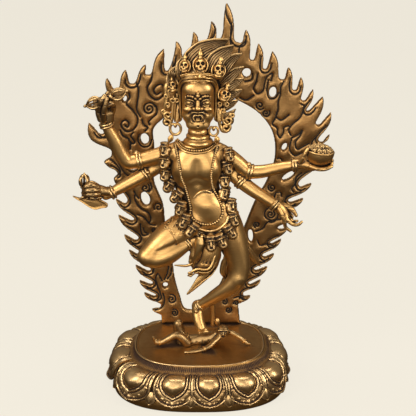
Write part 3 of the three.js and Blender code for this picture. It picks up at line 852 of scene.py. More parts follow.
def patina_shade_and_wear(shell: Shell, hollows: Hollows) -> tuple[np.ndarray, np.ndarray]:
    """Works out the patina, the painted shade and the wear of a shell.

    The bend at a point is its neighbours' mean less the point, along the normal, over the length of
    the edges: positive in a groove and negative on a ridge.

    Args:
        shell: the surface.
        hollows: the grid of all surfaces.

    Returns:
        How dark each point is, from the patina in its grooves and cuts and from painted shade where it is
        closed in, and how worn it is, both from 0 to 1.
    """
    edges = shell.edges()
    normals = shell.normals()
    span = np.linalg.norm(shell.points[edges[:, 0]] - shell.points[edges[:, 1]], axis=1).mean()
    closed_in = hollows.around(shell.points, normals)[:, None]
    smooth = shell.points
    bends = np.zeros(len(smooth))
    for share in (1.0, 0.8, 0.6):
        mean = neighbour_mean(smooth, edges)
        bends += share * ((mean - smooth) * normals).sum(1) / span
        smooth = mean
    bend = bends[:, None]
    for _ in range(2):
        closed_in = 0.5 * closed_in + 0.5 * neighbour_mean(closed_in, edges)
        bend = 0.4 * bend + 0.6 * neighbour_mean(bend, edges)
    # The closed-in share is painted shade; the bend and most of the ink are the patina in grooves and cuts.
    patina_and_shade = 1.7 * np.clip(
        closed_in[:, 0] - 0.1, 0, 1
    ) + 2.0 * np.clip(bend[:, 0], -0.15, 0.5) + 0.8 * shell.ink
    worn = np.clip(-2.2 * bend[:, 0], 0, 1) * (1 - np.clip(closed_in[:, 0], 0, 1))
    return np.clip(patina_and_shade, 0, 1), worn


def cast(shell: Shell, hollows: Hollows, stands_for: Sequence[str] = ()) -> bpy.types.Object:
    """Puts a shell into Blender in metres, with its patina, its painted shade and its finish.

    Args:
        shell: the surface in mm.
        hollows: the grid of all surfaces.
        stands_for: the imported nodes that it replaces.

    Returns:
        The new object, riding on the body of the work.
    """
    mesh = bpy.data.meshes.new(shell.name)
    corners = np.concatenate([shell.quads.ravel(), shell.tris.ravel()]).astype(np.int32)
    sizes = np.concatenate([np.full(len(shell.quads), 4), np.full(len(shell.tris), 3)])
    starts = np.concatenate([[0], np.cumsum(sizes)[:-1]]).astype(np.int32)
    mesh.vertices.add(len(shell.points))
    mesh.vertices.foreach_set("co", (shell.points * MILLIMETRE).astype(np.float32).ravel())
    mesh.loops.add(len(corners))
    mesh.loops.foreach_set("vertex_index", corners)
    mesh.polygons.add(len(sizes))
    mesh.polygons.foreach_set("loop_start", starts)
    mesh.update(calc_edges=True)
    mesh.validate()
    mesh.shade_smooth()
    patina_and_shade, worn = patina_shade_and_wear(shell, hollows)
    values = {"patina_and_shade": patina_and_shade, "worn": worn}
    if shell.line is not None:
        values["line"] = shell.line
    for name, numbers in values.items():
        mesh.attributes.new(name, "FLOAT", "POINT").data.foreach_set("value", numbers.astype(np.float32))
    look: BrassLook = shell.finish.value
    mesh.materials.append(look.material())
    made = bpy.data.objects.new(shell.name, mesh)
    bpy.context.scene.collection.objects.link(made)
    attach(made, "root")
    if stands_for:
        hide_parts(*stands_for)
    faces = 2 * len(shell.quads) + len(shell.tris)
    LOG.info(
        "%s: %d triangles, %s, highest x, y, z %s mm", shell.name, faces, look.label,
        np.round(shell.points.max(0), 2),
    )
    return made


@dataclass(frozen=True)
class Sight:
    """Places what was read off the photograph, in pixels, at a known depth in the frame.

    Args:
        target: the place in mm that the camera looks at.
        distance: how far the camera stands off, in mm.
        elevation: its height above the horizon, in degrees.
        lens: focal length in mm, on a sensor 36 mm wide.
        width: width of the photograph in pixels.
    """

    target: tuple[float, float, float] = (6.9, 0.0, 146.0)
    distance: float = 850.0
    elevation: float = 21.0
    lens: float = 96.58
    width: float = 416.0

    def at_depth(self, pixels: Sequence[Numbers], depth: float) -> np.ndarray:
        """The places at one Y that are seen at some pixels: eye + t ray, with t = (Y - eye_y) / ray_y.

        Args:
            pixels: rows of (column, row), counted from the top left.
            depth: the Y in mm.

        Returns:
            Rows of x, y and z in mm.
        """
        lift = math.radians(self.elevation)
        eye = np.array(self.target) + self.distance * np.array([0, -math.cos(lift), math.sin(lift)])
        ahead = np.array([0, math.cos(lift), -math.sin(lift)])
        upward = np.array([0, math.sin(lift), math.cos(lift)])
        spot = (np.asarray(pixels, float) - self.width / 2) / (self.lens / 36 * self.width)
        ray = ahead + spot[:, :1] * np.array([1.0, 0, 0]) - spot[:, 1:2] * upward
        return eye + (depth - eye[1]) / ray[:, 1:2] * ray

    def pixels(self, places: np.ndarray) -> np.ndarray:
        """The pixels at which some places in mm are seen."""
        lift = math.radians(self.elevation)
        away = np.asarray(places, float) - np.array(self.target)
        away = away - self.distance * np.array([0, -math.cos(lift), math.sin(lift)])
        depth = away @ np.array([0, math.cos(lift), -math.sin(lift)])
        upward = away @ np.array([0, math.sin(lift), math.cos(lift)])
        scale = self.lens / 36 * self.width
        return self.width / 2 + scale * np.stack([away[:, 0], -upward], axis=1) / depth[:, None]


SIGHT = Sight()


@dataclass
class DancerBody:
    """The bare body, its four arms and its legs, modelled in one block of clay.

    Stations are [x, y, z, radius] in mm. The viewer's left is the left of every name.
    """

    step: float = 0.66
    trunk: tuple = (
        [-1.2, 2.5, 199, 6], [-1.6, 1.4, 192, 15.5], [-1.8, 0.4, 182, 20.2], [-1.7, 0, 171, 18.6],
        [-0.8, 0, 161, 16], [1.6, 0.2, 152, 17.4], [5, 0.8, 142, 19], [8, 1.2, 132, 17],
    )
    arms: tuple = (
        [
            [-15, 1, 190.5, 6.8], [-22, 0.6, 190, 6.6], [-32, 0, 187.6, 5.9], [-44, -1.2, 184.6, 5.5],
            [-53.5, -2.2, 184.2, 5.6], [-58, -3, 191, 5.6], [-62, -4.4, 201, 5.1], [-66.5, -6, 211, 4.2],
            [-68.5, -6.6, 217, 3.6],
        ],
        [
            [-15, 3, 184, 6.6], [-24, 3, 182.4, 6], [-33, 2, 177.6, 5.5], [-39, 0.8, 174, 5.4],
            [-47, -0.8, 169.6, 5.2], [-57, -3, 164.6, 4.6], [-66, -5, 160.2, 3.8], [-70, -6, 158.4, 3.4],
        ],
        [
            [13, 1, 190.5, 6.8], [20, 0.6, 188.6, 6.4], [29, 0, 182.6, 5.7], [38, -1, 175.8, 5.3],
            [47, -1.6, 176, 5.0], [58, -2.4, 178.6, 4.5], [70, -3.8, 181.4, 3.6], [75, -4.2, 182, 3.2],
        ],
        [
            [13, 3, 183.6, 6.4], [19, 2.6, 179.4, 5.7], [26, 1, 172.6, 5.3], [33, -0.4, 166.6, 5.3],
            [41, -2, 161, 5.1], [50, -4, 155.6, 4.5], [58.5, -6, 150.2, 3.6], [61.5, -6.4, 147, 3.2],
        ],
    )
    standing_leg: tuple = (
        [14, 0.6, 144, 13.6], [19.6, -0.4, 133, 13.4], [25.4, -2.2, 120, 11.6], [29.4, -3.8, 108, 9.4],
        [31, -5.2, 98, 7.9], [29.6, -6.2, 90.2, 7.5], [25.4, -6, 84.2, 6.9], [19.4, -4.4, 78.4, 6.1],
        [11.6, -1.2, 71.4, 5.3], [5, 1.6, 65.8, 4.6], [0, 3.6, 61.6, 3.9],
    )
    raised_thigh: tuple = (
        [-4, -2, 134, 12.8], [-13, -6, 130.6, 12.6], [-24, -11, 125.4, 11.2], [-32.4, -15.2, 119.4, 9.2],
        [-38.6, -18, 114.2, 7.2],
    )
    raised_shin: tuple = (
        [-38.6, -18.4, 112.8, 6.8], [-32.6, -18, 112.2, 7.8], [-25, -17.2, 114.4, 8.1],
        [-16, -16, 118.6, 6.4], [-8.5, -14.6, 122.6, 4.5], [-4.6, -14.2, 125, 4.1],
    )

    def block(self) -> Clay:
        """Models the body and gives the clay."""
        clay = Clay((-78, -31, 40), (84, 17, 222), self.step)
        clay.limb(self.trunk, 2, (1, 0.62, 1), 18)
        self._torso(clay)
        self._limbs(clay)
        self._feet(clay)
        clay.limb([[10, 5, 66, 2.2], [10.4, 5.8, 56, 1.9], [10.8, 6.4, 44, 2]], 1.5)
        clay.ball((14.4, 3.6, 47.4), (2.2, 1.6, 3.6), 0.6)
        return clay

    def _torso(self, clay: Clay) -> None:
        """Adds the soft shapes of the chest, belly, back and hips."""
        for x, lean in ((-10.8, -8), (7.8, 8)):
            clay.ball((x, -6.8, 178.6), (8.0, 5.9, 9.4), 5.5, (12, 0, lean))
        clay.ball((-1.6, -6, 189.4), (14, 5, 7), 5)
        clay.ball((6.2, -5.0, 150.4), (11.8, 8.6, 10.7), 3)
        clay.ball((3, -3.4, 141.6), (15, 8.6, 8.6), 4)
        clay.ball((6.2, -15.8, 147.4), (0.9, 1.4, 1.2), 0.8, carve=True)
        clay.limb([[-1.2, 0, 216, 6.2], [-1.4, 0.4, 206, 6.3], [-1.5, 0.8, 197, 8]], 4)
        for x in (-15.5, 12.5):
            clay.ball((x, 2.4, 190.6), (8, 7.2, 6.8), 4)
            clay.ball((x * 0.72, 9.2, 183), (7.5, 3.4, 9), 4)
        for x, z in ((-3.4, 135), (14.6, 136)):
            clay.ball((x, 8, z), (10, 7, 10.4), 3.5)
        clay.line(
            [[-1.6, 12.8, 194], [-1.8, 13.2, 178], [-0.6, 11.6, 162], [3.4, 12.6, 150], [5.4, 14.6, 142]],
            2, -1.1,
        )
        clay.line([[5.6, 15.6, 141], [5.8, 16, 134], [6.2, 14, 127]], 1.3, -1.4)
        clay.line([[-1.6, -13.6, 186], [-1.4, -13.2, 177], [-0.8, -11.4, 169]], 2.6, -0.8)
        for x in (-9.6, 6.6):
            clay.line([[x - 6, -11, 174.4], [x, -12.6, 171.6], [x + 6, -11, 174.4]], 1.7, -0.5)

    def _limbs(self, clay: Clay) -> None:
        """Adds the arms and legs with their muscles."""
        for arm in self.arms:
            clay.limb(arm, 3, (1, 0.96, 1), 26)
        clay.limb(self.standing_leg, 4, (1, 0.98, 1), 28)
        clay.ball((30.6, -8.8, 90.4), (4.2, 4.2, 5), 3, (0, 30, 0))
        clay.limb([[26, -2.4, 83, 4.4], [19, 0.6, 77.6, 4.8], [12, 3, 71.6, 3.6]], 3)
        clay.limb(self.raised_thigh, 3.5, (1, 1, 1), 18)
        clay.limb(self.raised_shin, 1.6, (1, 1, 1), 16)
        clay.ball((-41.4, -19, 114.2), (4.2, 4.6, 4.4), 2.6)
        clay.line([[-31, -23.2, 120.4], [-25, -21.8, 122.8], [-17, -20, 125]], 1.3, -0.5)

    def _feet(self, clay: Clay) -> None:
        """Adds the foot on the fallen figure's chest and the raised one, with toes."""
        clay.ball((-1.4, 5.8, 60.4), (4.1, 4.4, 4.6), 2)
        clay.limb(
            [[-1.2, 4.6, 61, 4.4], [-1.2, 1.2, 56, 4.2], [0, -2.6, 50.4, 4.2], [1.6, -5, 46.4, 3.6]],
            2, (1.04, 1, 1),
        )
        for i, (dx, size) in enumerate(((-2.9, 1.5), (-1.2, 1.35), (0.5, 1.25), (2, 1.15), (3.4, 1.1))):
            clay.limb(
                [[1.4 + dx * 0.9, -5.2, 46.8, size], [3.2 + dx, -7.4, 43.6 + 0.2 * i, size * 0.92]], 0.4
            )
        clay.ball((-4.6, -13.8, 122), (2, 2, 2), 1)
        clay.ball((-0.6, -14.4, 126.2), (4.7, 4.6, 4.6), 2)
        clay.limb([[-1.4, -14.8, 125.6, 4.5], [-2, -15.4, 119, 4.3], [-3, -16, 113.4, 4]], 2, (1, 0.8, 1))
        for dx, size in ((-3, 1.45), (-1.2, 1.25), (0.4, 1.15), (1.8, 1.05), (3, 1)):
            clay.limb(
                [
                    [-3.2 + dx, -16.2, 112.6, size],
                    [-4 + dx * 0.92, -16.6, 108.4 + abs(dx + 3) * 0.35, size * 0.9],
                ],
                0.4,
            )

    def shells(self) -> list[Shell]:
        """Builds the body as one piece."""
        return [self.block().skin("dancer_body", Finish.BODY, 5)]


@dataclass
class DancerHead:
    """The wrathful head: bulging eyes, knotted brows, a flared nose, a curled moustache and a snarl.

    The face is symmetrical about `middle`; places are given as (away from the middle, y, z).
    """

    step: float = 0.4
    middle: float = -0.4
    eyes: float = 232.5
    squeeze: float = 0.94

    def block(self) -> Clay:
        """Models the head and gives the clay."""
        clay = Clay((-19, -24, 203), (18, 15, 263), self.step)
        self._skull(clay)
        for side in (-1, 1):
            self._half(clay, side)
        self._middle(clay)
        return clay

    def _at(self, side: float, away: float, y: float, z: float, *more: float) -> list[float]:
        """A station on one side of the face."""
        return [self.middle + side * away, y, z, *more]

    def _skull(self, clay: Clay) -> None:
        """Adds the skull, the long face and the jaw."""
        m = self.middle
        clay.ball((m, -1.8, 239), (12.5, 13.2, 11), 3)
        clay.ball((m, -5.2, 230), (12.0, 10.2, 15), 4)
        clay.ball((m, -6.4, 219.8), (11.2, 9.4, 10.4), 4)
        clay.ball((m, -9.6, 213.6), (6.8, 5.6, 4.4), 3)
        clay.ball((m, 3, 226), (10.6, 8.6, 12), 4)
        clay.limb([[m, 0, 203, 6.3], [m, 0, 214, 6.6]], 3)

    def _half(self, clay: Clay, side: float) -> None:
        """Models one side of the face."""
        def at(*row: float) -> list[float]:
            """A station on this side."""
            return self._at(side, *row)

        clay.ball(at(5.5, -16.2, 230.6), (4.1, 2.4, 3.2), 0.9, carve=True)
        clay.ball(at(5.5, -13.9, 230.5), (3.3, 2.7, 2.6), 0.3)
        clay.ball(at(5.2, -17.0, 230.3), (0.85, 0.9, 0.85), 0.3, carve=True)
        clay.limb(
            [
                at(9.6, -13.0, 230.9, 0.5), at(7.6, -15.8, 233.0, 0.5), at(5.3, -16.7, 233.3, 0.55),
                at(3.2, -16.4, 232.3, 0.5), at(1.9, -15.4, 229.9, 0.4),
            ],
            0.5,
        )
        clay.limb(
            [
                at(9.6, -12.9, 230.2, 0.4), at(7.4, -15.2, 228.3, 0.45), at(5.2, -15.9, 227.9, 0.5),
                at(3.2, -15.8, 228.5, 0.45), at(1.9, -15.4, 229.6, 0.4),
            ],
            0.5,
        )
        clay.ball(at(6.3, -13.2, 225.2), (4.6, 3.4, 2.6), 1.6)
        clay.line([at(9.2, -12.8, 228.0), at(6.6, -15.3, 227.3), at(3.6, -16, 227.8)], 0.35, -0.3)
        clay.ball(at(6.6, -10.4, 219.4), (4.4, 3.6, 5), 4)
        for away, y, z, size in (
            (2.0, -16.5, 234.4, 0.85), (3.7, -16.7, 235.6, 0.85), (5.4, -16.4, 236.1, 0.85),
            (7.1, -15.6, 235.9, 0.8), (8.7, -14.2, 235.0, 0.7),
        ):
            clay.ball(at(away, y, z), (size, 1.1, size), 0.35)
        clay.ball(at(2.5, -16.7, 226.4), (1.75, 1.9, 1.5), 0.7)
        clay.ball(at(1.5, -19.2, 225.3), (0.65, 0.8, 0.6), 0.3, carve=True)
        clay.line(
            [at(2.9, -17, 225.4), at(5.0, -16.2, 224.4), at(7.0, -14.8, 222.0), at(7.5, -13.8, 219.4)],
            0.7, -0.35,
        )
        clay.limb(
            [
                at(0.6, -17.3, 223.2, 0.45), at(2.4, -17.3, 223.7, 0.5), at(4.3, -16.6, 222.9, 0.5),
                at(5.5, -15.7, 220.8, 0.5), at(5.7, -15.2, 218.2, 0.45), at(5.0, -15.2, 216.0, 0.4),
                at(3.8, -15.6, 214.8, 0.35),
            ],
            0.35,
        )
        clay.line(
            [
                at(2.2, -17.0, 222.5), at(4.0, -16.4, 221.2), at(4.7, -15.8, 218.6), at(4.0, -15.9, 216.2),
                at(2.6, -16.3, 215.2),
            ],
            0.4, -0.5,
        )
        clay.limb([at(2.7, -16.9, 221.0, 0.55), at(3.1, -17.3, 219.6, 0.5), at(2.9, -17.5, 218.0, 0.2)], 0.2)
        clay.ball(at(12.2, -1.2, 232), (1.9, 3.8, 5.4), 1)
        clay.limb(
            [at(13.2, -2.6, 229, 2.3), at(14.6, -3.4, 220.5, 2.1), at(15.4, -4, 213, 1.9)], 1, (0.9, 1, 1)
        )
        clay.line([at(13.8, -5.2, 231), at(14.6, -5.8, 222), at(15.2, -6.2, 213)], 0.5, -0.8)
        clay.limb(
            [
                at(12.6, -4.6, 230, 0.7), at(14.8, -4.8, 232, 0.8), at(14.8, -4.6, 236, 0.8),
                at(12.8, -4.4, 237, 0.7),
            ],
            0.4,
        )

    def _middle(self, clay: Clay) -> None:
        """Models the nose, the mouth, the chin with a painted shadow line under it, and the mark between the
        brows.
        """
        m = self.middle
        clay.limb([[m, -14.6, 234.6, 1.5], [m, -16.6, 231, 1.35], [m, -18.2, 227.8, 1.8]], 1.2)
        clay.ball((m, -18.5, 226.8), (2.1, 2.0, 1.8), 0.8)
        for x, z, size in ((0, 236.4, 1.3), (-1.3, 234.2, 0.8), (1.3, 234.2, 0.8), (0, 238.6, 0.9)):
            clay.ball((m + x, -16.9, z), (size, 1.2, size), 0.4)
        clay.ball((m, -10.4, 240.6), (10.2, 4.8, 6.0), 3.5)
        clay.ball((m, -16.9, 218.4), (3.2, 2.4, 2.2), 0.4, carve=True)
        lip = [
            [m - 3.5, -15.2, 218.9, 0.45], [m - 2.6, -16.5, 220.6, 0.5], [m - 1.0, -17.4, 221.3, 0.6],
            [m, -17.3, 220.9, 0.5], [m + 1.0, -17.4, 221.3, 0.6], [m + 2.6, -16.5, 220.6, 0.5],
            [m + 3.5, -15.2, 218.9, 0.45],
        ]
        clay.limb(lip, 0.3, count=24)
        low = [
            [m - 3.5, -15.2, 218.6, 0.4], [m - 2.2, -16.1, 216.8, 0.45], [m, -16.6, 216.2, 0.5],
            [m + 2.2, -16.1, 216.8, 0.45], [m + 3.5, -15.2, 218.6, 0.4],
        ]
        clay.limb(low, 0.3, count=20)
        for x in (-1.7, -0.6, 0.6, 1.7):
            clay.ball((m + x, -16.2, 219.9), (0.6, 0.9, 0.9), 0.15)
        clay.limb([[m, -14.6, 219, 1.5], [m, -16.8, 218.2, 1.2], [m, -17.6, 217.4, 0.9]], 0.3, (1.2, 1, 0.7))
        clay.ball((m, -11.2, 211.2), (8.4, 4.7, 4.4), 3)
        clay.ball((m, -15.9, 212.0), (0.55, 0.8, 0.7), 0.2, carve=True)
        # Painted shadow: a dark sunk line under the jaw, where the neck meets the chin.
        clay.line(
            [
                [m - 9.6, -7, 212.2], [m - 6.4, -11, 208.6], [m, -13, 206.8], [m + 6.4, -11, 208.6],
                [m + 9.6, -7, 212.2],
            ],
            1.1, -0.9,
        )

    def shells(self) -> list[Shell]:
        """Builds the head as one piece, a little shortened from below and raised to where it is seen."""
        head = self.block().skin("dancer_head", Finish.BODY, 3)
        head.points[:, 2] = self.eyes + self.squeeze * (head.points[:, 2] - 230)
        return [head]


def swept_leaf(
    name: str,
    finish: "Finish",
    path: np.ndarray,
    widths: Numbers,
    thick: float,
    strands: int,
    facing: Numbers = (0, -1, 0.35),
    curl: float = 0.0,
) -> Shell:
    """A pointed leaf or lock swept along a path, with grooves that run its whole length.

    Args:
        name: name of the piece.
        finish: its finish.
        path: places in mm from the root to the tip.
        widths: half-widths in mm at evenly spaced places along it.
        thick: thickness at its middle line.
        strands: how many ridges stand side by side on its face.
        facing: the direction that its face keeps to.
        curl: how far its edges bend forwards, in mm.

    Returns:
        The closed leaf.
    """
    count, across = len(path), 8 * strands + 1
    share = np.linspace(0, 1, count)
    half = np.interp(share, np.linspace(0, 1, len(widths)), widths)
    half = np.maximum(half, 0.12)[:, None]
    s = np.linspace(-1, 1, across)[None, :]
    body = thick * np.sqrt(np.clip(1 - s**2, 0, 1)) * np.minimum(half / max(widths), 1) ** 0.5
    ridge = np.cos(math.pi * strands * s)
    groove = 0.075 * thick * ridge * (1 - s**8)
    front = body * 0.62 + groove * np.minimum(half / 1.5, 1) + curl * s**2
    back = -0.5 * body + curl * s**2
    ring = np.concatenate([
        np.stack([half * s, front], axis=-1), np.stack([half * s[:, ::-1], back[:, ::-1]], axis=-1)[:, 1:-1]
    ], axis=1)
    made = tube(name, finish, path, ring, facing)
    sunk = np.pad(0.3 * np.clip(-ridge, 0, 1), ((0, 0), (0, ridge.shape[1] - 2)))
    made.ink[: count * sunk.shape[1]] = np.tile(sunk.ravel(), count)
    return righted(made)


@dataclass
class Hair:
    """Flaming hair, swept up to the viewer's right in pointed locks over a bound mass.

    A lock has its pixels in the photograph from root to tip, its half-widths, its depth and its strands.
    """

    locks: tuple = (
        (
            ((189, 73), (193.6, 61), (202.6, 51.8), (214.6, 46.2), (229.3, 40.2)),
            (6.0, 8.4, 7.8, 5.2, 0.3), -4.4, 9,
        ),
        (((184, 80), (181.6, 71), (182.0, 63.6), (185.6, 56.6)), (2.6, 4.2, 3.8, 0.8), -3.4, 5),
        (((172.4, 79), (173.4, 72.4), (178.0, 66.4)), (1.8, 3.2, 0.4), -2.6, 4),
        (
            ((208, 80), (213.0, 66), (219, 57.5), (226, 52.4), (234.2, 45.9)),
            (3.0, 5.6, 6.6, 5.0, 0.3), -6.4, 7,
        ),
        (
            ((219, 78), (224, 69), (229.5, 62.0), (235.5, 57.4), (242.6, 54.3)),
            (3.0, 4.4, 4.2, 2.8, 0.2), -3.0, 5,
        ),
        (((222, 84), (229.0, 77.5), (236, 71.9), (244.4, 67.3)), (3.0, 4.2, 3.2, 0.2), -2.4, 5),
        (((223, 90), (230, 85.6), (237, 81.8), (244.6, 78.9)), (3.0, 4.0, 3.0, 0.2), -2.8, 5),
        (((221, 99), (229, 95.4), (236, 92.8), (242.2, 90.4)), (3.0, 4.2, 3.0, 0.4), -2.0, 5),
        (((220, 109), (228, 104.9), (234, 102.6), (239, 100.4)), (2.4, 3.4, 2.4, 0.2), -1.4, 4),
        (((222, 120), (228.4, 115.4), (232.4, 112.8), (235.8, 110)), (2.0, 2.8, 2.0, 0.2), -1.4, 4),
        (((189, 73), (183.5, 65.5), (178.5, 66.8), (171.2, 71)), (2.6, 3.2, 2.4, 0.2), -1.6, 4),
        (((193, 70), (188.5, 62), (188.4, 56.6), (192, 51.6)), (3.0, 4.4, 3.4, 0.6), -2.4, 5),
        (((177, 88), (171.5, 83), (169.0, 77), (170.6, 72.4)), (2.6, 2.8, 2.0, 0.3), -1.6, 4),
    )

    def mass(self) -> Shell:
        """The hair under the locks, with combed grooves down the back of the head."""
        clay = Clay((-19, -14, 209), (33, 14.5, 276.4), 0.75)
        clay.ball((-0.2, 1.6, 246.4), (14.0, 11.6, 12), 2)
        clay.limb(
            [
                [-3, 2.4, 254, 8.6], [5, 3.4, 260.0, 8.6], [13.6, 4.2, 257.0, 7.4], [17, 4.4, 247, 6.6],
                [16.4, 4.2, 236, 5.0],
            ],
            4, (1, 0.9, 1),
        )
        clay.limb([[2, 3, 265, 5], [11, 3.2, 269.6, 3.6], [18.6, 3.4, 272.6, 1.4]], 3, (1, 0.8, 1))
        clay.ball((-0.4, 5, 229), (10.4, 7.6, 9), 3)
        for side in (-1, 1):
            clay.limb(
                [
                    [-0.4 + side * 12, 3.2, 243, 4.6], [-0.4 + side * 14, 3, 228, 4.2],
                    [-0.4 + side * 14.6, 2.4, 216, 2.6],
                ],
                2, (1, 0.8, 1),
            )
        for i in range(11):
            x = -11.5 + 2.3 * i
            lean = 0.5 * (x + 2)
            clay.line(
                [
                    [x * 0.9, 14, 224], [x, 13.6, 236], [x + 0.4 * lean + 1, 12.4, 250],
                    [x * 0.8 + lean + 5, 9, 262], [x * 0.4 + lean + 11, 5, 270],
                ],
                0.8, -0.9,
            )
        clay.ball((-0.4, -9.4, 237), (11.0, 8, 12), 1, carve=True)
        return clay.skin("hair_mass", Finish.HAIR, 2)

    def shells(self) -> list[Shell]:
        """Builds the bound mass and the locks."""
        made = []
        rims = []
        for pixels, widths, depth, strands in self.locks:
            path = smooth_path(SIGHT.at_depth(pixels, depth), 34)
            path[:, 1] += 2.2 * np.linspace(0, 1, 34) ** 2
            path[:, 1] -= 1.8 * np.sin(math.pi * np.linspace(0, 1, 34))
            made.append(swept_leaf("lock", Finish.HAIR, path, widths, 3.0, strands, (0.0, -1, 0.3)))
            ahead = unit(np.gradient(path, axis=0))
            upper = np.stack([-ahead[:, 2], np.zeros(34), ahead[:, 0]], axis=1)
            half = np.interp(np.linspace(0, 1, 34), np.linspace(0, 1, len(widths)), widths)[:, None]
            edge = path + upper * half * 0.97 + np.array([0, -0.5, 0])
            size = 0.86 * np.minimum(np.linspace(3, 0.6, 34), 1)
            rims.append(rod("rim", Finish.DARKER, edge[1:], size[1:], 8))
        return [self.mass(), joined("hair_locks", made), joined("hair_lock_rims", rims)]


@dataclass
class Crown:
    """The ridged headband round the face, its jewel, and five skulls with small finials above it."""

    skulls: tuple = (
        ((200.4, 65.8), -9.8, 1.1, (0, 0, 0)),
        ((184.8, 66.6), -8.0, 0.86, (0, 0, -18)),
        ((218.4, 70.8), -9.4, 1.06, (0, 14, 12)),
        ((173.2, 86.2), -4.4, 0.9, (0, -12, -25)),
        ((224.2, 95.2), -6.6, 0.96, (0, 22, 16)),
    )

    def template(self) -> Shell:
        """One small skull, facing -Y, about 9 mm high."""
        clay = Clay((-5.4, -6, -7.2), (5.4, 5, 6.4), 0.36)
        clay.ball((0, 0, 1.2), (3.8, 3.8, 3.8), 1)
        clay.ball((0, -1.0, -2.7), (2.8, 2.6, 3.1), 1.4)
        for side in (-1, 1):
            clay.ball((1.65 * side, -3.5, 1.4), (1.3, 2.1, 1.25), 0.2, carve=True)
            clay.ball((2.7 * side, -2.4, -0.6), (0.9, 1.2, 0.7), 0.5)
            clay.line(
                [[0.5 * side, -3.8, 2.9], [1.9 * side, -3.6, 3.3], [3.1 * side, -2.6, 2.6]], 0.45, 0.35
            )
        clay.ball((0, -3.7, -0.7), (0.6, 1.3, 0.85), 0.1, carve=True)
        clay.line(
            [[-2.7, -2.0, -2.3], [-1.4, -3.2, -3.2], [0, -3.5, -3.4], [1.4, -3.2, -3.2], [2.7, -2.0, -2.3]],
            0.42, -0.8,
        )
        for x in (-1.5, -0.5, 0.5, 1.5):
            clay.line([[x, -3.45 + 0.12 * x * x, -2.3], [x, -3.3 + 0.12 * x * x, -4.4]], 0.22, -0.35)
        return clay.skin("skull", Finish.BODY, 1)

    def finial(self) -> Shell:
        """A small pointed jewel that stands on a skull."""
        rows = [
            (0.01, 4.4), (1.4, 4.5), (1.5, 5.2), (1.0, 5.6), (1.4, 6.4), (1.7, 7.4), (1.4, 8.8), (0.7, 10.2),
            (0.05, 11.2),
        ]
        return turned_shape("finial", Finish.BODY, rows, (0, -1.4, 0), (0, 0, 1), 12)

    def ring(self) -> Shell:
        """A ring behind a skull."""
        turn = np.linspace(math.radians(-60), math.radians(240), 26)
        path = np.stack([4.7 * np.cos(turn), np.full(26, 0.2), 0.4 + 5.3 * np.sin(turn)], axis=1)
        return rod("ring", Finish.DARKER, path, 0.55, 8)

    def headband(self) -> list[Shell]:
        """Three ridges that frame the forehead and run down the temples."""
        made = []
        half = np.array(
            [
                [12.3, -6.2, 217.5], [13.0, -6.2, 227], [13.2, -6.6, 236], [12.9, -8.2, 243],
                [10.6, -11.8, 247.6], [6.4, -14.8, 249.1],
            ]
        )
        frame_rows = np.vstack([half * (-1, 1, 1), [[0, -15.8, 249.5]], half[::-1]]) - (0.4, 0, 0)
        middle = np.array([-0.4, -4, 233.0])
        for i, (grow, size) in enumerate(((0.0, 0.7), (2.3, 0.62), (4.6, 0.8))):
            away = unit((frame_rows - middle) * (1, 0.35, 1)) * (0.5, 1, 1)
            rows = (frame_rows + away * grow + np.array([0, 0.25 * grow, 0]))[
                2 * i : len(frame_rows) - 2 * i
            ]
            made.append(rod("ridge", Finish.BODY, smooth_path(rows, 70), size))
            if i == 2:
                beads = smooth_path(rows + away[2 * i : len(away) - 2 * i] * 1.2 + np.array([0, 0.2, 0]), 60)
                made.append(bead_row("beads", Finish.BODY, beads, 0.5))
        turn = np.linspace(math.radians(20), math.radians(160), 30)
        for z, out in ((248.6, 0.0), (250.6, 0.3), (252.6, 0.0)):
            path = np.stack(
                [-0.2 + (14.4 + out) * np.cos(turn), 0.8 + (13.2 + out) * np.sin(turn), np.full(30, z)],
                axis=1,
            )
            made.append(rod("back_ridge", Finish.BODY, path, 0.9, 8))
        jewel = [(0.1, 0), (2.3, 0.2), (2.5, 0.9), (1.7, 1.3), (1.6, 1.9), (0.9, 2.6), (0.05, 2.9)]
        made.append(turned_shape("jewel", Finish.BODY, jewel, (1.1, -15.4, 252), (0, -1, 0.25), 16))
        leaf = [(0.05, -1.9), (0.9, -0.9), (1.1, 0), (0.8, 1), (0.05, 2.2)]
        for side in (-1, 1):
            base = [1.1 + side * 2.6, -15.8, 252.2]
            made.append(turned_shape("leaf", Finish.BODY, leaf, base, (0.9 * side, 0.2, 0.1), 10))
        return made

    def shells(self) -> list[Shell]:
        """Builds the headband and the skulls."""
        centres = np.vstack([SIGHT.at_depth([pixel], depth) for pixel, depth, _, _ in self.skulls])
        axes = np.stack([size * turned_axes((-14, lean[1], lean[2])) for _, _, size, lean in self.skulls])
        parts = [
            stamped("part", template, centres, axes)
            for template in (self.template(), self.finial(), self.ring())
        ]
        return [joined("headband", self.headband()), joined("crown_skulls", parts)]


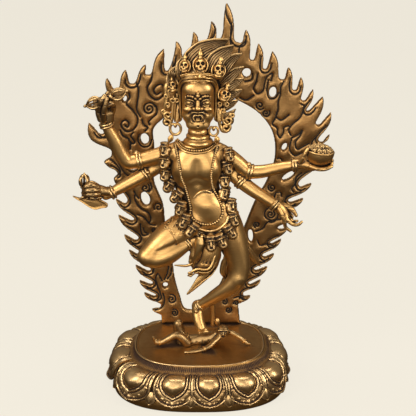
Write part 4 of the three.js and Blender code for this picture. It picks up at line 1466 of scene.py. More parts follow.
@dataclass
class EarOrnaments:
    """Long hoops in the ear lobes, scrolls beside them, and small curls down both sides of the face.

    Curls are (centre pixel, radius in pixels, turns, start in degrees, depth, rod radius in mm).
    """

    curls: tuple = (
        ((167.8, 115.4), 4.2, 1.3, 90, -4.8, 1.0), ((166.8, 122.6), 4.4, -1.1, 60, -4.6, 1.1),
        ((163.4, 111.4), 2.4, 1.2, 0, -4.4, 0.8), ((228.0, 120.6), 4.9, -1.4, 200, -4.4, 1.0),
        ((225.8, 127.6), 5.0, 1.1, -60, -4.2, 1.15), ((232.0, 115.6), 2.6, 1.2, 180, -3.8, 0.8),
        ((171.0, 92.0), 3.2, 1.3, 120, -5.0, 0.7), ((166.4, 96.6), 2.8, -1.3, 20, -4.2, 0.7),
        ((172.6, 100.2), 3.0, 1.2, -60, -5.0, 0.7), ((167.4, 104.6), 2.8, -1.3, 100, -4.4, 0.65),
        ((176.4, 100.6), 2.6, 1.2, 200, -6.0, 0.6), ((222.4, 99.0), 3.2, -1.3, 60, -5.0, 0.7),
        ((226.6, 104.6), 2.8, 1.3, 160, -4.2, 0.65), ((219.6, 104.0), 2.6, -1.2, 120, -5.6, 0.6),
        ((223.6, 110.6), 2.6, 1.2, 20, -4.6, 0.6),
    )
    ribbons: tuple = (
        (((169, 80), (166, 88), (166.4, 97), (165.8, 106), (163.2, 112)), -2.6, 1.9),
        (((173.6, 96), (173.0, 106), (172.4, 114), (171.6, 121), (169.6, 126)), -4.4, 1.2),
        (((175.6, 98), (175.0, 106), (174.6, 114), (174.4, 122)), -4.6, 0.7),
        (((221.6, 108), (219.8, 118), (220.2, 126), (223.2, 131.4), (227.6, 132.4)), -4.2, 1.35),
        (((224.6, 108), (222.6, 117), (222.6, 124)), -4.2, 0.7),
    )
    hoops: tuple = (((175.4, 128.8), 4.0, 4.5, 1.05), ((213.6, 131.0), 3.3, 3.7, 0.95))
    # Dark discs behind the curls, painted as the shade there: (centre pixel, depth, radius in mm).
    shade_discs: tuple = (
        ((167.2, 121.6), -2.6, 3.6), ((166.4, 115.0), -2.6, 3.4), ((226.0, 127.2), -2.4, 4.2),
        ((228.4, 120.4), -2.4, 4.2), ((231.2, 115.6), -2.0, 2.4),
    )

    def shells(self) -> list[Shell]:
        """Builds all of them as one piece."""
        made = []
        for centre, radius, turns, start, depth, thick in self.curls:
            rows = spiral(centre, radius, turns, start, 0.9)
            path = smooth_path(SIGHT.at_depth(rows, depth), 40)
            made.append(rod("curl", Finish.BODY, path, thick, 9))
        for rows, depth, thick in self.ribbons:
            path = smooth_path(SIGHT.at_depth(rows, depth), 30)
            size = thick * np.interp(np.linspace(0, 1, 30), (0, 0.2, 0.8, 1), (0.5, 1, 1, 0.4))
            made.append(rod("ribbon", Finish.BODY, path, size, 10, 0.8))
        for pixel, depth, size in self.shade_discs:
            disc = [(0.05, -0.7), (size - 0.4, -0.7), (size, 0), (size - 0.4, 0.7), (0.05, 0.7)]
            plate = turned_shape(
                "shade_disc", Finish.BODY, disc, SIGHT.at_depth([pixel], depth)[0], (0, -1, 0), 30
            )
            # The whole disc is dark: painted shade behind the curl.
            plate.ink[:] = 1.0
            made.append(plate)
        ball = [(0.05, -2.2), (1.1, -1.4), (1.4, 0), (1.0, 1.3), (0.05, 1.9)]
        for centre, wide, high, thick in self.hoops:
            middle = SIGHT.at_depth([centre], -4.4)[0]
            turn = np.linspace(0, 2 * math.pi, 40, endpoint=False)
            dent = 1.5 * np.exp(-(((turn - math.pi / 2) / 0.34) ** 2))
            path = np.stack(
                [wide * np.cos(turn), np.zeros_like(turn), high * np.sin(turn) - dent], axis=1
            ) + middle
            made.append(rod("hoop", Finish.BODY, path, thick, closed=True))
            foot = middle + np.array([0, -0.2, high - 1.6])
            made.append(turned_shape("ball", Finish.BODY, ball, foot, (0, 0, 1), 12))
        for pixels in (
            ((172.5, 135), (170.4, 139), (168.4, 143.5)), ((216, 136.2), (217.2, 140), (218.4, 144))
        ):
            path = smooth_path(SIGHT.at_depth(pixels, -5.6), 20)
            made.append(swept_leaf("pendant", Finish.BODY, path, (0.8, 1.9, 2.2, 1.4, 0.2), 2.0, 2))
        return [joined("ear_ornaments", made)]


def read_off(rows: Sequence[Numbers]) -> list[list[float]]:
    """Stations in mm from rows of (column, row, Y in mm, further values) read off the photograph."""
    given = np.asarray(rows, float)
    return np.hstack([SIGHT.at_depth(given[:, :2], given[:, 2:3]), given[:, 3:]]).tolist()


@dataclass
class Hands:
    """The four hands. A finger is a row of (column, row, Y in mm, radius in mm) from its root to its tip."""

    step: float = 0.36

    def _hand(
        self, name: str, finish: "Finish", low: Numbers, high: Numbers, palm: tuple, fingers: tuple,
        nails: float = 0.5,
    ) -> Shell:
        """Models one hand.

        Args:
            name: name of the piece.
            finish: its finish.
            low: lowest corner of its block of clay in mm.
            high: highest corner.
            palm: stations of the limbs that make up the palm.
            fingers: stations of the fingers.
            nails: how deep the crease at each knuckle is.

        Returns:
            The hand.
        """
        clay = Clay(low, high, self.step)
        for rows in palm:
            clay.limb(read_off(rows), 2.4)
        for rows in fingers:
            stations = read_off(rows)
            clay.limb(stations, 0.55, count=16)
            for x, y, z, radius in stations[1:-1]:
                clay.ball((x, y - radius, z + 0.2), (radius * 0.8, 0.35, 0.3), 0.3 * nails, carve=True)
        return clay.skin(name, finish, 3)

    def sceptre_hand(self) -> Shell:
        """The upper left hand, whose thumb presses the sceptre to the raised fingers."""
        palm = (
            ((109.0, 126, -6.4, 3.2), (106.8, 120.5, -7.4, 3.5), (105.2, 114.5, -8.0, 4.0)),
            ((109.4, 119, -7.0, 3.1), (110.6, 113.0, -7.4, 3.0)),
        )
        fingers = (
            (
                (100.6, 119, -9.0, 2.6), (98.6, 112.5, -9.8, 2.4), (99.6, 105.6, -12.0, 2.2),
                (102.4, 99.6, -14.2, 2.0), (104.6, 96.2, -13.8, 1.7),
            ),
            (
                (104.0, 113, -5.6, 2.6), (102.6, 105.6, -4.6, 2.3), (105.4, 97.6, -5.0, 2.0),
                (107.6, 93.4, -7.6, 1.6),
            ),
            ((109.4, 112, -5.4, 2.6), (109.8, 104.6, -4.6, 2.3), (110.6, 98.4, -5.0, 1.9)),
            (
                (112.6, 111.4, -7.4, 2.2), (113.6, 106.6, -10.2, 2.0), (111.0, 103.6, -13.0, 1.9),
                (108.4, 104.8, -13.6, 1.6),
            ),
            (
                (104.2, 121, -12.0, 1.9), (103.8, 113.6, -14.4, 1.9), (105.4, 105.6, -15.8, 1.8),
                (106.8, 99.2, -15.8, 1.5),
            ),
        )
        return self._hand("sceptre_hand", Finish.DARKER, (-84, -24, 206), (-52, 6, 246), palm, fingers)

    def knife_hand(self) -> Shell:
        """The lower left hand, closed round the grip of the knife."""
        palm = (
            (
                (113.5, 191.6, -5.6, 3.0), (107.5, 191.8, -6.6, 3.5), (101.5, 190.8, -7.4, 4.4),
                (96.5, 189.4, -7.6, 4.1),
            ),
        )
        fingers = (
            (
                (97, 186.4, -9.6, 2.2), (91.4, 185.4, -12.6, 2.0), (86.6, 186.6, -13.6, 1.9),
                (84.0, 188.6, -11.6, 1.6),
            ),
            (
                (98.6, 190.4, -10.6, 2.2), (93.0, 190.2, -13.6, 2.1), (87.6, 190.8, -14.2, 2.0),
                (84.4, 192.4, -12.0, 1.6),
            ),
            (
                (98.6, 194.2, -10.6, 2.1), (93.6, 194.4, -13.4, 2.0), (88.6, 194.8, -14.0, 1.9),
                (85.4, 196.0, -12.0, 1.5),
            ),
            ((100, 197.4, -9.2, 1.8), (95.6, 198.2, -11.6, 1.6), (91.4, 198.0, -12.2, 1.4)),
            ((97.5, 186.2, -5.0, 2.1), (91.6, 183.0, -4.6, 1.9), (86.8, 183.6, -6.2, 1.6)),
        )
        return self._hand("knife_hand", Finish.DARKER, (-92, -22, 143), (-58, 4, 176), palm, fingers)

    def cup_hand(self) -> Shell:
        """The upper right hand, open under the skull cup."""
        palm = (
            (
                (294.5, 163.2, -4.4, 3.0), (301, 163.8, -4.8, 3.4), (307, 164.8, -5.6, 3.8),
                (313, 166.8, -6.2, 3.0),
            ),
        )
        fingers = (
            (
                (311, 166.6, -9.0, 1.9), (318.4, 169.0, -11.0, 1.7), (327, 168.6, -11.6, 1.5),
                (331.9, 166.2, -10.4, 1.1),
            ),
            (
                (312, 165.6, -6.0, 1.9), (320, 168.0, -6.4, 1.7), (329.4, 166.6, -6.4, 1.5),
                (332.2, 162.8, -5.2, 1.1),
            ),
            (
                (312, 164.4, -2.6, 1.9), (320, 166.4, -2.0, 1.7), (329, 164.4, -1.8, 1.5),
                (332.4, 160.4, -1.6, 1.1),
            ),
            ((309, 162.6, 0.4, 1.8), (313, 157.0, 2.6, 1.6), (317, 150.6, 3.2, 1.3)),
            (
                (300.6, 161.6, -8.0, 1.8), (303.4, 157.0, -9.4, 1.6), (305.6, 152.4, -10.0, 1.4),
                (307.6, 149.0, -9.6, 1.1),
            ),
        )
        return self._hand("cup_hand", Finish.BODY, (64, -22, 172), (102, 8, 205), palm, fingers, 0.4)

    def pointing_hand(self) -> Shell:
        """The lower right hand, lowered, with the forefinger stretched out and the others opening."""
        palm = (
            (
                (275.5, 203.6, -6.2, 3.5), (279.6, 206.6, -7.0, 3.6), (283.0, 211.2, -7.4, 3.7),
                (285.2, 215.4, -7.6, 3.2),
            ),
        )
        fingers = (
            (
                (279.4, 209.0, -10.0, 1.9), (282.2, 215.0, -11.4, 1.8), (284.4, 221.4, -11.4, 1.55),
                (285.6, 227.0, -10.4, 1.4), (290.6, 231.2, -9.6, 1.0),
            ),
            (
                (285.0, 215.6, -9.4, 1.9), (288.6, 221.2, -10.6, 1.6), (294.4, 224.8, -11.0, 1.4),
                (299.0, 224.4, -10.6, 1.2), (301.8, 221.8, -9.8, 0.9),
            ),
            (
                (285.4, 213.8, -7.4, 1.8), (289.0, 218.6, -7.2, 1.5), (293.6, 221.4, -7.0, 1.3),
                (297.2, 221.0, -6.6, 1.0),
            ),
            ((284.6, 210.6, -5.0, 1.8), (289.0, 212.8, -4.2, 1.6), (292.0, 216.4, -4.0, 1.3)),
            (
                (281.0, 204.8, -5.4, 2.2), (287.6, 206.6, -6.6, 2.1), (293.0, 210.4, -7.8, 1.9),
                (296.2, 215.6, -8.4, 1.1),
            ),
        )
        return self._hand("pointing_hand", Finish.BODY, (54, -18, 122), (80, 2, 156), palm, fingers, 0.4)

    def shells(self) -> list[Shell]:
        """Builds the four hands."""
        return [self.sceptre_hand(), self.knife_hand(), self.cup_hand(), self.pointing_hand()]


def prongs(
    name: str, start: Numbers, axis: Numbers, rows: Sequence[Numbers], count: int, first: float
) -> Shell:
    """Curved prongs that stand round an axis and close at the tip, with a straight one in the middle.

    Args:
        name: name of the piece.
        start: where they spring from, in mm.
        axis: the direction that they point in.
        rows: (distance along the axis, distance from it, thickness) of each prong.
        count: how many stand round it.
        first: turn of the first, in degrees, from straight up.

    Returns:
        All prongs as one piece.
    """
    ahead = unit(np.asarray(axis, float))
    front = np.array([0, -1.0, 0])
    front = unit(front - (front @ ahead) * ahead)
    upward = np.cross(ahead, front)
    path = smooth_path([(along, away, 0, thick) for along, away, thick in rows], 24)
    made = []
    for turn in np.radians(first + 360 / count * np.arange(count)):
        out = math.cos(turn) * upward + math.sin(turn) * front
        places = np.asarray(start, float) + path[:, :1] * ahead + path[:, 1:2] * out
        made.append(rod(name, Finish.DARKER, places, path[:, 3], 10, 0.85, out))
    reach = rows[-1][0]
    core = [
        (0.05, 0), (1.0, 0.3), (0.8, reach * 0.4), (0.9, reach * 0.85), (1.1, reach), (0.7, reach + 1.2),
        (0.05, reach + 2),
    ]
    made.append(turned_shape(name, Finish.DARKER, core, start, axis, 12))
    return joined(name, made)


@dataclass
class Sceptre:
    """The five-pronged sceptre in the upper left hand.

    Args:
        ends: where its tips are seen, in pixels of the photograph.
        depth: the Y of its middle line in mm.
    """

    ends: tuple = ((86.6, 105.6), (125.4, 91.6))
    depth: float = -9.8
    rows: tuple = (
        (0, 1.3, 0.8), (1.6, 3.4, 1.0), (4.2, 4.7, 1.1), (7.0, 4.1, 1.05), (9.2, 2.2, 0.9), (10.4, 0.8, 0.8)
    )

    def shells(self) -> list[Shell]:
        """Builds the grip, the lotus collars and the prongs at both ends."""
        tips = SIGHT.at_depth(self.ends, self.depth)
        middle = tips.mean(0)
        ahead = unit(tips[1] - tips[0])
        made = []
        profile = [
            (0.05, -5.4), (2.6, -5.2), (3.0, -4.5), (2.4, -3.8), (2.9, -3.2), (1.7, -2.4), (2.4, -1.4),
            (2.9, 0), (2.4, 1.4), (1.7, 2.4), (2.9, 3.2), (2.4, 3.8), (3.0, 4.5), (2.6, 5.2), (0.05, 5.4),
        ]
        made.append(turned_shape("grip", Finish.DARKER, profile, middle, ahead, 20))
        tip_profile = [(0.05, -1.6), (0.9, -1), (1.3, 0), (0.9, 0.9), (0.05, 1.5)]
        for way in (-1, 1):
            made.append(prongs("prongs", middle + way * 4.6 * ahead, way * ahead, self.rows, 4, 45))
            tip = middle + way * 16.2 * ahead
            made.append(turned_shape("tip", Finish.DARKER, tip_profile, tip, ahead, 12))
        return [joined("sceptre", made)]


@dataclass
class FlayingKnife:
    """The curved knife in the lower left hand, with half a sceptre for a pommel.

    Args:
        outline: the edge of its blade, in pixels of the photograph.
        depth: the Y of its blade in mm.
    """

    outline: tuple = (
        (72.6, 196.0), (76.0, 197.0), (80.6, 197.7), (87.0, 196.6), (93.4, 196.4), (98.6, 198.6),
        (103.8, 201.4), (108.0, 204.6), (107.6, 206.6), (102.0, 208.0), (95.2, 209.4), (89.4, 207.2),
        (84.6, 204.0), (80.0, 201.0), (75.6, 198.4),
    )
    depth: float = -10.6
    half_thickness: float = 1.15

    def blade(self) -> Shell:
        """The flat blade, thin at its edge and swelling to the middle."""
        rim = smooth_path(SIGHT.at_depth(self.outline, self.depth), 96, closed=True)
        rim[:, 0] = np.maximum(rim[:, 0], -94.5)
        middle = rim.mean(0)
        shares = ((1.0, 0.3), (0.985, 0.75), (0.93, 1.0), (0.9, 0.78), (0.6, 0.86), (0.3, 0.95), (0.04, 1.0))
        rings = [
            middle + share * (rim - middle) + np.array([0, -self.half_thickness * out, 0])
            for share, out in shares
        ]
        back = [ring * (1, -1, 1) + np.array([0, 2 * self.depth, 0]) for ring in rings]
        points = np.vstack(rings[::-1] + back)
        quads = sheet_faces(2 * len(shares), len(rim), False, True)
        here = np.arange(len(rim))
        after = (here + 1) % len(rim)
        front_cap, back_cap = len(points), len(points) + 1
        points = np.vstack([points, points[: len(rim)].mean(0), points[-len(rim):].mean(0)])
        first = np.stack([after, here, np.full(len(rim), front_cap)], axis=1)
        last = np.stack([here, after, np.full(len(rim), back_cap)], axis=1)
        last[:, :2] += (2 * len(shares) - 1) * len(rim)
        return righted(Shell("blade", points, quads, Finish.BODY, np.vstack([first, last])))

    def shells(self) -> list[Shell]:
        """Builds the blade, its grip and its pommel."""
        foot, top = SIGHT.at_depth([(83.6, 199.0), (84.0, 186.0)], -9.2)
        ahead = top - foot
        grip = [
            (0.05, -1), (2.0, -0.6), (2.2, 0.6), (1.6, 1.6), (1.7, 4), (2.1, 5), (1.6, 6), (1.7, 8.2),
            (2.6, 8.8), (2.8, 9.6), (2.0, 10.4), (0.05, 10.8),
        ]
        rows = (
            (0, 1.2, 0.8), (1.6, 3.0, 1.15), (4.0, 3.9, 1.3), (6.6, 3.5, 1.25), (8.4, 2.0, 1.0),
            (9.2, 0.9, 0.8),
        )
        made = [
            turned_shape("grip", Finish.DARKER, grip, foot, ahead, 18),
            prongs("pommel", top + unit(ahead) * -0.4, ahead, rows, 4, 45),
        ]
        guard = smooth_path(
            read_off(
                [(79.6, 199.6, -12.0), (82.0, 197.4, -12.4), (85.4, 197.2, -12.4), (88.0, 199.4, -12.0)]
            ),
            18,
        )
        made.append(rod("guard", Finish.JEWEL, guard, 0.7, 8))
        return [self.blade(), joined("knife_grip", made)]


@dataclass
class SkullCup:
    """The skull cup in the upper right hand, heaped with what it holds.

    Args:
        centre: middle of its rim in mm.
        lean: its lean to the right, in degrees.
    """

    centre: tuple[float, float, float] = (90.3, -5.4, 192.9)
    half: tuple[float, float] = (10.5, 9.5)
    lean: float = 6.0

    def shells(self) -> list[Shell]:
        """Builds the bowl, its rim and the heap."""
        middle = np.array(self.centre)
        axes = turned_axes((0, self.lean, 0))
        share = np.radians(np.linspace(-88, 0, 22))
        bowl = [(math.cos(a) ** 0.8, 10.4 * math.sin(a)) for a in share]
        rows = [(0.004, bowl[0][1])] + bowl + [
            (1.02, 0.5), (1.0, 1.0), (0.93, 1.1), (0.9, 0.6), (0.86, -0.6), (0.01, -1.0)
        ]
        turn = np.linspace(0, 2 * math.pi, 72, endpoint=False)
        ring = np.stack([self.half[0] * np.cos(turn), self.half[1] * np.sin(turn)], axis=1)
        levels = np.array(rows)
        points = np.concatenate([
            levels[:, :1, None] * ring[None], np.repeat(levels[:, 1:, None], 72, axis=1)
        ], axis=2).reshape(-1, 3)
        quads = sheet_faces(len(rows), 72, False, True)
        here = np.arange(72)
        after = (here + 1) % 72
        low = np.stack([after, here, np.full(72, len(points))], axis=1)
        high = np.stack([here, after, np.full(72, len(points) + 1)], axis=1)
        high[:, :2] += (len(rows) - 1) * 72
        points = np.vstack([points, [0, 0, rows[0][1]], [0, 0, rows[-1][1]]])
        cup = righted(
            Shell("skull_cup", points @ axes.T + middle, quads, Finish.BODY, np.vstack([low, high]))
        )
        number = np.arange(150)
        fall = np.sqrt((number + 0.5) / 150)
        turn = number * 2.39996
        heap = np.stack(
            [
                0.88 * self.half[0] * fall * np.cos(turn), 0.88 * self.half[1] * fall * np.sin(turn),
                5.2 * np.sqrt(1 - 0.97 * fall**2) - 0.4,
            ],
            axis=1,
        )
        heap = heap @ axes.T + middle
        size = 0.95 + 0.2 * np.sin(number * 1.7)
        beads = stamped("beads", bead_template(Finish.DARKER), heap, size[:, None, None] * np.eye(3))
        clay = Clay(middle - (12, 11, 4), middle + (12, 11, 9), 0.5)
        clay.ball(middle + (0, 0, -0.6), (9.2, 8.4, 5.6), 1)
        mound = clay.skin("mound", Finish.DARKER, 2)
        curls = []
        for x, y, z, size in (
            (-5.4, -5.6, 2.2, 1.4), (-1.8, -7.0, 2.4, 1.5), (2.0, -7.0, 2.4, 1.5), (5.8, -5.4, 2.2, 1.4),
            (-3.6, -4.4, 4.4, 1.3), (0.4, -4.8, 4.8, 1.4), (4.2, -3.6, 4.4, 1.3),
        ):
            turn = np.linspace(0.3 * x, 0.3 * x + 2.4 * math.pi, 22)
            radius = size * np.linspace(1, 0.35, 22)
            path = np.stack(
                [x + radius * np.cos(turn), np.full(22, y) - 0.6, z + radius * np.sin(turn)], axis=1
            ) @ axes.T + middle
            curls.append(rod("curl", Finish.JEWEL, path, 0.5, 8))
        return [cup, joined("cup_heap", [mound, beads]), joined("cup_scrolls", curls)]


class Draper:
    """Lays what was read off the photograph onto the front of the body."""

    def __init__(self, shells: Iterable[Shell]) -> None:
        """Notes where each point of the shells is seen, and how far back it is."""
        places = np.vstack([shell.points for shell in shells])
        self.pixels = SIGHT.pixels(places)
        self.depths = places[:, 1]

    def path(self, pixels: Sequence[Numbers], lift: float, count: int, calm: int = 3) -> np.ndarray:
        """A smooth path through pixels, in mm, that lies on what is seen there.

        Args:
            pixels: rows of (column, row).
            lift: how far in front of the surface it lies, in mm.
            count: how many places come back.
            calm: how often the depths are evened out along it.

        Returns:
            Places in mm.
        """
        rows = np.hstack([np.asarray(pixels, float), np.zeros((len(pixels), 1))])
        spots = smooth_path(rows, count)[:, :2]
        depths = np.array([self._depth(spot) for spot in spots])
        for _ in range(calm):
            depths[1:-1] = 0.25 * depths[:-2] + 0.5 * depths[1:-1] + 0.25 * depths[2:]
        return SIGHT.at_depth(spots, depths[:, None] - lift)

    def _depth(self, spot: np.ndarray) -> float:
        """The nearest Y that is seen about a pixel, looking wider until there is something."""
        away = np.abs(self.pixels - spot).max(1)
        for reach in (0.8, 1.6, 3.2, 6.4):
            near = away < reach
            if near.any():
                return float(self.depths[near].min())
        return -8.0


@dataclass
class Jewellery:
    """Armlets, bracelets, anklets, the collar, the strings of beads and the belt.

    Args:
        body: the dancer's stations.
        draper: lays rows of pixels on the body.
    """

    body: DancerBody
    draper: Draper
    neck_profile: tuple[tuple[float, float], ...] = (
        (125.0, 6.9), (128.6, 7.2), (129.8, 7.1), (130.4, 6.6), (131.0, 7.0), (131.8, 7.4), (134.2, 7.7),
        (135.0, 7.5), (135.6, 6.9), (136.2, 7.4), (137.0, 8.2), (138.4, 8.9), (139.8, 9.0), (140.8, 8.7),
        (141.6, 8.9), (142.8, 9.8), (144.4, 10.8), (145.8, 11.1), (146.8, 10.9), (147.8, 10.2), (149.0, 9.4),
    )
    arm_rings: tuple = ((138.2, 157.0), (148.6, 177.0), (250.6, 168.6), (239.6, 182.6))
    wrist_rings: tuple = ((108.2, 123.6), (112.0, 192.4), (294.6, 164.0), (275.4, 204.2))
    ring_jewels: tuple = (
        (136.0, 153.4, 2.2), (147.6, 172.4, 2.0), (249.0, 164.6, 2.0), (239.2, 177.0, 2.0),
        (196.0, 311.4, 1.8),
    )
    collars: tuple = (
        (((177.4, 139.4), (185.0, 146.0), (196.4, 148.4), (208.0, 146.0), (215.2, 141.2)), 0.95),
        (((175.0, 142.0), (183.4, 150.6), (196.2, 153.2), (209.2, 150.8), (217.6, 144.0)), 0.85),
    )
    collar_beads: tuple = ((176.0, 140.6), (184.0, 148.3), (196.2, 150.8), (208.6, 148.4), (216.6, 142.4))
    bead_strings: tuple = (
        (
            (
                (175.0, 143.6), (177.4, 155), (179.6, 167), (181.4, 178), (185.6, 188), (188.6, 199),
                (190.6, 208),
            ),
            0.85,
        ),
        (
            (
                (217.6, 145.4), (214.8, 156), (212.4, 167), (211.4, 178), (213.2, 188), (218.6, 198),
                (222.6, 208),
            ),
            0.85,
        ),
        (
            (
                (190.6, 208), (190.2, 214), (193.4, 219.6), (199.6, 223.2), (207.2, 224.6), (214.6, 223.0),
                (220.2, 218.8), (222.8, 213), (222.6, 208),
            ),
            0.95,
        ),
    )
    cords: tuple = (
        ((
            (188.0, 214), (190.4, 221), (196.6, 227.2), (204.4, 230.6), (212.4, 231.0), (220.0, 228.2),
            (226.0, 222.6), (228.8, 216),
        ), 1.1),
        ((
            (186.6, 216.6), (189.4, 224), (195.6, 230), (204.0, 233.4), (212.6, 233.8), (221.0, 230.8),
            (227.6, 224.8),
        ), 0.7),
        (((194.0, 198.0), (198.8, 193.0), (204.8, 190.8), (211.6, 192.6)), 0.7),
    )
    belt: tuple = ((194.6, 231.6), (203, 235.0), (212, 235.6), (221, 232.8), (228, 226.6))
    chased_scrolls: tuple = (
        (165.6, 226.6), (170.6, 230.4), (175.4, 234.0), (168.6, 222.0), (173.8, 225.8), (178.6, 229.6),
        (172.2, 217.8), (177.4, 221.4), (182.2, 225.4), (180.4, 234.6), (176.2, 213.8), (181.2, 217.4),
        (183.6, 231.8), (185.4, 221.4),
    )

    def _ring_on(
        self, stations: Sequence[Numbers], pixel: Numbers, width: float, height: float, count: int,
        snug: float = 0.1,
    ) -> Shell:
        """A ridged ring round a limb at the place that is seen at a pixel."""
        path = smooth_path(stations, 240)
        near = int(np.argmin(np.linalg.norm(SIGHT.pixels(path[:, :3]) - np.asarray(pixel, float), axis=1)))
        near = min(max(near, 2), 237)
        axis = path[near + 2, :3] - path[near - 2, :3]
        radius = path[near, 3] + snug
        return band(
            "ring", Finish.JEWEL, path[near, :3], axis, (radius, radius), ridges(width, height, count),
            steps=48,
        )

    def rings(self) -> list[Shell]:
        """The rings on the arms and legs."""
        arms = self.body.arms
        made = [
            self._ring_on(stations, pixel, 4.4, 0.8, 2, 0.25)
            for stations, pixel in zip(arms, self.arm_rings)
        ]
        made += [
            self._ring_on(stations, pixel, 4.0, 0.95, 2, 0.8)
            for stations, pixel in zip(arms, self.wrist_rings)
        ]
        made.append(self._ring_on(self.body.standing_leg, (199.6, 310.6), 4.4, 0.7, 2, 0.2))
        made.append(self._ring_on(self.body.raised_shin, (189.6, 243.6), 3.6, 0.7, 2, 0.3))
        made.append(self._ring_on(self.body.raised_thigh, (169.0, 233.6), 1.5, 0.5, 2, 0.15))
        for column, row, leaf in self.ring_jewels:
            place = self.draper.path([(column, row), (column + 0.1, row)], 0.4, 2)[0]
            jewel = [
                (0.05, -0.6), (leaf, -0.5), (leaf, 0.2), (leaf * 0.66, 0.5), (leaf * 0.6, 1.0),
                (leaf * 0.3, 1.4), (0.05, 1.5),
            ]
            made.append(turned_shape("jewel", Finish.JEWEL, jewel, place, (0, -1, 0.4), 14))
        return made

    def collar(self) -> list[Shell]:
        """The folds of the neck and the rings of the collar."""
        rows, radii = np.asarray(self.neck_profile).T
        pixels = np.stack([np.full(len(rows), 197.0), rows], axis=1)
        heights = SIGHT.at_depth(pixels, -radii[:, None] - 1)[:, 2]
        profile = list(zip(radii[::-1], heights[::-1] - heights[-1]))
        made = [turned_shape("neck", Finish.BODY, profile, (-0.4, -1, heights[-1]), (0, 0, 1), 72)]
        for pixels, size in self.collars:
            path = self.draper.path(pixels, 0.2, 50, 6)
            made.append(rod("collar", Finish.JEWEL, path, size))
        beads = self.draper.path(self.collar_beads, 0.4, 70, 6)
        return made + [bead_row("beads", Finish.JEWEL, beads, 0.85)]

    def strings(self) -> list[Shell]:
        """The two long strings of beads over the breasts, and the edge of the belly."""
        made = []
        for pixels, size in self.bead_strings:
            made.append(bead_row("beads", Finish.JEWEL, self.draper.path(pixels, 0.4, 120, 5), size))
        for pixels, size in self.cords:
            path = self.draper.path(pixels, 0.2, 70, 6)
            made.append(rod("cord", Finish.JEWEL, path, size))
        for i in range(9):
            column, row = 201.6 + 2.9 * i, 235.6 - 0.16 * (i - 2.6) ** 2 * 0.9
            pixels = [(column, row), (column + 0.2, row + 2.0), (column + 0.3, row + 4.0)]
            path = self.draper.path(pixels, 0.9, 10)
            made.append(swept_leaf("pendant", Finish.JEWEL, path, (0.5, 1.25, 1.4, 0.9, 0.15), 1.8, 1))
        made.append(bead_row("beads", Finish.JEWEL, self.draper.path(self.belt, 0.6, 60), 0.7))
        return made

    def engraving(self) -> list[Shell]:
        """The chased scrolls on the breeches of the raised thigh."""
        made = []
        for i, pixel in enumerate(self.chased_scrolls):
            rows = spiral(pixel, 2.1, 1.15 * (-1) ** i, 70 * i, 0.5)
            path = self.draper.path(rows, 0.05, 26, 5)
            made.append(rod("scroll", Finish.BODY, path, 0.36, 6))
        return made

    def back(self) -> list[Shell]:
        """The strings and the belt that go round behind."""
        made = []
        for rows, size in (
            ([(-20, 7, 189), (-13, 12.4, 176), (-5, 13.6, 166), (-1, 13.4, 160)], 0.8),
            ([(18, 7, 189), (11, 12.4, 176), (3, 13.6, 166), (-1, 13.4, 160)], 0.8),
        ):
            made.append(bead_row("beads", Finish.JEWEL, smooth_path(rows, 60), size))
        turn = np.radians(np.linspace(8, 172, 60))
        for z, wide, deep, size in (
            (138.6, 23.6, 14.4, 1.3), (141.6, 22.6, 14.2, 0.9), (135.6, 23.8, 15.0, 0.9)
        ):
            path = np.stack(
                [6.2 + wide * np.cos(turn), 1.6 + deep * np.sin(turn), z + 2.2 * np.cos(turn)], axis=1
            )
            made.append(rod("belt", Finish.JEWEL, path, size, 8))
        for z, wide, deep, size in ((194.8, 12.4, 11.4, 1.1), (192.4, 15.4, 12.2, 0.8)):
            path = np.stack([-1.6 + wide * np.cos(turn), 1.4 + deep * np.sin(turn), np.full(60, z)], axis=1)
            made.append(rod("collar", Finish.JEWEL, path, size, 8))
        return made

    def shells(self) -> list[Shell]:
        """Builds all of it."""
        return [
            joined("limb_rings", self.rings()), joined("collar", self.collar()),
            joined("strings", self.strings()), joined("engraving", self.engraving()),
            joined("back_strings", self.back()),
        ]


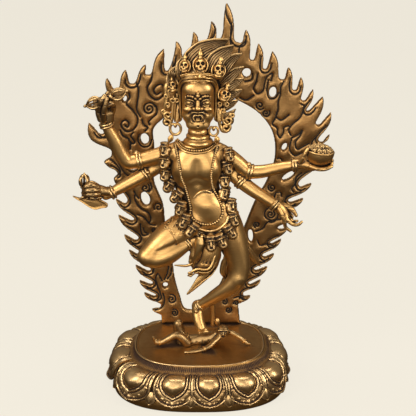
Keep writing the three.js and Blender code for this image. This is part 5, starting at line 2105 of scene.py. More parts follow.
@dataclass
class Garland:
    """The long garland of severed heads on a cord.

    Heads are (column, row, depth in mm, lean in degrees, size), with their tops up along the cord.
    """

    heads: tuple = (
        (164.6, 149.8, -6.4, 4, 0.96), (164.4, 162.0, -5.6, 0, 1.0), (165.4, 174.0, -4.8, -6, 1.0),
        (169.0, 185.4, -5.6, -24, 1.0), (176.4, 196.2, -9.0, -38, 1.0), (180.4, 208.6, -12.6, -12, 1.02),
        (184.0, 221.4, -15.6, -18, 1.05), (191.6, 230.6, -17.6, -40, 1.05), (210.8, 243.8, -18.6, 2, 1.05),
        (221.6, 241.4, -17.4, 22, 1.05), (230.6, 231.8, -14.6, 30, 1.05), (234.0, 219.2, -10.4, 8, 1.02),
        (231.2, 206.0, -8.0, -12, 1.0), (224.4, 193.2, -7.0, -26, 1.0), (224.6, 180.6, -6.2, -4, 1.0),
        (227.6, 168.0, -6.0, 12, 0.98), (229.2, 155.0, -6.4, 6, 0.96),
    )

    def template(self) -> Shell:
        """One small head that faces -Y, with tied hair, a brow, closed eyes, a nose and a mouth."""
        clay = Clay((-5, -5.4, -6), (5, 5, 7), 0.46)
        clay.limb([[0, 0.2, 1.9, 3.4], [0, -0.2, -2.0, 3.0]], 1, (1, 0.94, 0.9))
        clay.ball((0, -1.0, -3.2), (2.5, 2.4, 2.0), 1)
        clay.ball((0, 0.4, 4.6), (3.2, 3.0, 1.1), 0.3)
        clay.line([[-3.2, -1.4, 3.7], [0, -3.2, 3.7], [3.2, -1.4, 3.7]], 0.4, -0.8)
        clay.limb([[-2.8, -1.8, 2.0, 0.5], [0, -3.5, 2.6, 0.6], [2.8, -1.8, 2.0, 0.5]], 0.3)
        clay.limb([[0, -3.3, 1.4, 0.5], [0, -4.0, -0.8, 0.8]], 0.3)
        for side in (-1, 1):
            clay.ball((1.45 * side, -3.5, 0.9), (0.95, 0.8, 0.6), 0.2, carve=True)
            clay.ball((1.45 * side, -2.9, 0.7), (0.7, 0.6, 0.35), 0.1)
            clay.ball((3.3 * side, 0.2, 0), (0.7, 1, 1.5), 0.4)
        clay.ball((0, -3.4, -2.4), (1.3, 0.8, 0.45), 0.2, carve=True)
        for i in range(5):
            clay.line([[-2.4 + 1.2 * i, -2.6, 3.4], [-1.8 + 0.9 * i, -1.6, 5.2]], 0.35, -0.5)
        return clay.skin("garland_head", Finish.DARKER, 1)

    def shells(self) -> list[Shell]:
        """Builds the heads, the cord and the small beads between them."""
        centres = np.array(read_off([head[:3] for head in self.heads]))
        leans = [
            turned_axes((-12, -lean, np.clip((centre[0] - 4) * 0.9, -20, 20)))
            for (_, _, _, lean, _), centre in zip(self.heads, centres)
        ]
        sizes = np.array([head[4] for head in self.heads])
        axes = np.stack(leans) * sizes[:, None, None] * np.array([1.2, 1.1, 1.14])
        made = [stamped("heads", self.template(), centres, axes)]
        first = np.array(read_off([(166.6, 143.6, -4.0)]))
        last = np.array(read_off([(227.6, 147.6, -4.0)]))
        cord = smooth_path(np.vstack([first, centres + np.array([0, 1.6, 0]), last]), 220)
        made.append(rod("cord", Finish.JEWEL, cord, 1.15, 8))
        between = (centres[:-1] + centres[1:]) / 2 + np.array([0, -0.4, 0])
        between = between[np.linalg.norm(np.diff(centres, axis=0), axis=1) < 16]
        rows = np.concatenate(
            [between + np.array([dx, 0, dz]) for dx, dz in ((-0.9, 0.6), (0.9, 0.4), (0, -0.9))]
        )
        made.append(
            stamped(
                "beads", bead_template(Finish.JEWEL), rows,
                np.repeat(1.05 * np.eye(3)[None], len(rows), axis=0),
            )
        )
        return [joined("garland", made)]


@dataclass
class Cloth:
    """The folded skirt in front, with its rolled hem, its pointed tail and the end that flies to the left.

    Rows are (column, row, Y in mm, any radius in mm), as seen in the photograph.
    """

    step: float = 0.5
    folds: tuple = (
        (
            (
                (212, 240, -9.0, 8.4), (210, 250, -10.4, 8.6), (207.6, 259, -11.4, 8.2),
                (203.0, 265.6, -12.0, 6.2), (197.0, 269.4, -12.0, 3.2),
            ),
            3, (1, 0.72, 1),
        ),
        (
            (
                (214, 256, -8.6, 5.4), (211, 266, -8.6, 5.0), (204.4, 275, -10.0, 4.2),
                (197.6, 283, -11.2, 2.9), (191.4, 290, -11.8, 1.6), (187.4, 294, -12.0, 0.8),
            ),
            2, (1, 0.5, 1),
        ),
        (((199.6, 250, -11.0, 4.2), (196.8, 259, -12.0, 3.2), (193.2, 264.4, -12.6, 1.9)), 2, (1, 0.7, 1)),
    )
    edges: tuple = (
        (
            (
                (215.0, 251.4, -14.6), (214.4, 257.6, -15.6), (212.4, 264.0, -16.4), (208.6, 269.0, -17.2),
                (203.6, 269.8, -17.4), (198.8, 269.0, -17.2), (194.0, 270.6, -17.0), (190.2, 273.6, -16.8),
                (188.0, 276.0, -16.4),
            ),
            80, 1.15, 0.8,
        ),
        (
            (
                (217.2, 254.0, -13.0), (216.6, 260.0, -14.2), (214.0, 266.6, -15.0), (209.2, 271.8, -15.8),
                (203.4, 272.8, -16.0), (198.0, 272.0, -16.0), (193.6, 274.2, -15.8), (190.6, 277.0, -15.6),
            ),
            70, 0.7, 1.0,
        ),
        (
            ((198.6, 250, -14.4), (197.2, 256, -15.2), (194.2, 261.0, -15.8), (190.6, 263.4, -15.8)),
            40, 0.6, 1.0,
        ),
        (
            (
                (216.6, 268.0, -11.0), (211.0, 275.4, -12.4), (203.0, 281.4, -13.0), (197.0, 286.4, -13.2),
                (189.6, 292.6, -12.6),
            ),
            50, 0.5, 1.0,
        ),
    )
    flick: tuple = (
        (201.0, 252.0, -15.4), (198.6, 257.6, -16.2), (195.0, 262.0, -16.4), (190.6, 264.6, -16.2),
        (185.6, 265.8, -15.8), (180.0, 265.6, -15.2), (174.4, 265.2, -14.6),
    )
    sole: tuple = (
        (199.4, 237.0, -19.4), (198.8, 244.0, -19.8), (197.0, 252.0, -19.6), (194.6, 259.0, -18.6),
        (193.2, 264.6, -17.6),
    )
    scarf_ends: tuple = (
        (
            ((229.6, 253.0, 3.0), (225.6, 262.0, 3.0), (224.2, 272.0, 3.4), (227.4, 281.0, 4.0)),
            (1.2, 3.4, 3.6, 0.4),
        ),
        (
            ((243.4, 240.0, 2.0), (248.0, 249.0, 3.0), (253.6, 257.6, 6.0), (260.4, 266.4, 10.0)),
            (1.0, 2.8, 2.6, 0.3),
        ),
    )
    creases: tuple = (
        ((222, 236, -8.6), (225.4, 243, -8.4), (226.0, 251, -7.6), (224.0, 258, -6.6)),
        ((217.6, 244, -12.0), (218.4, 251, -12.4), (217.6, 257, -12.4)),
    )

    def block(self) -> Shell:
        """Models the folds."""
        clay = Clay((-24, -24, 74), (32, 6, 150), self.step)
        for rows, melt, stretch in self.folds:
            clay.limb(read_off(rows), melt, stretch)
        for i in range(7):
            top, low = 203.6 + 2.5 * i, 190.6 + 3.9 * i
            path = read_off(
                [(top, 243, -22), (top - 0.5, 250, -22), (top - 3.4, 258, -22), (low, 266.4, -22)]
            )
            rows = np.array(path)
            rows[:, 1] = (-14.6, -16.4, -17.6, -16.8)
            clay.line(rows.tolist(), 0.85, -1.5)
        return clay.skin("skirt", Finish.BODY, 3)

    def shells(self) -> list[Shell]:
        """Builds the skirt and its edges."""
        edges = [(smooth_path(read_off(rows), count), size, flat) for rows, count, size, flat in self.edges]
        scroll = SIGHT.at_depth(spiral((190.2, 274.6), 2.4, 1.4, 200, 0.4), -16.6)
        edges.insert(2, (smooth_path(scroll, 30), 0.8, 1.0))
        flick = smooth_path(read_off(self.flick), 60)
        sole = smooth_path(read_off(self.sole), 40)
        made = []
        for path, size, flat in edges:
            thick = size * np.interp(np.linspace(0, 1, len(path)), (0, 0.12, 0.85, 1), (0.5, 1, 1, 0.6))
            made.append(rod("hem", Finish.BODY, path, thick, 10, flat))
        thick = np.interp(np.linspace(0, 1, len(flick)), (0, 0.3, 0.8, 1), (0.9, 1.35, 0.95, 0.45))
        made.append(rod("flick", Finish.BODY, flick, thick, 12, 0.8))
        made.append(
            swept_leaf(
                "foot_sole", Finish.BODY, sole, (3.2, 4.6, 3.6, 2.4, 1.5, 0.4), 3.0, 1, (-0.6, -1, 0.8)
            )
        )
        for rows, widths in self.scarf_ends:
            path = smooth_path(read_off(rows), 40)
            made.append(swept_leaf("scarf_end", Finish.BODY, path, widths, 2.4, 3))
        for rows in self.creases:
            path = smooth_path(read_off(rows), 30)
            made.append(rod("fold", Finish.BODY, path, 0.7, 8))
        return [self.block(), joined("cloth_edges", made)]


@dataclass
class LotusBase:
    """The oval base: a platform with a fine rim, a ribbed band, a ring of cupped petals and a plain foot.

    The oval has half-widths a along X and b(a) along Y, with |x / a|^power + |y / b|^power = 1.
    """

    power: float = 2.6
    rim: tuple[float, float] = (52.4, 41.1)
    widest: tuple[float, float] = (73.3, 59.25)
    places: tuple[float, ...] = (
        0, 0.083, 0.159, 0.231, 0.298, 0.384, 0.484, 0.57, 0.658, 0.746, 0.832, 0.917
    )
    flares: tuple[float, ...] = (0, 0, 0, 0, 0, 0.5, 1.3, 1.0, 0.3, 0, 0, 0)
    ribs: int = 216
    foot: float = 68.6

    def depth(self, wide: np.ndarray) -> np.ndarray:
        """The half-depth that goes with a half-width."""
        slope = (self.widest[1] - self.rim[1]) / (self.widest[0] - self.rim[0])
        return np.where(
            wide < self.rim[0], wide * self.rim[1] / self.rim[0], self.rim[1] + (wide - self.rim[0]) * slope
        )

    def oval(self, wide: np.ndarray, turn: np.ndarray, z: np.ndarray) -> np.ndarray:
        """Places on the ovals of some half-widths, at an angle and a height."""
        c, s = np.cos(turn), np.sin(turn)
        x = wide * np.sign(c) * np.abs(c) ** (2 / self.power)
        y = self.depth(wide) * np.sign(s) * np.abs(s) ** (2 / self.power)
        return np.stack(np.broadcast_arrays(x, y, z), axis=-1)

    def __post_init__(self) -> None:
        """Measures the widest edge, so that places can be given as a share of the way round it."""
        self.turns = np.linspace(0, 2 * math.pi, 4001)
        edge = self.oval(np.full(4001, self.widest[0]), self.turns, np.zeros(4001))
        self.reach = np.concatenate([[0], np.cumsum(np.linalg.norm(np.diff(edge, axis=0), axis=1))])

    def angle(self, share: np.ndarray) -> np.ndarray:
        """The oval's angle at a share of the way round the widest edge, clockwise from +X."""
        return -np.interp(np.mod(share, 1) * self.reach[-1], self.reach, self.turns)

    def platform_shell(self) -> Shell:
        """The core: the platform and its rim, the ribbed band, the wall behind the petals and the foot."""
        rows = [
            (6, 31.4, 0), (18, 31.4, 0), (30, 31.4, 0), (40, 31.4, 0), (46, 31.4, 0), (49.4, 31.4, 0),
            (50.0, 31.42, 0), (50.3, 31.7, 0), (50.6, 31.95, 0), (51.0, 32.0, 0), (51.35, 31.85, 0),
            (51.5, 31.4, 0), (51.5, 31.0, 0.2), (51.7, 30.8, 1), (52.0, 30.2, 1), (52.4, 29.5, 1),
            (52.8, 28.8, 1), (53.3, 28.2, 1), (54.0, 27.7, 0.8), (54.8, 27.3, 0.3), (55.8, 26.9, 0),
            (57.6, 26.0, 0), (62.5, 23.2, 0), (65.5, 19, 0), (67, 14, 0), (67.2, 10, 0), (67.6, 8.4, 0),
            (68.2, 7.2, 0), (68.4, 4, 0), (68.6, 1.2, 0), (68.5, 0.3, 0), (68, 0, 0), (50, 0, 0), (20, 0, 0),
        ]
        wide, height, ribbed = np.asarray(rows, float).T[:, :, None]
        columns = self.ribs * 4
        place = np.arange(columns) / columns
        rib = np.abs(np.sin(math.pi * np.arange(columns) / 4 + 0.01)) ** 0.8
        points = self.oval(wide + 0.42 * ribbed * rib, self.angle(place), height + 0.2 * ribbed * rib)
        wave = 0.1 * np.sin(points[..., 0] / 9) * np.sin(points[..., 1] / 7 + 1)
        on_top = (wide < 49) & (height > 20)
        points[..., 2] += np.where(on_top, wave, 0)
        points[..., 0] += 1.6 * fade(-wide, -62, -53) * (height > 20)
        shelf = 0.6 * ((wide > 53.2) & (wide < 60) & (height > 20))
        sunk = np.maximum(np.where(on_top, 0.3, 0) + ribbed * (0.95 - 0.3 * rib), shelf)
        quads = sheet_faces(len(rows), columns, False, True)
        top, low = len(rows) * columns, len(rows) * columns + 1
        every = np.vstack([points.reshape(-1, 3), [[0, 0, 31.4], [0, 0, 0]]])
        here = np.arange(columns)
        after = (here + 1) % columns
        last = (len(rows) - 1) * columns
        tris = np.vstack([
            np.stack([after, here, np.full(columns, top)], axis=1),
            np.stack([last + here, last + after, np.full(columns, low)], axis=1),
        ])
        dark = np.concatenate([sunk.ravel(), [0.3, 0]])
        return righted(Shell("lotus_base_core", every, quads, Finish.PLATFORM, tris, ink=dark))

    length: float = 28.0
    half: float = 15.0
    drop_half: float = 9.0
    drop_length: float = 0.77
    curls: tuple[tuple[float, ...], ...] = (
        (12.4, 14.0, 0.9, 0.9), (8.0, 23.4, 0.9, 0.8), (5.0, 19.4, 0.8, 0.7)
    )
    knobs: tuple[tuple[float, float], ...] = (
        (12.7, 16.8), (6.0, 24.6), (4.0, 25.3), (3.4, 20.6), (6.6, 18.2)
    )

    def half_width(self, share: np.ndarray) -> np.ndarray:
        """Half-width in mm of a petal along its length: straight sides, a round end, a small point."""
        rows = (
            (0, 0.8), (0.15, 0.86), (0.35, 0.95), (0.52, 1.0), (0.66, 1.0), (0.76, 0.96), (0.84, 0.86),
            (0.9, 0.71), (0.94, 0.54), (0.97, 0.32), (0.985, 0.14), (1, 0.04),
        )
        places, widths = np.asarray(rows).T
        return self.half * np.interp(share, places, widths)

    def drop_width(self, share: np.ndarray) -> np.ndarray:
        """Half-width in mm of the teardrop at a share of its own length."""
        rows = (
            (0, 0.74), (0.15, 0.8), (0.35, 0.92), (0.52, 1.0), (0.64, 0.99), (0.75, 0.87), (0.84, 0.66),
            (0.91, 0.42), (0.96, 0.2), (1, 0),
        )
        places, widths = np.asarray(rows).T
        return self.drop_half * np.interp(share, places, widths)

    def petal_pattern(self, across: np.ndarray, down: np.ndarray) -> tuple[np.ndarray, np.ndarray]:
        """The relief on a petal in mm: a double rim, a bulging teardrop with a double outline, small curls.

        Args:
            across: mm from the petal's middle line.
            down: mm from its upper end.

        Returns:
            How far the surface stands out, and the patina in its grooves.
        """
        across, down = np.broadcast_arrays(across, down)
        here = np.stack([across, down], axis=-1)

        def off(line: np.ndarray) -> np.ndarray:
            """Distances to a drawn line."""
            return np.sqrt(((here[..., None, :] - line) ** 2).sum(-1)).min(-1)

        share = np.linspace(0, 1, 160)
        edge = np.stack([self.half_width(share), share * self.length], axis=1)
        rim = off(np.vstack([edge, edge * (-1, 1)]))
        own = self.drop_length * self.length
        drop = np.stack([self.drop_width(share), share * own], axis=1)
        outline = off(np.vstack([drop, drop * (-1, 1)]))
        drop_down = np.clip(down / own, 0, 1)
        within = (np.abs(across) < self.drop_width(drop_down)) & (down < own)
        depth = np.where(within, outline, -outline)
        ink = np.zeros_like(rim)

        def wall(gap: np.ndarray, place: float, width: float, height: float) -> np.ndarray:
            """A ridge, or a groove that holds patina, at a distance from a drawn line."""
            near = np.exp(-(((gap - place) / width) ** 2))
            if height < 0:
                ink[:] = np.maximum(ink, near)
            return height * near

        upper = fade(-down, -15, -11)
        relief = wall(rim, 0.65, 0.55, 1.35) + wall(rim, 1.55, 0.34, -0.5) + upper * wall(
            rim, 2.5, 0.4, 0.75
        )
        relief += upper * wall(rim, 3.4, 0.3, -0.35) + wall(depth, -0.9, 0.5, 1.2) + wall(
            depth, 0.15, 0.42, -0.6
        )
        relief += wall(depth, -1.95, 0.36, -0.5)
        bulge = 1 - (1 - np.clip((depth - 0.3) / 6.6, 0, 1)) ** 2
        relief += np.where(depth > 0.3, 2.5 * bulge * (0.3 + 0.7 * fade(down, 3, 15)), 0)
        relief += 0.5 * fade(-depth, 2.2, 4.6) * fade(rim, 1.8, 4.2)
        relief += 1.0 * np.exp(-(np.hypot(across / 1.5, (down - 25.2) / 1.7) ** 2))
        for x, y in self.knobs:
            relief += 0.9 * np.exp(-(np.hypot(np.abs(across) - x, down - y) / 0.62) ** 2)
        for x, y, size, height in self.curls:
            for mirror in (-1, 1):
                gap = np.hypot(across - mirror * x, down - y)
                relief += height * np.exp(-(((gap - size) / 0.3) ** 2)) * (gap < 1.6 * size)
                relief += height * np.exp(-((gap / 0.4) ** 2))
                ink[:] = np.maximum(ink, 0.8 * np.exp(-(((gap - 0.5 * size) / 0.2) ** 2)))
        return relief, ink

    def petal(self, place: float, room: float, flare: float) -> Shell:
        """One large petal: a cupped leaf from under the band down to a tip that turns up.

        Args:
            place: where its middle comes, as a share of the way round.
            room: how many times its usual width it is wide.
            flare: how far its end reaches out beyond the others, in mm.

        Returns:
            The closed petal.
        """
        rows, columns = 68, 57
        v = np.linspace(0, 1, rows)[:, None]
        u = np.linspace(-1, 1, columns)[None, :]
        across = u * self.half_width(v)
        down = v * self.length
        profile = smooth_path(
            [
                [54.6, 0, 27.4], [59.6, 0, 27.9], [65.4, 0, 26.2], [69.3, 0, 21.4], [70.9, 0, 16.4],
                [71.4, 0, 11.8], [71.8, 0, 8.2], [72.9, 0, 5.6],
            ],
            rows,
        )
        out = unit(np.gradient(profile, axis=0))
        wide, height = profile[:, :1], profile[:, 2:]
        lift_x, lift_z = -out[:, 2:], out[:, :1]
        body = 0.3 * (1 - u**2) * fade(v, -0.05, 0.35) - 1.8 - 0.4 * fade(np.abs(u), 0.96, 1.0)
        relief, sunk = self.petal_pattern(across, down)
        stand = np.minimum(body + relief + 1.4 * fade(v, 0.86, 1.0) * (1 - np.abs(u) ** 2), 1.9)
        turn = self.angle(place + room * across / (self.reach[-1] * (0.8 + 0.2 * fade(v, -0.1, 0.6))))
        out = np.minimum(wide + stand * lift_x, self.widest[0] - 0.05) + flare * fade(v, 0.1, 0.8)
        front = self.oval(out, turn, height + stand * lift_z)
        thick = 1.5 - 0.9 * fade(v, 0.6, 1)
        back = self.oval(
            wide + (body - thick) * lift_x + flare * fade(v, 0.1, 0.8), turn,
            height + (body - thick) * lift_z,
        )
        return self.leaf(front, back, sunk)

    def leaf(self, front: np.ndarray, back: np.ndarray, ink: np.ndarray | None = None) -> Shell:
        """Closes a front and a back sheet into one leaf, with the patina that is given for the front."""
        rows, columns = front.shape[:2]
        sheet = sheet_faces(rows, columns)
        number = np.arange(rows * columns).reshape(rows, columns)
        loop = np.concatenate([number[0], number[1:, -1], number[-1, -2::-1], number[-2:0:-1, 0]])
        after = np.roll(loop, -1)
        total = rows * columns
        walls = np.stack([loop, after, after + total, loop + total], axis=1)
        points = np.vstack([front.reshape(-1, 3), back.reshape(-1, 3)])
        quads = np.vstack([sheet, sheet[:, ::-1] + total, walls])
        dark = np.zeros(len(points))
        if ink is not None:
            dark[: front.shape[0] * front.shape[1]] = ink.ravel()
        return righted(Shell("leaf", points, quads, Finish.BASE, ink=dark))

    def small_leaf(self, place: float) -> Shell:
        """One small pointed leaf that shows between two large petals."""
        rows, columns = 24, 17
        v = np.linspace(0, 1, rows)[:, None]
        u = np.linspace(-1, 1, columns)[None, :]
        width = 4.6 * np.sqrt(np.clip(1 - ((v - 0.42) / 0.585) ** 2, 0.0004, 1))
        across = u * width
        rim = (1 - np.abs(u)) * width
        wide = 68.2 + 2.4 * v + 0 * u
        height = 15.6 - 10.4 * v + 0 * u
        relief = 1.7 * (1 - u**2) * np.sin(math.pi * np.clip(v, 0.02, 0.98)) ** 0.6 + 0.5 * np.exp(
            -(((rim - 0.6) / 0.4) ** 2)
        )
        relief += 0.7 * np.exp(-((across / 0.5) ** 2)) * fade(v, 0.5, 0.9)
        turn = self.angle(place + across / self.reach[-1])
        front = self.oval(wide + relief, turn, height + 0.3 * relief)
        back = self.oval(wide - 1.4, turn, height)
        return self.leaf(front, back)

    def fine_rim(self) -> Shell:
        """The thin bright bead that edges the platform."""
        path = self.oval(np.full(480, 50.8), self.angle(np.arange(480) / 480), np.full(480, 31.55))
        return rod("platform_rim", Finish.BASE, path, 0.62, 8, 1.0, (0, 0, 1), closed=True)

    def shells(self) -> list[Shell]:
        """Builds the core, the large petals and the small leaves."""
        following = self.places[1:] + (1.0,)
        gaps = np.diff(self.places + (1.0,)) * self.reach[-1]
        rooms = np.clip(0.5 * (gaps + np.roll(gaps, 1)) / (2 * self.half) * 0.97, 0.97, 1.25)
        large = [self.petal(*row) for row in zip(self.places, rooms, self.flares)]
        small = [self.small_leaf((place + after) / 2) for place, after in zip(self.places, following)]
        return [
            self.platform_shell(),
            self.fine_rim(),
            joined("lotus_petals", large),
            joined("lotus_leaves_between", small),
        ]


@dataclass
class TrampledFigure:
    """The figure that lies face down on the platform, with its head to the viewer's right.

    Rows are (column, row, Y in mm, radius in mm), as seen in the photograph.
    """

    step: float = 0.42
    trunk: tuple = (
        (183, 343, -1.0, 5.0), (190, 341, -0.6, 5.0), (199, 340, -0.4, 5.0), (209, 338, -0.2, 5.4),
        (216, 336, 0, 4.2),
    )
    neck: tuple = ((214, 336, -1, 3.4), (220, 334, -1, 3.0))
    limbs: tuple = (
        (
            (187, 343, -5.4, 4.0), (182, 338, -6.4, 3.6), (176.4, 335.2, -7.0, 3.0), (169, 338.6, -7.4, 2.7),
            (160.6, 342.4, -7.6, 2.2), (156.6, 342.2, -7.6, 2.0),
        ),
        ((157.2, 342.4, -7.6, 2.0), (155.4, 340.6, -7.6, 1.7), (153.4, 337.8, -7.6, 1.1)),
        ((186, 338, 3.0, 3.8), (181, 331.6, 4.6, 3.6), (178.8, 326.0, 5.4, 3.7), (178.6, 323.6, 5.6, 3.5)),
        ((177.6, 324, 5.8, 3.4), (176.8, 331, 5.4, 2.8), (176.6, 336, 4.6, 2.2)),
        (
            (219.6, 336.4, -5.4, 2.6), (214.4, 341.6, -9.4, 2.3), (209.8, 346.0, -12.8, 2.0),
            (203.4, 349.6, -15.6, 1.8), (194.6, 351.6, -17.4, 1.6), (188.6, 352.6, -18.2, 1.4),
        ),
        (
            (223.4, 333.4, 1.6, 2.4), (231.4, 332.6, -1.0, 2.1), (237.6, 335.6, -3.2, 1.9),
            (243.0, 339.8, -4.8, 1.6), (247.4, 343.4, -6.0, 1.3),
        ),
    )
    ribs: tuple = (
        ((196, 334.6), (197.4, 345)), ((202, 333.8), (203.4, 344.4)), ((208, 333.0), (209.4, 343.4))
    )
    bracelets: tuple = (
        (((205.4, 348.6, -14.8), (203.0, 349.8, -15.8)), 1.9),
        (((160.8, 342.2, -7.6), (158.6, 342.4, -7.6)), 2.3),
        (((243.6, 340.4, -5.0), (245.0, 341.6, -5.4)), 1.8),
    )
    cloth_edges: tuple = (
        ((186, 334.6, -3.0), (184.4, 340, -7.6), (184.6, 347, -5.0)),
        ((188.4, 334.4, -3.0), (187.0, 340, -7.6), (187.2, 347, -5.0)),
    )

    def block(self) -> Clay:
        """Models the figure and gives the clay."""
        clay = Clay((-41, -26, 31.4), (44, 12, 54), self.step)
        clay.limb(read_off(self.trunk), 3)
        clay.limb(read_off(self.neck), 2)
        for rows in self.limbs:
            clay.limb(read_off(rows), 1.2, count=20)
        self._hands(clay)
        self._head(clay)
        for (u0, v0), (u1, v1) in self.ribs:
            path = read_off([(u0, v0, -3.4), ((u0 + u1) / 2 - 0.6, (v0 + v1) / 2, -5.4), (u1, v1, -4.0)])
            clay.line(path, 0.7, -0.45)
        return clay.below(31.8)

    def _hands(self, clay: Clay) -> None:
        """Adds the fingers of both hands, spread flat, and the toes."""
        for i, spread in enumerate((-1.6, -0.5, 0.6, 1.6)):
            clay.limb(
                read_off(
                    [
                        (189, 352.6, -18.2, 0.8),
                        (184.6 + 0.4 * abs(spread), 353.2 + spread, -18.6 - 0.4 * i, 0.6),
                    ]
                ),
                0.2,
            )
            clay.limb(
                read_off([(247, 343.2, -6.0, 0.8), (250.4 - 0.4 * abs(spread), 345.0 - spread, -6.4, 0.55)]),
                0.2,
            )
            clay.limb(
                read_off([(154.6, 340.2, -7.6 + spread * 0.8, 0.8), (152.8, 336.8, -7.6 + spread, 0.6)]), 0.2
            )

    def _head(self, clay: Clay) -> None:
        """Adds the head, lifted and turned to the viewer, with its face and its cap of hair."""
        x, y, z = read_off([(223.0, 331.0, -3.4)])[0]
        clay.ball((x, y + 0.6, z), (4.5, 4.3, 4.8), 1)
        clay.ball((x + 0.2, y - 1.4, z - 1.6), (3.4, 3.2, 3.4), 1)
        clay.limb([[x - 3.4, y + 2.4, z - 2.6, 2.8], [x - 0.4, y + 1, z - 1, 3.2]], 1.5)
        for side in (-1, 1):
            clay.ball((x + 0.2 + 1.5 * side, y - 4.4, z - 0.1), (0.95, 0.8, 0.75), 0.2, carve=True)
            clay.ball((x + 0.2 + 1.5 * side, y - 3.9, z - 0.1), (0.62, 0.7, 0.5), 0.1)
            clay.line([[x + 0.4 * side, y - 4.4, z + 1.1], [x + 2.6 * side, y - 3.8, z + 1.2]], 0.5, 0.5)
            clay.ball((x + 4.2 * side, y + 0.2, z - 0.4), (0.8, 1.2, 1.5), 0.4)
        clay.limb([[x + 0.2, y - 4.2, z + 0.8, 0.5], [x + 0.2, y - 5.0, z - 1.2, 0.8]], 0.5)
        clay.ball((x + 0.2, y - 4.3, z - 2.9), (1.4, 0.8, 0.6), 0.2, carve=True)
        for i in range(7):
            lean = -3.6 + 1.2 * i
            clay.line(
                [
                    [x + lean * 0.75, y - 3.2, z + 3.2], [x + lean, y + 0.6, z + 4.4],
                    [x + lean * 0.8, y + 4.2, z + 1.6],
                ],
                0.45, -0.45,
            )
        clay.limb(
            [
                [x - 3.6, y - 3.0, z + 2.0, 0.6], [x, y - 4.2, z + 2.7, 0.65],
                [x + 3.8, y - 2.8, z + 2.0, 0.6],
            ],
            0.3,
        )

    def shells(self) -> list[Shell]:
        """Builds the figure, its bracelets and its loincloth."""
        body = self.block().skin("fallen_figure", Finish.DARKER, 3)
        made = []
        for rows, radius in self.bracelets:
            a, b = np.array(read_off(rows))
            made.append(
                band(
                    "bracelet", Finish.BODY, (a + b) / 2, b - a, (radius, radius), ridges(1.6, 0.5, 2, 3),
                    steps=24,
                )
            )
        for rows in self.cloth_edges:
            path = smooth_path(read_off(rows), 20)
            made.append(rod("cloth_edge", Finish.BODY, path, 0.55, 8))
        return [body, joined("fallen_ornaments", made)]


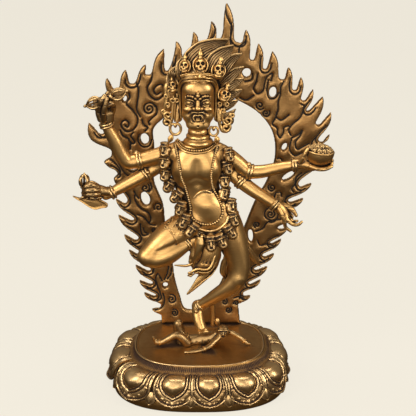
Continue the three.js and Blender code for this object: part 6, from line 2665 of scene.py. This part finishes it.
# The chased lines of the aureole, as columns and rows of the photograph
CHASED_IN_PHOTO: list[list[Numbers]] = [
    [(225.4, 7.7), (226.5, 15.3), (229.6, 22.2), (232.3, 28.3), (230.4, 38.3), (230.7, 44)],
    [(246.4, 36.7), (245.3, 41.3), (239.8, 46.7), (238.8, 53.5)],
    [(212.5, 23), (214.9, 27.8), (213, 37.3), (208, 42)],
    [(173.8, 50.7), (171.9, 55.5), (172.8, 66), (171, 72)],
    [
        (257.6, 73.5), (256.4, 81.1), (253.7, 89.5), (257.1, 93.7), (262.5, 91), (264.4, 84.2),
        (266.7, 77.3), (272.4, 73.5), (270.9, 81.1),
    ],
    [(268.3, 80.6), (267.1, 91.8), (270.1, 98.7), (275.5, 97.9), (278.6, 93)],
    [
        (284, 81.2), (280.5, 88), (280.1, 95.6), (278.2, 101.8), (277.8, 110.9), (275.9, 117.1),
        (272.6, 124.7), (277, 128.3), (277.7, 134.9), (279.9, 137.9), (282.8, 134.2), (284.3, 127.6),
        (288.7, 126.1),
    ],
    [(277, 112.2), (276, 116.6), (280.6, 120.3), (288.9, 115)], [(252.5, 73.5), (251.4, 79.6), (245, 81.6)],
    [(239.5, 97.9), (245.7, 100), (253.3, 95.6)],
    [
        (300.7, 104.1), (304, 105.8), (303, 110.9), (300.4, 117.3), (293.1, 123.9), (288.7, 130.5),
        (290.9, 135.7),
    ],
    [(291.6, 138.6), (290.2, 151.1), (294.6, 155.8), (301.9, 153.3)],
    [
        (291.4, 138.4), (299, 134.2), (302.3, 130.5), (300.4, 135.7), (295.3, 143), (297.5, 149.6),
        (303.4, 146.7), (309.2, 143.7),
    ],
    [(317.3, 135.7), (312.2, 142.3), (311.4, 145.5)],
    [(274, 198), (276.2, 192.9), (280.6, 192.9), (281.4, 196.6)],
    [(301.9, 173.1), (296, 178.2), (294.6, 184.8), (291.6, 189.2), (293.4, 192.2)],
    [(293.1, 194.4), (287.2, 196.6), (284.3, 202.5)], [(277.7, 158.6), (279.6, 158.2), (282.1, 160.6)],
    [(255.7, 231.5), (263.1, 228.2), (266.2, 223.4), (269.8, 221.3), (280.5, 219.5)],
    [(257.3, 239.8), (259.8, 245.2), (266.4, 244.3), (273, 246)],
    [(248.2, 284.6), (253.2, 283.4), (257.3, 280.4)], [(242.6, 233.5), (241, 238), (242.4, 243)],
    [(233.5, 298.6), (239.4, 296.8), (243.6, 299.2)], [(223.6, 296.8), (230.6, 294), (236.4, 290)],
    [
        (152.4, 73.5), (151.3, 80.4), (147.5, 88), (149.9, 95.7), (156.6, 100), (162.3, 96.7), (164.7, 90),
        (161.3, 84.2), (156.6, 86.1), (153.7, 90.9), (157.2, 94.6), (160.6, 92.4),
    ],
    [(136, 82.8), (138.4, 89), (138.4, 95.7), (137.2, 104), (136.8, 110), (140.2, 117)],
    [
        (128.8, 92.8), (129.8, 97.6), (126.6, 102.9), (133.3, 111), (137.5, 118), (136.1, 126.5),
        (131.9, 130.7), (126.3, 131.4), (122.1, 127.9), (121.4, 123), (125.6, 120.2), (129.1, 123.7),
        (127.4, 127.4), (125, 125.4),
    ],
    [(155.6, 105.2), (157, 109.6), (156.5, 113.9), (152.3, 118), (148.8, 123), (149.5, 125)],
    [(141.8, 119.5), (143.9, 125.1), (147.6, 127.8), (145, 131.6)],
    [(139.4, 134), (138.2, 141.2), (143.2, 147), (148.8, 146.1), (151.8, 140)],
    [(133.2, 132.6), (130.9, 136.2), (133, 139.4), (135, 142.4), (132.6, 144.2), (130.4, 142)],
    [(120, 130), (122.8, 135.6), (128.4, 139.1), (130.4, 143.3), (130.2, 149.5)],
    [(98.9, 134.9), (103.2, 138), (107.2, 137.6)],
    [(109.5, 158.8), (113.7, 162.3), (119.3, 168.6), (120.4, 172.1), (116, 176.6)],
    [(115.8, 157.4), (119.3, 164.4), (124.9, 173.5), (131, 177.6)],
    [(118.2, 156.7), (122.4, 164)],
    [(127.4, 169), (131.9, 172.4), (136.8, 170.2), (139.1, 165.2)],
    [(150.2, 183.3), (151.8, 188.2), (148.8, 192.2)], [(134, 191), (136.1, 195.5), (138.9, 198.5)],
    [(134.5, 195.2), (135.3, 200.5), (141.3, 208.9), (148.6, 213.3), (150.8, 219.3), (149, 224)],
    [(137, 214.5), (143.1, 216.7), (147.2, 221), (150, 224.3), (155.3, 225.3)],
    [(140.5, 223.6), (140.7, 229.6), (143.1, 235.7), (147.8, 234.8)],
    [(143.1, 227.9), (144.8, 232.4), (148.6, 233.4)], [(151.7, 264.9), (154.3, 268.4), (152.3, 271.4)],
    [(156.8, 263.9), (162, 264.4), (167.4, 260.4)], [(168.9, 266.7), (167.2, 273.5), (164.4, 280)],
    [(171.4, 268), (171, 273.8), (167.6, 279)],
    [
        (162.4, 281.6), (159.8, 276.6), (158, 273.6), (156, 277), (157, 284.7), (160.3, 293.4),
        (161.2, 298.5), (156, 302),
    ],
    [(162.9, 293.4), (164.2, 297.7), (161.6, 308), (155.1, 310.6)],
]

# Spirals of the aureole in the photograph: the centre, the radius, the turns and the starting angle
SPIRALS_IN_PHOTO: list[tuple[Numbers, float, float, float]] = [
    ((149.2, 109), 6.6, -1.9, -20), ((145.4, 188.2), 4.6, 1.4, -60), ((158.4, 207.4), 4.6, 1.35, 150),
    ((153.8, 230), 2.4, 1.2, 40), ((171.6, 299.4), 4.8, 1.5, -100), ((174.6, 313), 3.9, 1.5, -120),
    ((259.8, 105.4), 4.6, 1.45, 40), ((265.8, 113.2), 4.2, 1.5, -40), ((271.8, 187.8), 4, -1.5, -140),
    ((270.6, 214.5), 8.2, -1, 100, 5.4), ((270.6, 214.5), 4.6, 1.6, -90), ((256.7, 224.9), 3.4, 1.4, 120),
    ((224.6, 301.8), 3.6, 1.4, -150), ((228.4, 310), 3.4, 1.5, -60), ((236.2, 303.6), 2.8, 1.2, 170),
    ((242, 297.8), 2.6, 1, 150),
]


def spiral(centre: Numbers, radius: float, turns: float, start: float, inner: float = 0.6) -> list[Numbers]:
    """Pixels along a spiral: its radius falls evenly to `inner` as it turns from `start` degrees.

    A positive number of turns goes clockwise in the photograph.
    """
    share = np.linspace(0, 1, max(int(abs(turns) * 14), 6))
    turn = math.radians(start) + share * turns * 2 * math.pi
    reach = radius + (inner - radius) * share
    return np.stack([centre[0] + reach * np.cos(turn), centre[1] + reach * np.sin(turn)], axis=1).tolist()


@dataclass
class FlatField:
    """Distances on a flat grid to drawn lines: each node hands its nearest drawn point to the next."""

    low: tuple[float, float]
    high: tuple[float, float]
    step: float

    def __post_init__(self) -> None:
        """Lays out the nodes of the grid."""
        self.x = np.arange(self.low[0], self.high[0] + self.step, self.step)
        self.z = np.arange(self.low[1], self.high[1] + self.step, self.step)
        self.nodes = np.stack(np.meshgrid(self.x, self.z, indexing="ij"), axis=-1)

    def nearest(self, points: np.ndarray) -> np.ndarray:
        """The drawn point nearest to each node.

        Every node starts with the point in its own cell. The grid is then gone over with strides of
        16, 8, 4, 2 and 1 nodes, and each node takes its neighbour's point if that is nearer.
        """
        found = np.full(self.nodes.shape, 1e6)
        at = np.round((points - self.low) / self.step).astype(int)
        kept = ((at >= 0) & (at < found.shape[:2])).all(1)
        found[tuple(at[kept].T)] = points[kept]
        best = ((found - self.nodes) ** 2).sum(-1)
        for stride in (16, 8, 4, 2, 1, 1):
            for dx, dz in ((1, 0), (-1, 0), (0, 1), (0, -1), (1, 1), (-1, -1), (1, -1), (-1, 1)):
                other = np.full_like(found, 1e6)
                to = tuple(
                    slice(max(d, 0) * stride, found.shape[i] + min(d, 0) * stride)
                    for i, d in enumerate((dx, dz))
                )
                source = tuple(
                    slice(max(-d, 0) * stride, found.shape[i] + min(-d, 0) * stride)
                    for i, d in enumerate((dx, dz))
                )
                other[to] = found[source]
                gap = ((other - self.nodes) ** 2).sum(-1)
                closer = gap < best
                found[closer], best[closer] = other[closer], gap[closer]
        return found

    def distance(self, points: np.ndarray) -> np.ndarray:
        """The distance in mm from each node to the nearest drawn point."""
        return np.linalg.norm(self.nearest(points) - self.nodes, axis=-1)

    def inside(self, loops: Sequence[np.ndarray]) -> np.ndarray:
        """Whether each node is inside the closed loops: an odd number of crossings lie to its left."""
        toggles = np.zeros((len(self.x) + 1, len(self.z)), int)
        for loop in loops:
            a, b = loop, np.roll(loop, -1, axis=0)
            low, high = np.minimum(a[:, 1], b[:, 1]), np.maximum(a[:, 1], b[:, 1])
            first = np.ceil((low - self.z[0]) / self.step).astype(int)
            count = np.maximum(np.ceil((high - self.z[0]) / self.step).astype(int) - first, 0)
            owner = np.repeat(np.arange(len(a)), count)
            row = first[owner] + np.arange(len(owner)) - np.repeat(np.cumsum(count) - count, count)
            share = (self.z[0] + row * self.step - a[owner, 1]) / (b[owner, 1] - a[owner, 1])
            crossing = a[owner, 0] + share * (b[owner, 0] - a[owner, 0])
            column = np.clip(np.ceil((crossing - self.x[0]) / self.step).astype(int), 0, len(self.x))
            kept = (row >= 0) & (row < len(self.z))
            np.add.at(toggles, (column[kept], row[kept]), 1)
        return np.cumsum(toggles, axis=0)[:-1] % 2 == 1


def bezier(a: np.ndarray, b: np.ndarray, c: np.ndarray, d: np.ndarray, count: int = 40) -> np.ndarray:
    """Points on a cubic curve: (1-t)^3 a + 3(1-t)^2 t b + 3(1-t) t^2 c + t^3 d, without the last one."""
    t = np.linspace(0, 1, count, endpoint=False)[:, None]
    return (1 - t) ** 3 * a + 3 * (1 - t) ** 2 * t * b + 3 * (1 - t) * t**2 * c + t**3 * d


@dataclass
class FlameAureole:
    """The upright plate of flames, with raised edges and black chased lines.

    Rows of flames give the tip (x, z) in mm and the bottom of the notch after it, going down one side.
    """

    step: float = 0.58
    front: float = 31.2
    back: float = 35.0
    flame_length: float = 26.0
    belly: float = 11.5
    top_bellies: tuple[float, float] = (9.0, 3.0)
    swept_back: tuple[int, ...] = (1, 2, 3)
    stout_left: tuple[int, ...] = (9, 10)
    stoutness: float = 1.9
    swept_belly: float = 0.5
    widest: float = 101.6
    swept_hollow: float = -8.0
    hollow: float = 0.5
    notch_roundness: float = 0.3
    notch_far_roundness: float = 0.28
    foot: tuple[float, float, float] = (-31.0, 33.0, 32.3)
    top: tuple[float, float] = (20.6, 295.9)
    right: tuple = (
        [20.6, 295.9, 29, 266], [35.5, 275.5, 39.7, 252.5], [45, 265, 49.6, 245.5], [55.5, 259, 62.5, 237.5],
        [68, 247, 72.4, 229], [77.6, 239, 79, 221], [87, 229.5, 82.6, 212.8], [94.7, 224, 90.6, 202],
        [101.6, 211.5, 93, 188.6], [101, 193.6, 89, 181], [95, 171, 78, 153], [88.3, 153.5, 70.2, 139.3],
        [82.3, 141, 68, 128.5], [75, 124.5, 62.4, 116.4], [70, 115, 56.5, 103], [65.5, 106, 50.7, 92],
        [60.3, 93.5, 44, 80], [55, 82, 39.6, 67.3], [49.7, 70.2, 35.4, 58], [41.5, 55.7, 31.5, 47],
    )
    left: tuple = (
        [20.6, 295.9, 15, 268.5], [9.5, 282, 1.5, 263], [-4, 274, -11, 255], [-17, 266.7, -24.5, 244],
        [-26.4, 261, -38.3, 241], [-40.4, 249, -50.5, 234], [-55.7, 245, -62.6, 230], [-70, 238.5, -70, 221],
        [-81, 223, -73.6, 195], [-85, 203, -68, 180], [-74.2, 171.6, -64.8, 164], [-67, 157.6, -57, 138.3],
        [-65.9, 140.2, -51.8, 123.2], [-64.3, 126.7, -48.8, 106.7], [-60.1, 109.8, -48.4, 94.4],
        [-56.7, 96.5, -39.3, 79.2], [-51.8, 83.3, -37.9, 67.6], [-49, 69.6, -35.4, 56.6],
        [-45.4, 58.7, -31.5, 47.5], [-38.9, 43.7, -31.5, 38],
    )
    opening: tuple = (
        [-12, 44.4], [-16.5, 56.5], [-20.4, 72], [-22.5, 92], [-27.4, 118], [-29, 136], [-35.7, 155.8],
        [-35.2, 186], [-35.6, 198], [-26.2, 208.5], [-8, 223], [9, 230], [30.3, 221.5], [46, 211.5],
        [57, 196], [59.5, 178], [53.3, 156.3], [44.6, 139.8], [37, 119.7], [28, 96], [21.5, 77.7], [12, 58],
        [1, 44.4],
    )
    piercings: tuple = (
        [36.2, 243.2, 3.4, 3.6, 0], [56.4, 227.9, 3, 4.4, -0.1], [66.3, 184.3, 2, 3.4, -0.4],
        [70, 160.6, 2.4, 6, -0.95], [41, 109.7, 2.2, 5.6, 0.1], [-42.1, 190.8, 3.4, 4.6, 0.1],
        [-56.6, 222.8, 1.6, 2.6, -0.2], [-52.3, 167, 4, 2.4, 0], [-42.6, 141.3, 3.6, 6, 0.25],
        [-27.8, 66.4, 2.3, 2.5, 0],
    )
    ringed_right: tuple[int, ...] = (0, 2, 4, 6, 8, 10, 11, 12, 14, 15, 16, 17, 18)
    ringed_left: tuple[int, ...] = (3, 5, 8, 10, 11, 12, 13, 14, 15, 16, 17)

    def flames(self, rows: list, mirror: float) -> list[tuple[np.ndarray, np.ndarray]]:
        """The two curves of each flame down one side: from its tip to the notch, and on to the next tip."""
        rows = np.asarray(rows, float)
        tips, notches = rows[:, :2], rows[:, 2:]
        before = np.vstack([[[2 * tips[0, 0] - notches[0, 0], notches[0, 1]]], notches[:-1]])
        axis = tips - (before + notches) / 2
        length = np.linalg.norm(axis, axis=1, keepdims=True)
        axis = axis / length
        after = np.vstack([tips[1:], notches[-1:]])
        climb = np.linalg.norm(after - notches, axis=1, keepdims=True)
        next_axis = unit(after - notches)
        mouth = unit(axis + next_axis)

        def square(ahead: np.ndarray) -> np.ndarray:
            """The outward directions square to some others."""
            return mirror * np.stack([ahead[:, 1], -ahead[:, 0]], axis=1)

        across = -square(mouth)
        width = np.minimum(np.linalg.norm(tips - after, axis=1, keepdims=True), 24)
        belly = np.full((len(rows), 1), self.belly)
        hollow = np.full((len(rows), 1), self.hollow)
        belly[0] = self.top_bellies[0 if mirror > 0 else 1]
        if mirror < 0:
            belly[list(self.swept_back)] = self.swept_belly
            hollow[[i - 1 for i in self.swept_back]] = self.swept_hollow
            belly[list(self.stout_left)] *= self.stoutness
        belly = belly * np.minimum(length / self.flame_length, 1.2)
        hollow = hollow * np.minimum(climb / self.flame_length, 1.2)
        leave = tips - 0.5 * length * axis + belly * square(axis)
        down = [
            bezier(*points)
            for points in zip(tips, leave, notches + self.notch_roundness * width * across, notches)
        ]
        depart = notches - self.notch_far_roundness * width * across
        approach = after - 0.5 * climb * next_axis + hollow * square(next_axis)
        up = [bezier(*points) for points in zip(notches, depart, approach, after)]
        return list(zip(down, up))

    def outline(self) -> np.ndarray:
        """The outer edge of the plate, once round."""
        left = self.flames(self.left, -1)
        right = self.flames(self.right, 1)
        run = [
            part
            for i, (down, up) in enumerate(left)
            for part in ((down, up) if i + 1 < len(left) else (down,))
        ]
        last = np.array([self.left[-1][2:]])
        run += [last, np.linspace((self.foot[0], self.foot[2]), (self.foot[1], self.foot[2]), 200)]
        climb = [
            part
            for i, (down, up) in enumerate(right)
            for part in ((down, up) if i + 1 < len(right) else (down,))
        ]
        return np.vstack(run + [np.vstack(climb + [np.array([self.right[-1][2:]])])[::-1]])

    def holes(self) -> list[np.ndarray]:
        """The edges of the great opening and of the small ones."""
        loop = np.asarray(self.opening)
        loop = smooth_path(np.insert(loop, 1, 0, axis=1), 1600, closed=True)[:, [0, 2]]
        turn = np.linspace(0, 2 * math.pi, 160, endpoint=False)
        found = [loop]
        for x, z, wide, high, lean in self.piercings:
            u, v = wide * np.cos(turn), high * np.sin(turn)
            c, s = math.cos(lean), math.sin(lean)
            found.append(np.stack([x + u * c - v * s, z + u * s + v * c], axis=1))
        return found

    def notch_lines(self) -> list[np.ndarray]:
        """Lines that go round the notches: the run of the edge past each, set in by 2 mm."""
        lines = []
        for rows, mirror, ringed in ((self.right, 1, self.ringed_right), (self.left, -1, self.ringed_left)):
            flames = self.flames(rows, mirror)
            for i in ringed:
                down, up = flames[i]
                run = np.vstack([down[14:], up[:24]])
                ahead = unit(np.gradient(run, axis=0))
                inward = -mirror * np.stack([-ahead[:, 1], ahead[:, 0]], axis=1)
                taper = np.minimum(
                    fade(np.arange(len(run)), -6, 8),
                    fade(-np.arange(len(run)), -len(run) - 4, -len(run) + 10),
                )
                lines.append(run + inward * (1.1 + 1.1 * taper)[:, None])
        return lines

    def drawn_lines(self) -> list[np.ndarray]:
        """The free lines and spirals, read off the photograph and set on the plate."""
        rows = CHASED_IN_PHOTO + [spiral(*row) for row in SPIRALS_IN_PHOTO]
        found = []
        for row in rows:
            places = SIGHT.at_depth(row, self.front)
            length = np.linalg.norm(np.diff(places, axis=0), axis=1).sum()
            found.append(smooth_path(places, max(int(length / 0.2), 8))[:, [0, 2]])
        return found

    def shells(self) -> list[Shell]:
        """Builds the plate: a relief of front nodes, side walls and a plain back."""
        field_of = FlatField((-88, 30), (104, 298), self.step)
        loops = [self.outline()] + self.holes()
        inside = field_of.inside(loops)
        dense = np.vstack([self.dense(loop, closed=True) for loop in loops])
        edge = field_of.nearest(dense)
        from_edge = np.linalg.norm(edge - field_of.nodes, axis=-1)
        drawn = self.notch_lines() + self.drawn_lines()
        line = field_of.distance(np.vstack([self.dense(row) for row in drawn]))
        snapped = (~inside & (from_edge < 0.72 * self.step)) | (inside & (from_edge < 0.3 * self.step))
        usable = inside | snapped
        flat = np.where(snapped[..., None], edge, field_of.nodes)
        core = inside & ~snapped
        rows, columns = inside.shape
        quads = sheet_faces(rows, columns)
        whole = usable.ravel()[quads].all(1) & core.ravel()[quads].any(1)
        quads = quads[whole]
        used = np.unique(quads)
        number = np.full(rows * columns, -1)
        number[used] = np.arange(len(used))
        quads = number[quads][:, ::-1]
        flat = flat.reshape(-1, 2)[used]
        flat[:, 0] = np.minimum(flat[:, 0], self.widest)
        depth = np.where(snapped, 0, from_edge).ravel()[used]
        near = line.ravel()[used]
        rise = 1.0 * np.sqrt(1 - (1 - np.clip(depth / 1.2, 0, 1)) ** 2)
        rise += 0.6 * (1 - np.exp(-np.minimum(depth, near) / 2.4)) - 0.8 * np.exp(-((near / 0.66) ** 2))
        wave = 0.3 * np.sin(flat[:, 0] / 5.3 + 1.7 * np.sin(flat[:, 1] / 11)) * np.sin(flat[:, 1] / 6.1)
        points = np.stack(
            [flat[:, 0], self.front + 1.2 - rise - wave * fade(depth, 1, 5), flat[:, 1]], axis=1
        )
        return [self.closed("flame_aureole_plate", points, quads, near, loops, field_of, inside)]

    def dense(self, row: np.ndarray, closed: bool = False) -> np.ndarray:
        """The same line with points no more than a fifth of a millimetre apart."""
        row = np.vstack([row, row[:1]]) if closed else row
        steps = np.linalg.norm(np.diff(row, axis=0), axis=1)
        reach = np.concatenate([[0], np.cumsum(steps)])
        places = np.linspace(0, reach[-1], max(int(reach[-1] / 0.2), 2))
        return np.stack([np.interp(places, reach, row[:, i]) for i in range(2)], axis=1)

    def closed(
        self,
        name: str,
        points: np.ndarray,
        quads: np.ndarray,
        near: np.ndarray,
        loops: Sequence[np.ndarray],
        field_of: FlatField,
        inside: np.ndarray,
    ) -> Shell:
        """Adds the side walls and the back to the front relief.

        Args:
            name: name of the piece.
            points: front points in mm.
            quads: front faces.
            near: distance to the chased lines at the front points.
            loops: the edges of the plate.
            field_of: the flat grid.
            inside: whether its nodes lie in the plate.

        Returns:
            The closed plate.
        """
        rims = np.vstack([quads[:, [i, (i + 1) % 4]] for i in range(4)])
        total = len(points)
        keys = rims[:, 0].astype(np.int64) * total + rims[:, 1]
        twins = rims[:, 1].astype(np.int64) * total + rims[:, 0]
        rims = rims[~np.isin(keys, twins)]
        border = np.unique(rims)
        place = np.full(total, -1)
        place[border] = np.arange(len(border))
        rings = []
        for y, inset in ((self.front + 2.6, 0.0), (self.back - 0.5, 0.0), (self.back, 0.35)):
            ring = points[border].copy()
            ring[:, 1] = y
            rings.append((ring, inset))
        inward = self.inward(rims, place, points, border)
        layers = [ring + inset * inward for ring, inset in rings]
        for layer in layers:
            layer[:, 0] = np.minimum(layer[:, 0], self.widest)
        starts = [total + i * len(border) for i in range(len(layers))]
        a, b = place[rims[:, 0]], place[rims[:, 1]]
        walls = [np.stack([rims[:, 1], rims[:, 0], starts[0] + a, starts[0] + b], axis=1)]
        for upper, lower in zip(starts[:-1], starts[1:]):
            walls.append(np.stack([upper + b, upper + a, lower + a, lower + b], axis=1))
        coarse = 5
        grid = field_of.nodes[::coarse, ::coarse][field_of_deep(inside)[::coarse, ::coarse]]
        flat = np.vstack([layers[-1][:, [0, 2]], grid])
        seams = [(int(p), int(q)) for p, q in zip(a, b)]
        found = delaunay_2d_cdt([Vector(row) for row in flat.tolist()], seams, [], 0, 1e-7)
        places, faces, sources = np.array([tuple(p) for p in found[0]]), np.array(found[2]), found[3]
        origin = np.array([row[0] if row else -1 for row in sources])
        middle = places[faces].mean(1)
        at = np.round((middle - field_of.low) / field_of.step).astype(int)
        shown = self.in_plate(middle, loops)
        faces = faces[shown & (at >= 0).all(1)]
        turn = np.cross(places[faces[:, 1]] - places[faces[:, 0]], places[faces[:, 2]] - places[faces[:, 0]])
        faces[turn > 0] = faces[turn > 0][:, ::-1]
        start = total + len(layers) * len(border)
        back_points = np.stack([places[:, 0], np.full(len(places), self.back), places[:, 1]], axis=1)
        known = (origin >= 0) & (origin < len(border))
        lookup = np.where(known, starts[-1] + origin, start + np.arange(len(places)))
        every = np.vstack([points] + layers + [back_points])
        tris = lookup[faces]
        quads = np.vstack([quads] + walls)
        used = np.unique(np.concatenate([quads.ravel(), tris.ravel()]))
        number = np.full(len(every), -1)
        number[used] = np.arange(len(used))
        lines = np.concatenate([near, np.full(len(every) - total, 9.0)])[used]
        return Shell(name, every[used], number[quads], Finish.AUREOLE, number[tris], lines)

    def inward(
        self, rims: np.ndarray, place: np.ndarray, points: np.ndarray, border: np.ndarray
    ) -> np.ndarray:
        """Directions into the plate at its border points, square to the border edges."""
        ahead = points[rims[:, 1]] - points[rims[:, 0]]
        side = unit(np.stack([-ahead[:, 2], np.zeros(len(ahead)), ahead[:, 0]], axis=1))
        total = np.zeros((len(border), 3))
        for column in (0, 1):
            for axis in (0, 2):
                total[:, axis] += np.bincount(place[rims[:, column]], side[:, axis], len(border))
        return -unit(total)

    def in_plate(self, places: np.ndarray, loops: Sequence[np.ndarray]) -> np.ndarray:
        """Whether places lie in the plate, counting the crossings of its edges to the left of each."""
        crossings = np.zeros(len(places), int)
        for loop in loops:
            for part in np.array_split(np.arange(len(loop)), max(len(loop) // 200, 1)):
                a, b = loop[part], loop[(part + 1) % len(loop)]
                z = places[:, 1:2]
                spans = (a[:, 1] <= z) != (b[:, 1] <= z)
                run = np.where(spans, b[:, 1] - a[:, 1], 1)
                left = a[:, 0] + (z - a[:, 1]) * (b[:, 0] - a[:, 0]) / run < places[:, :1]
                crossings += (spans & left).sum(1)
        return crossings % 2 == 1


def field_of_deep(inside: np.ndarray) -> np.ndarray:
    """Nodes whose neighbours up to three steps away are inside as well."""
    deep = inside.copy()
    for axis in (0, 1):
        for shift in (-3, 3):
            deep &= np.roll(inside, shift, axis)
    return deep


@dataclass
class Studio:
    """The floor, the soft lights and the camera.

    Args:
        target: the place that the camera looks at, in mm.
        distance: how far it stands off, in mm.
        elevation: its height above the horizon, in degrees.
        lens: focal length in mm, on a 36 mm sensor.
        cream: colour of the floor and the room.
        lights: name, place in mm, size in mm, power in W and colour of each.
    """

    target: tuple[float, float, float] = (6.9, 0.0, 146.0)
    distance: float = 850.0
    elevation: float = 21.0
    lens: float = 96.58
    cream: tuple[float, float, float] = (0.863, 0.815, 0.709)
    lights: tuple = (
        ("window_left", (-620, -560, 760), (460, 560), 5.9, (1, 0.97, 0.92)),
        ("window_low", (-640, -440, 330), (280, 240), 0.8, (1, 0.97, 0.92)),
        ("panel_right", (700, -420, 460), (260, 560), 4.2, (1, 0.96, 0.9)),
        ("top_panel", (0, 120, 950), (620, 320), 4.5, (1, 0.98, 0.95)),
        ("low_front", (-60, -900, 260), (900, 220), 2.6, (1, 0.95, 0.88)),
        ("front_fill", (40, -1000, 700), (620, 460), 1.8, (1, 0.95, 0.88)),
    )

    def camera(self) -> None:
        """Sets the camera where the photograph was taken from."""
        lens = bpy.data.cameras.new("camera")
        lens.lens = self.lens
        lens.sensor_width = 36.0
        made = bpy.data.objects.new("camera", lens)
        bpy.context.scene.collection.objects.link(made)
        lift = math.radians(self.elevation)
        away = Vector((0, -math.cos(lift), math.sin(lift)))
        made.location = (Vector(self.target) + away * self.distance) * MILLIMETRE
        made.rotation_euler = (-away).to_track_quat("-Z", "Y").to_euler()
        bpy.context.scene.camera = made

    def floor(self) -> None:
        """Lays a wide pale floor."""
        side = 30.0
        mesh = bpy.data.meshes.new("studio_floor")
        corners = [(-side, -side, 0), (side, -side, 0), (side, side, 0), (-side, side, 0)]
        mesh.from_pydata(corners, [], [(0, 1, 2, 3)])
        paint = bpy.data.materials.new("pale_floor")
        paint.use_nodes = True
        graph = Graph(paint.node_tree)
        glow = graph.node("ShaderNodeEmission", inputs={"Color": (*self.cream, 1), "Strength": 0.955})
        matt = graph.node("ShaderNodeBsdfDiffuse", inputs={"Color": (0.05, 0.047, 0.04, 1)})
        both = graph.node("ShaderNodeAddShader", inputs={0: glow.outputs[0], 1: matt.outputs[0]})
        graph.node("ShaderNodeOutputMaterial", inputs={"Surface": both.outputs[0]})
        mesh.materials.append(paint)
        made = bpy.data.objects.new("studio_floor", mesh)
        bpy.context.scene.collection.objects.link(made)
        made.visible_glossy = False

    def sky(self) -> None:
        """Makes the room: cream to the camera, and dim with paler walls above for the metal to mirror."""
        world = bpy.data.worlds.new("room")
        bpy.context.scene.world = world
        world.use_nodes = True
        graph = Graph(world.node_tree)
        ray = graph.node("ShaderNodeLightPath")
        place = graph.node("ShaderNodeTexCoord").outputs["Generated"]
        height = Term(graph, graph.node("ShaderNodeSeparateXYZ", inputs={0: place}).outputs["Z"])
        shade = graph.mix(height.rise(-0.5, 0.9), (0.045, 0.03, 0.018, 1), (0.3, 0.27, 0.23, 1))
        seen = graph.mix(ray.outputs["Is Camera Ray"], shade, (*self.cream, 1))
        back = graph.node("ShaderNodeBackground", inputs={"Color": seen, "Strength": 1.0})
        graph.node("ShaderNodeOutputWorld", inputs={"Surface": back.outputs[0]})

    def light(
        self, name: str, place: Numbers, size: tuple[float, float], power: float, colour: Numbers
    ) -> None:
        """Hangs one soft rectangular light in mm, facing the statue."""
        lamp = bpy.data.lights.new(name, "AREA")
        lamp.shape = "RECTANGLE"
        lamp.size, lamp.size_y = size[0] * MILLIMETRE, size[1] * MILLIMETRE
        lamp.energy = power
        lamp.color = colour
        made = bpy.data.objects.new(name, lamp)
        bpy.context.scene.collection.objects.link(made)
        made.location = Vector(place) * MILLIMETRE
        aim = Vector((5, 0, 150)) * MILLIMETRE - made.location
        made.rotation_euler = aim.to_track_quat("-Z", "Y").to_euler()
        made.visible_camera = False

    def build(self) -> None:
        """Builds the whole studio."""
        self.camera()
        self.floor()
        self.sky()
        for row in self.lights:
            self.light(*row)
        view = bpy.context.scene.view_settings
        view.view_transform = "Standard"


def main() -> None:
    """Builds the statue piece by piece, dresses it and sets up the studio."""
    logging.basicConfig(level=logging.INFO, format="%(message)s")
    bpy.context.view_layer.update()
    Studio().build()
    body = DancerBody()
    bare = body.shells()
    worn = (
        DancerHead(), Hair(), Crown(), EarOrnaments(), Hands(), Sceptre(), FlayingKnife(), SkullCup(),
        Jewellery(body, Draper(bare)), Garland(), Cloth(),
    )
    dancer = bare + [shell for part in worn for shell in part.shells()]
    pieces = [
        (dancer, "dancing_figure"),
        (TrampledFigure().shells(), "trampled_figure"),
        (FlameAureole().shells(), "flame_aureole"),
        (LotusBase().shells(), "lotus_base"),
    ]
    hollows = Hollows(shell for shells, _ in pieces for shell in shells)
    for shells, node in pieces:
        for i, shell in enumerate(shells):
            cast(shell, hollows, (node,) if i == 0 else ())


if __name__ == "__main__":
    main()
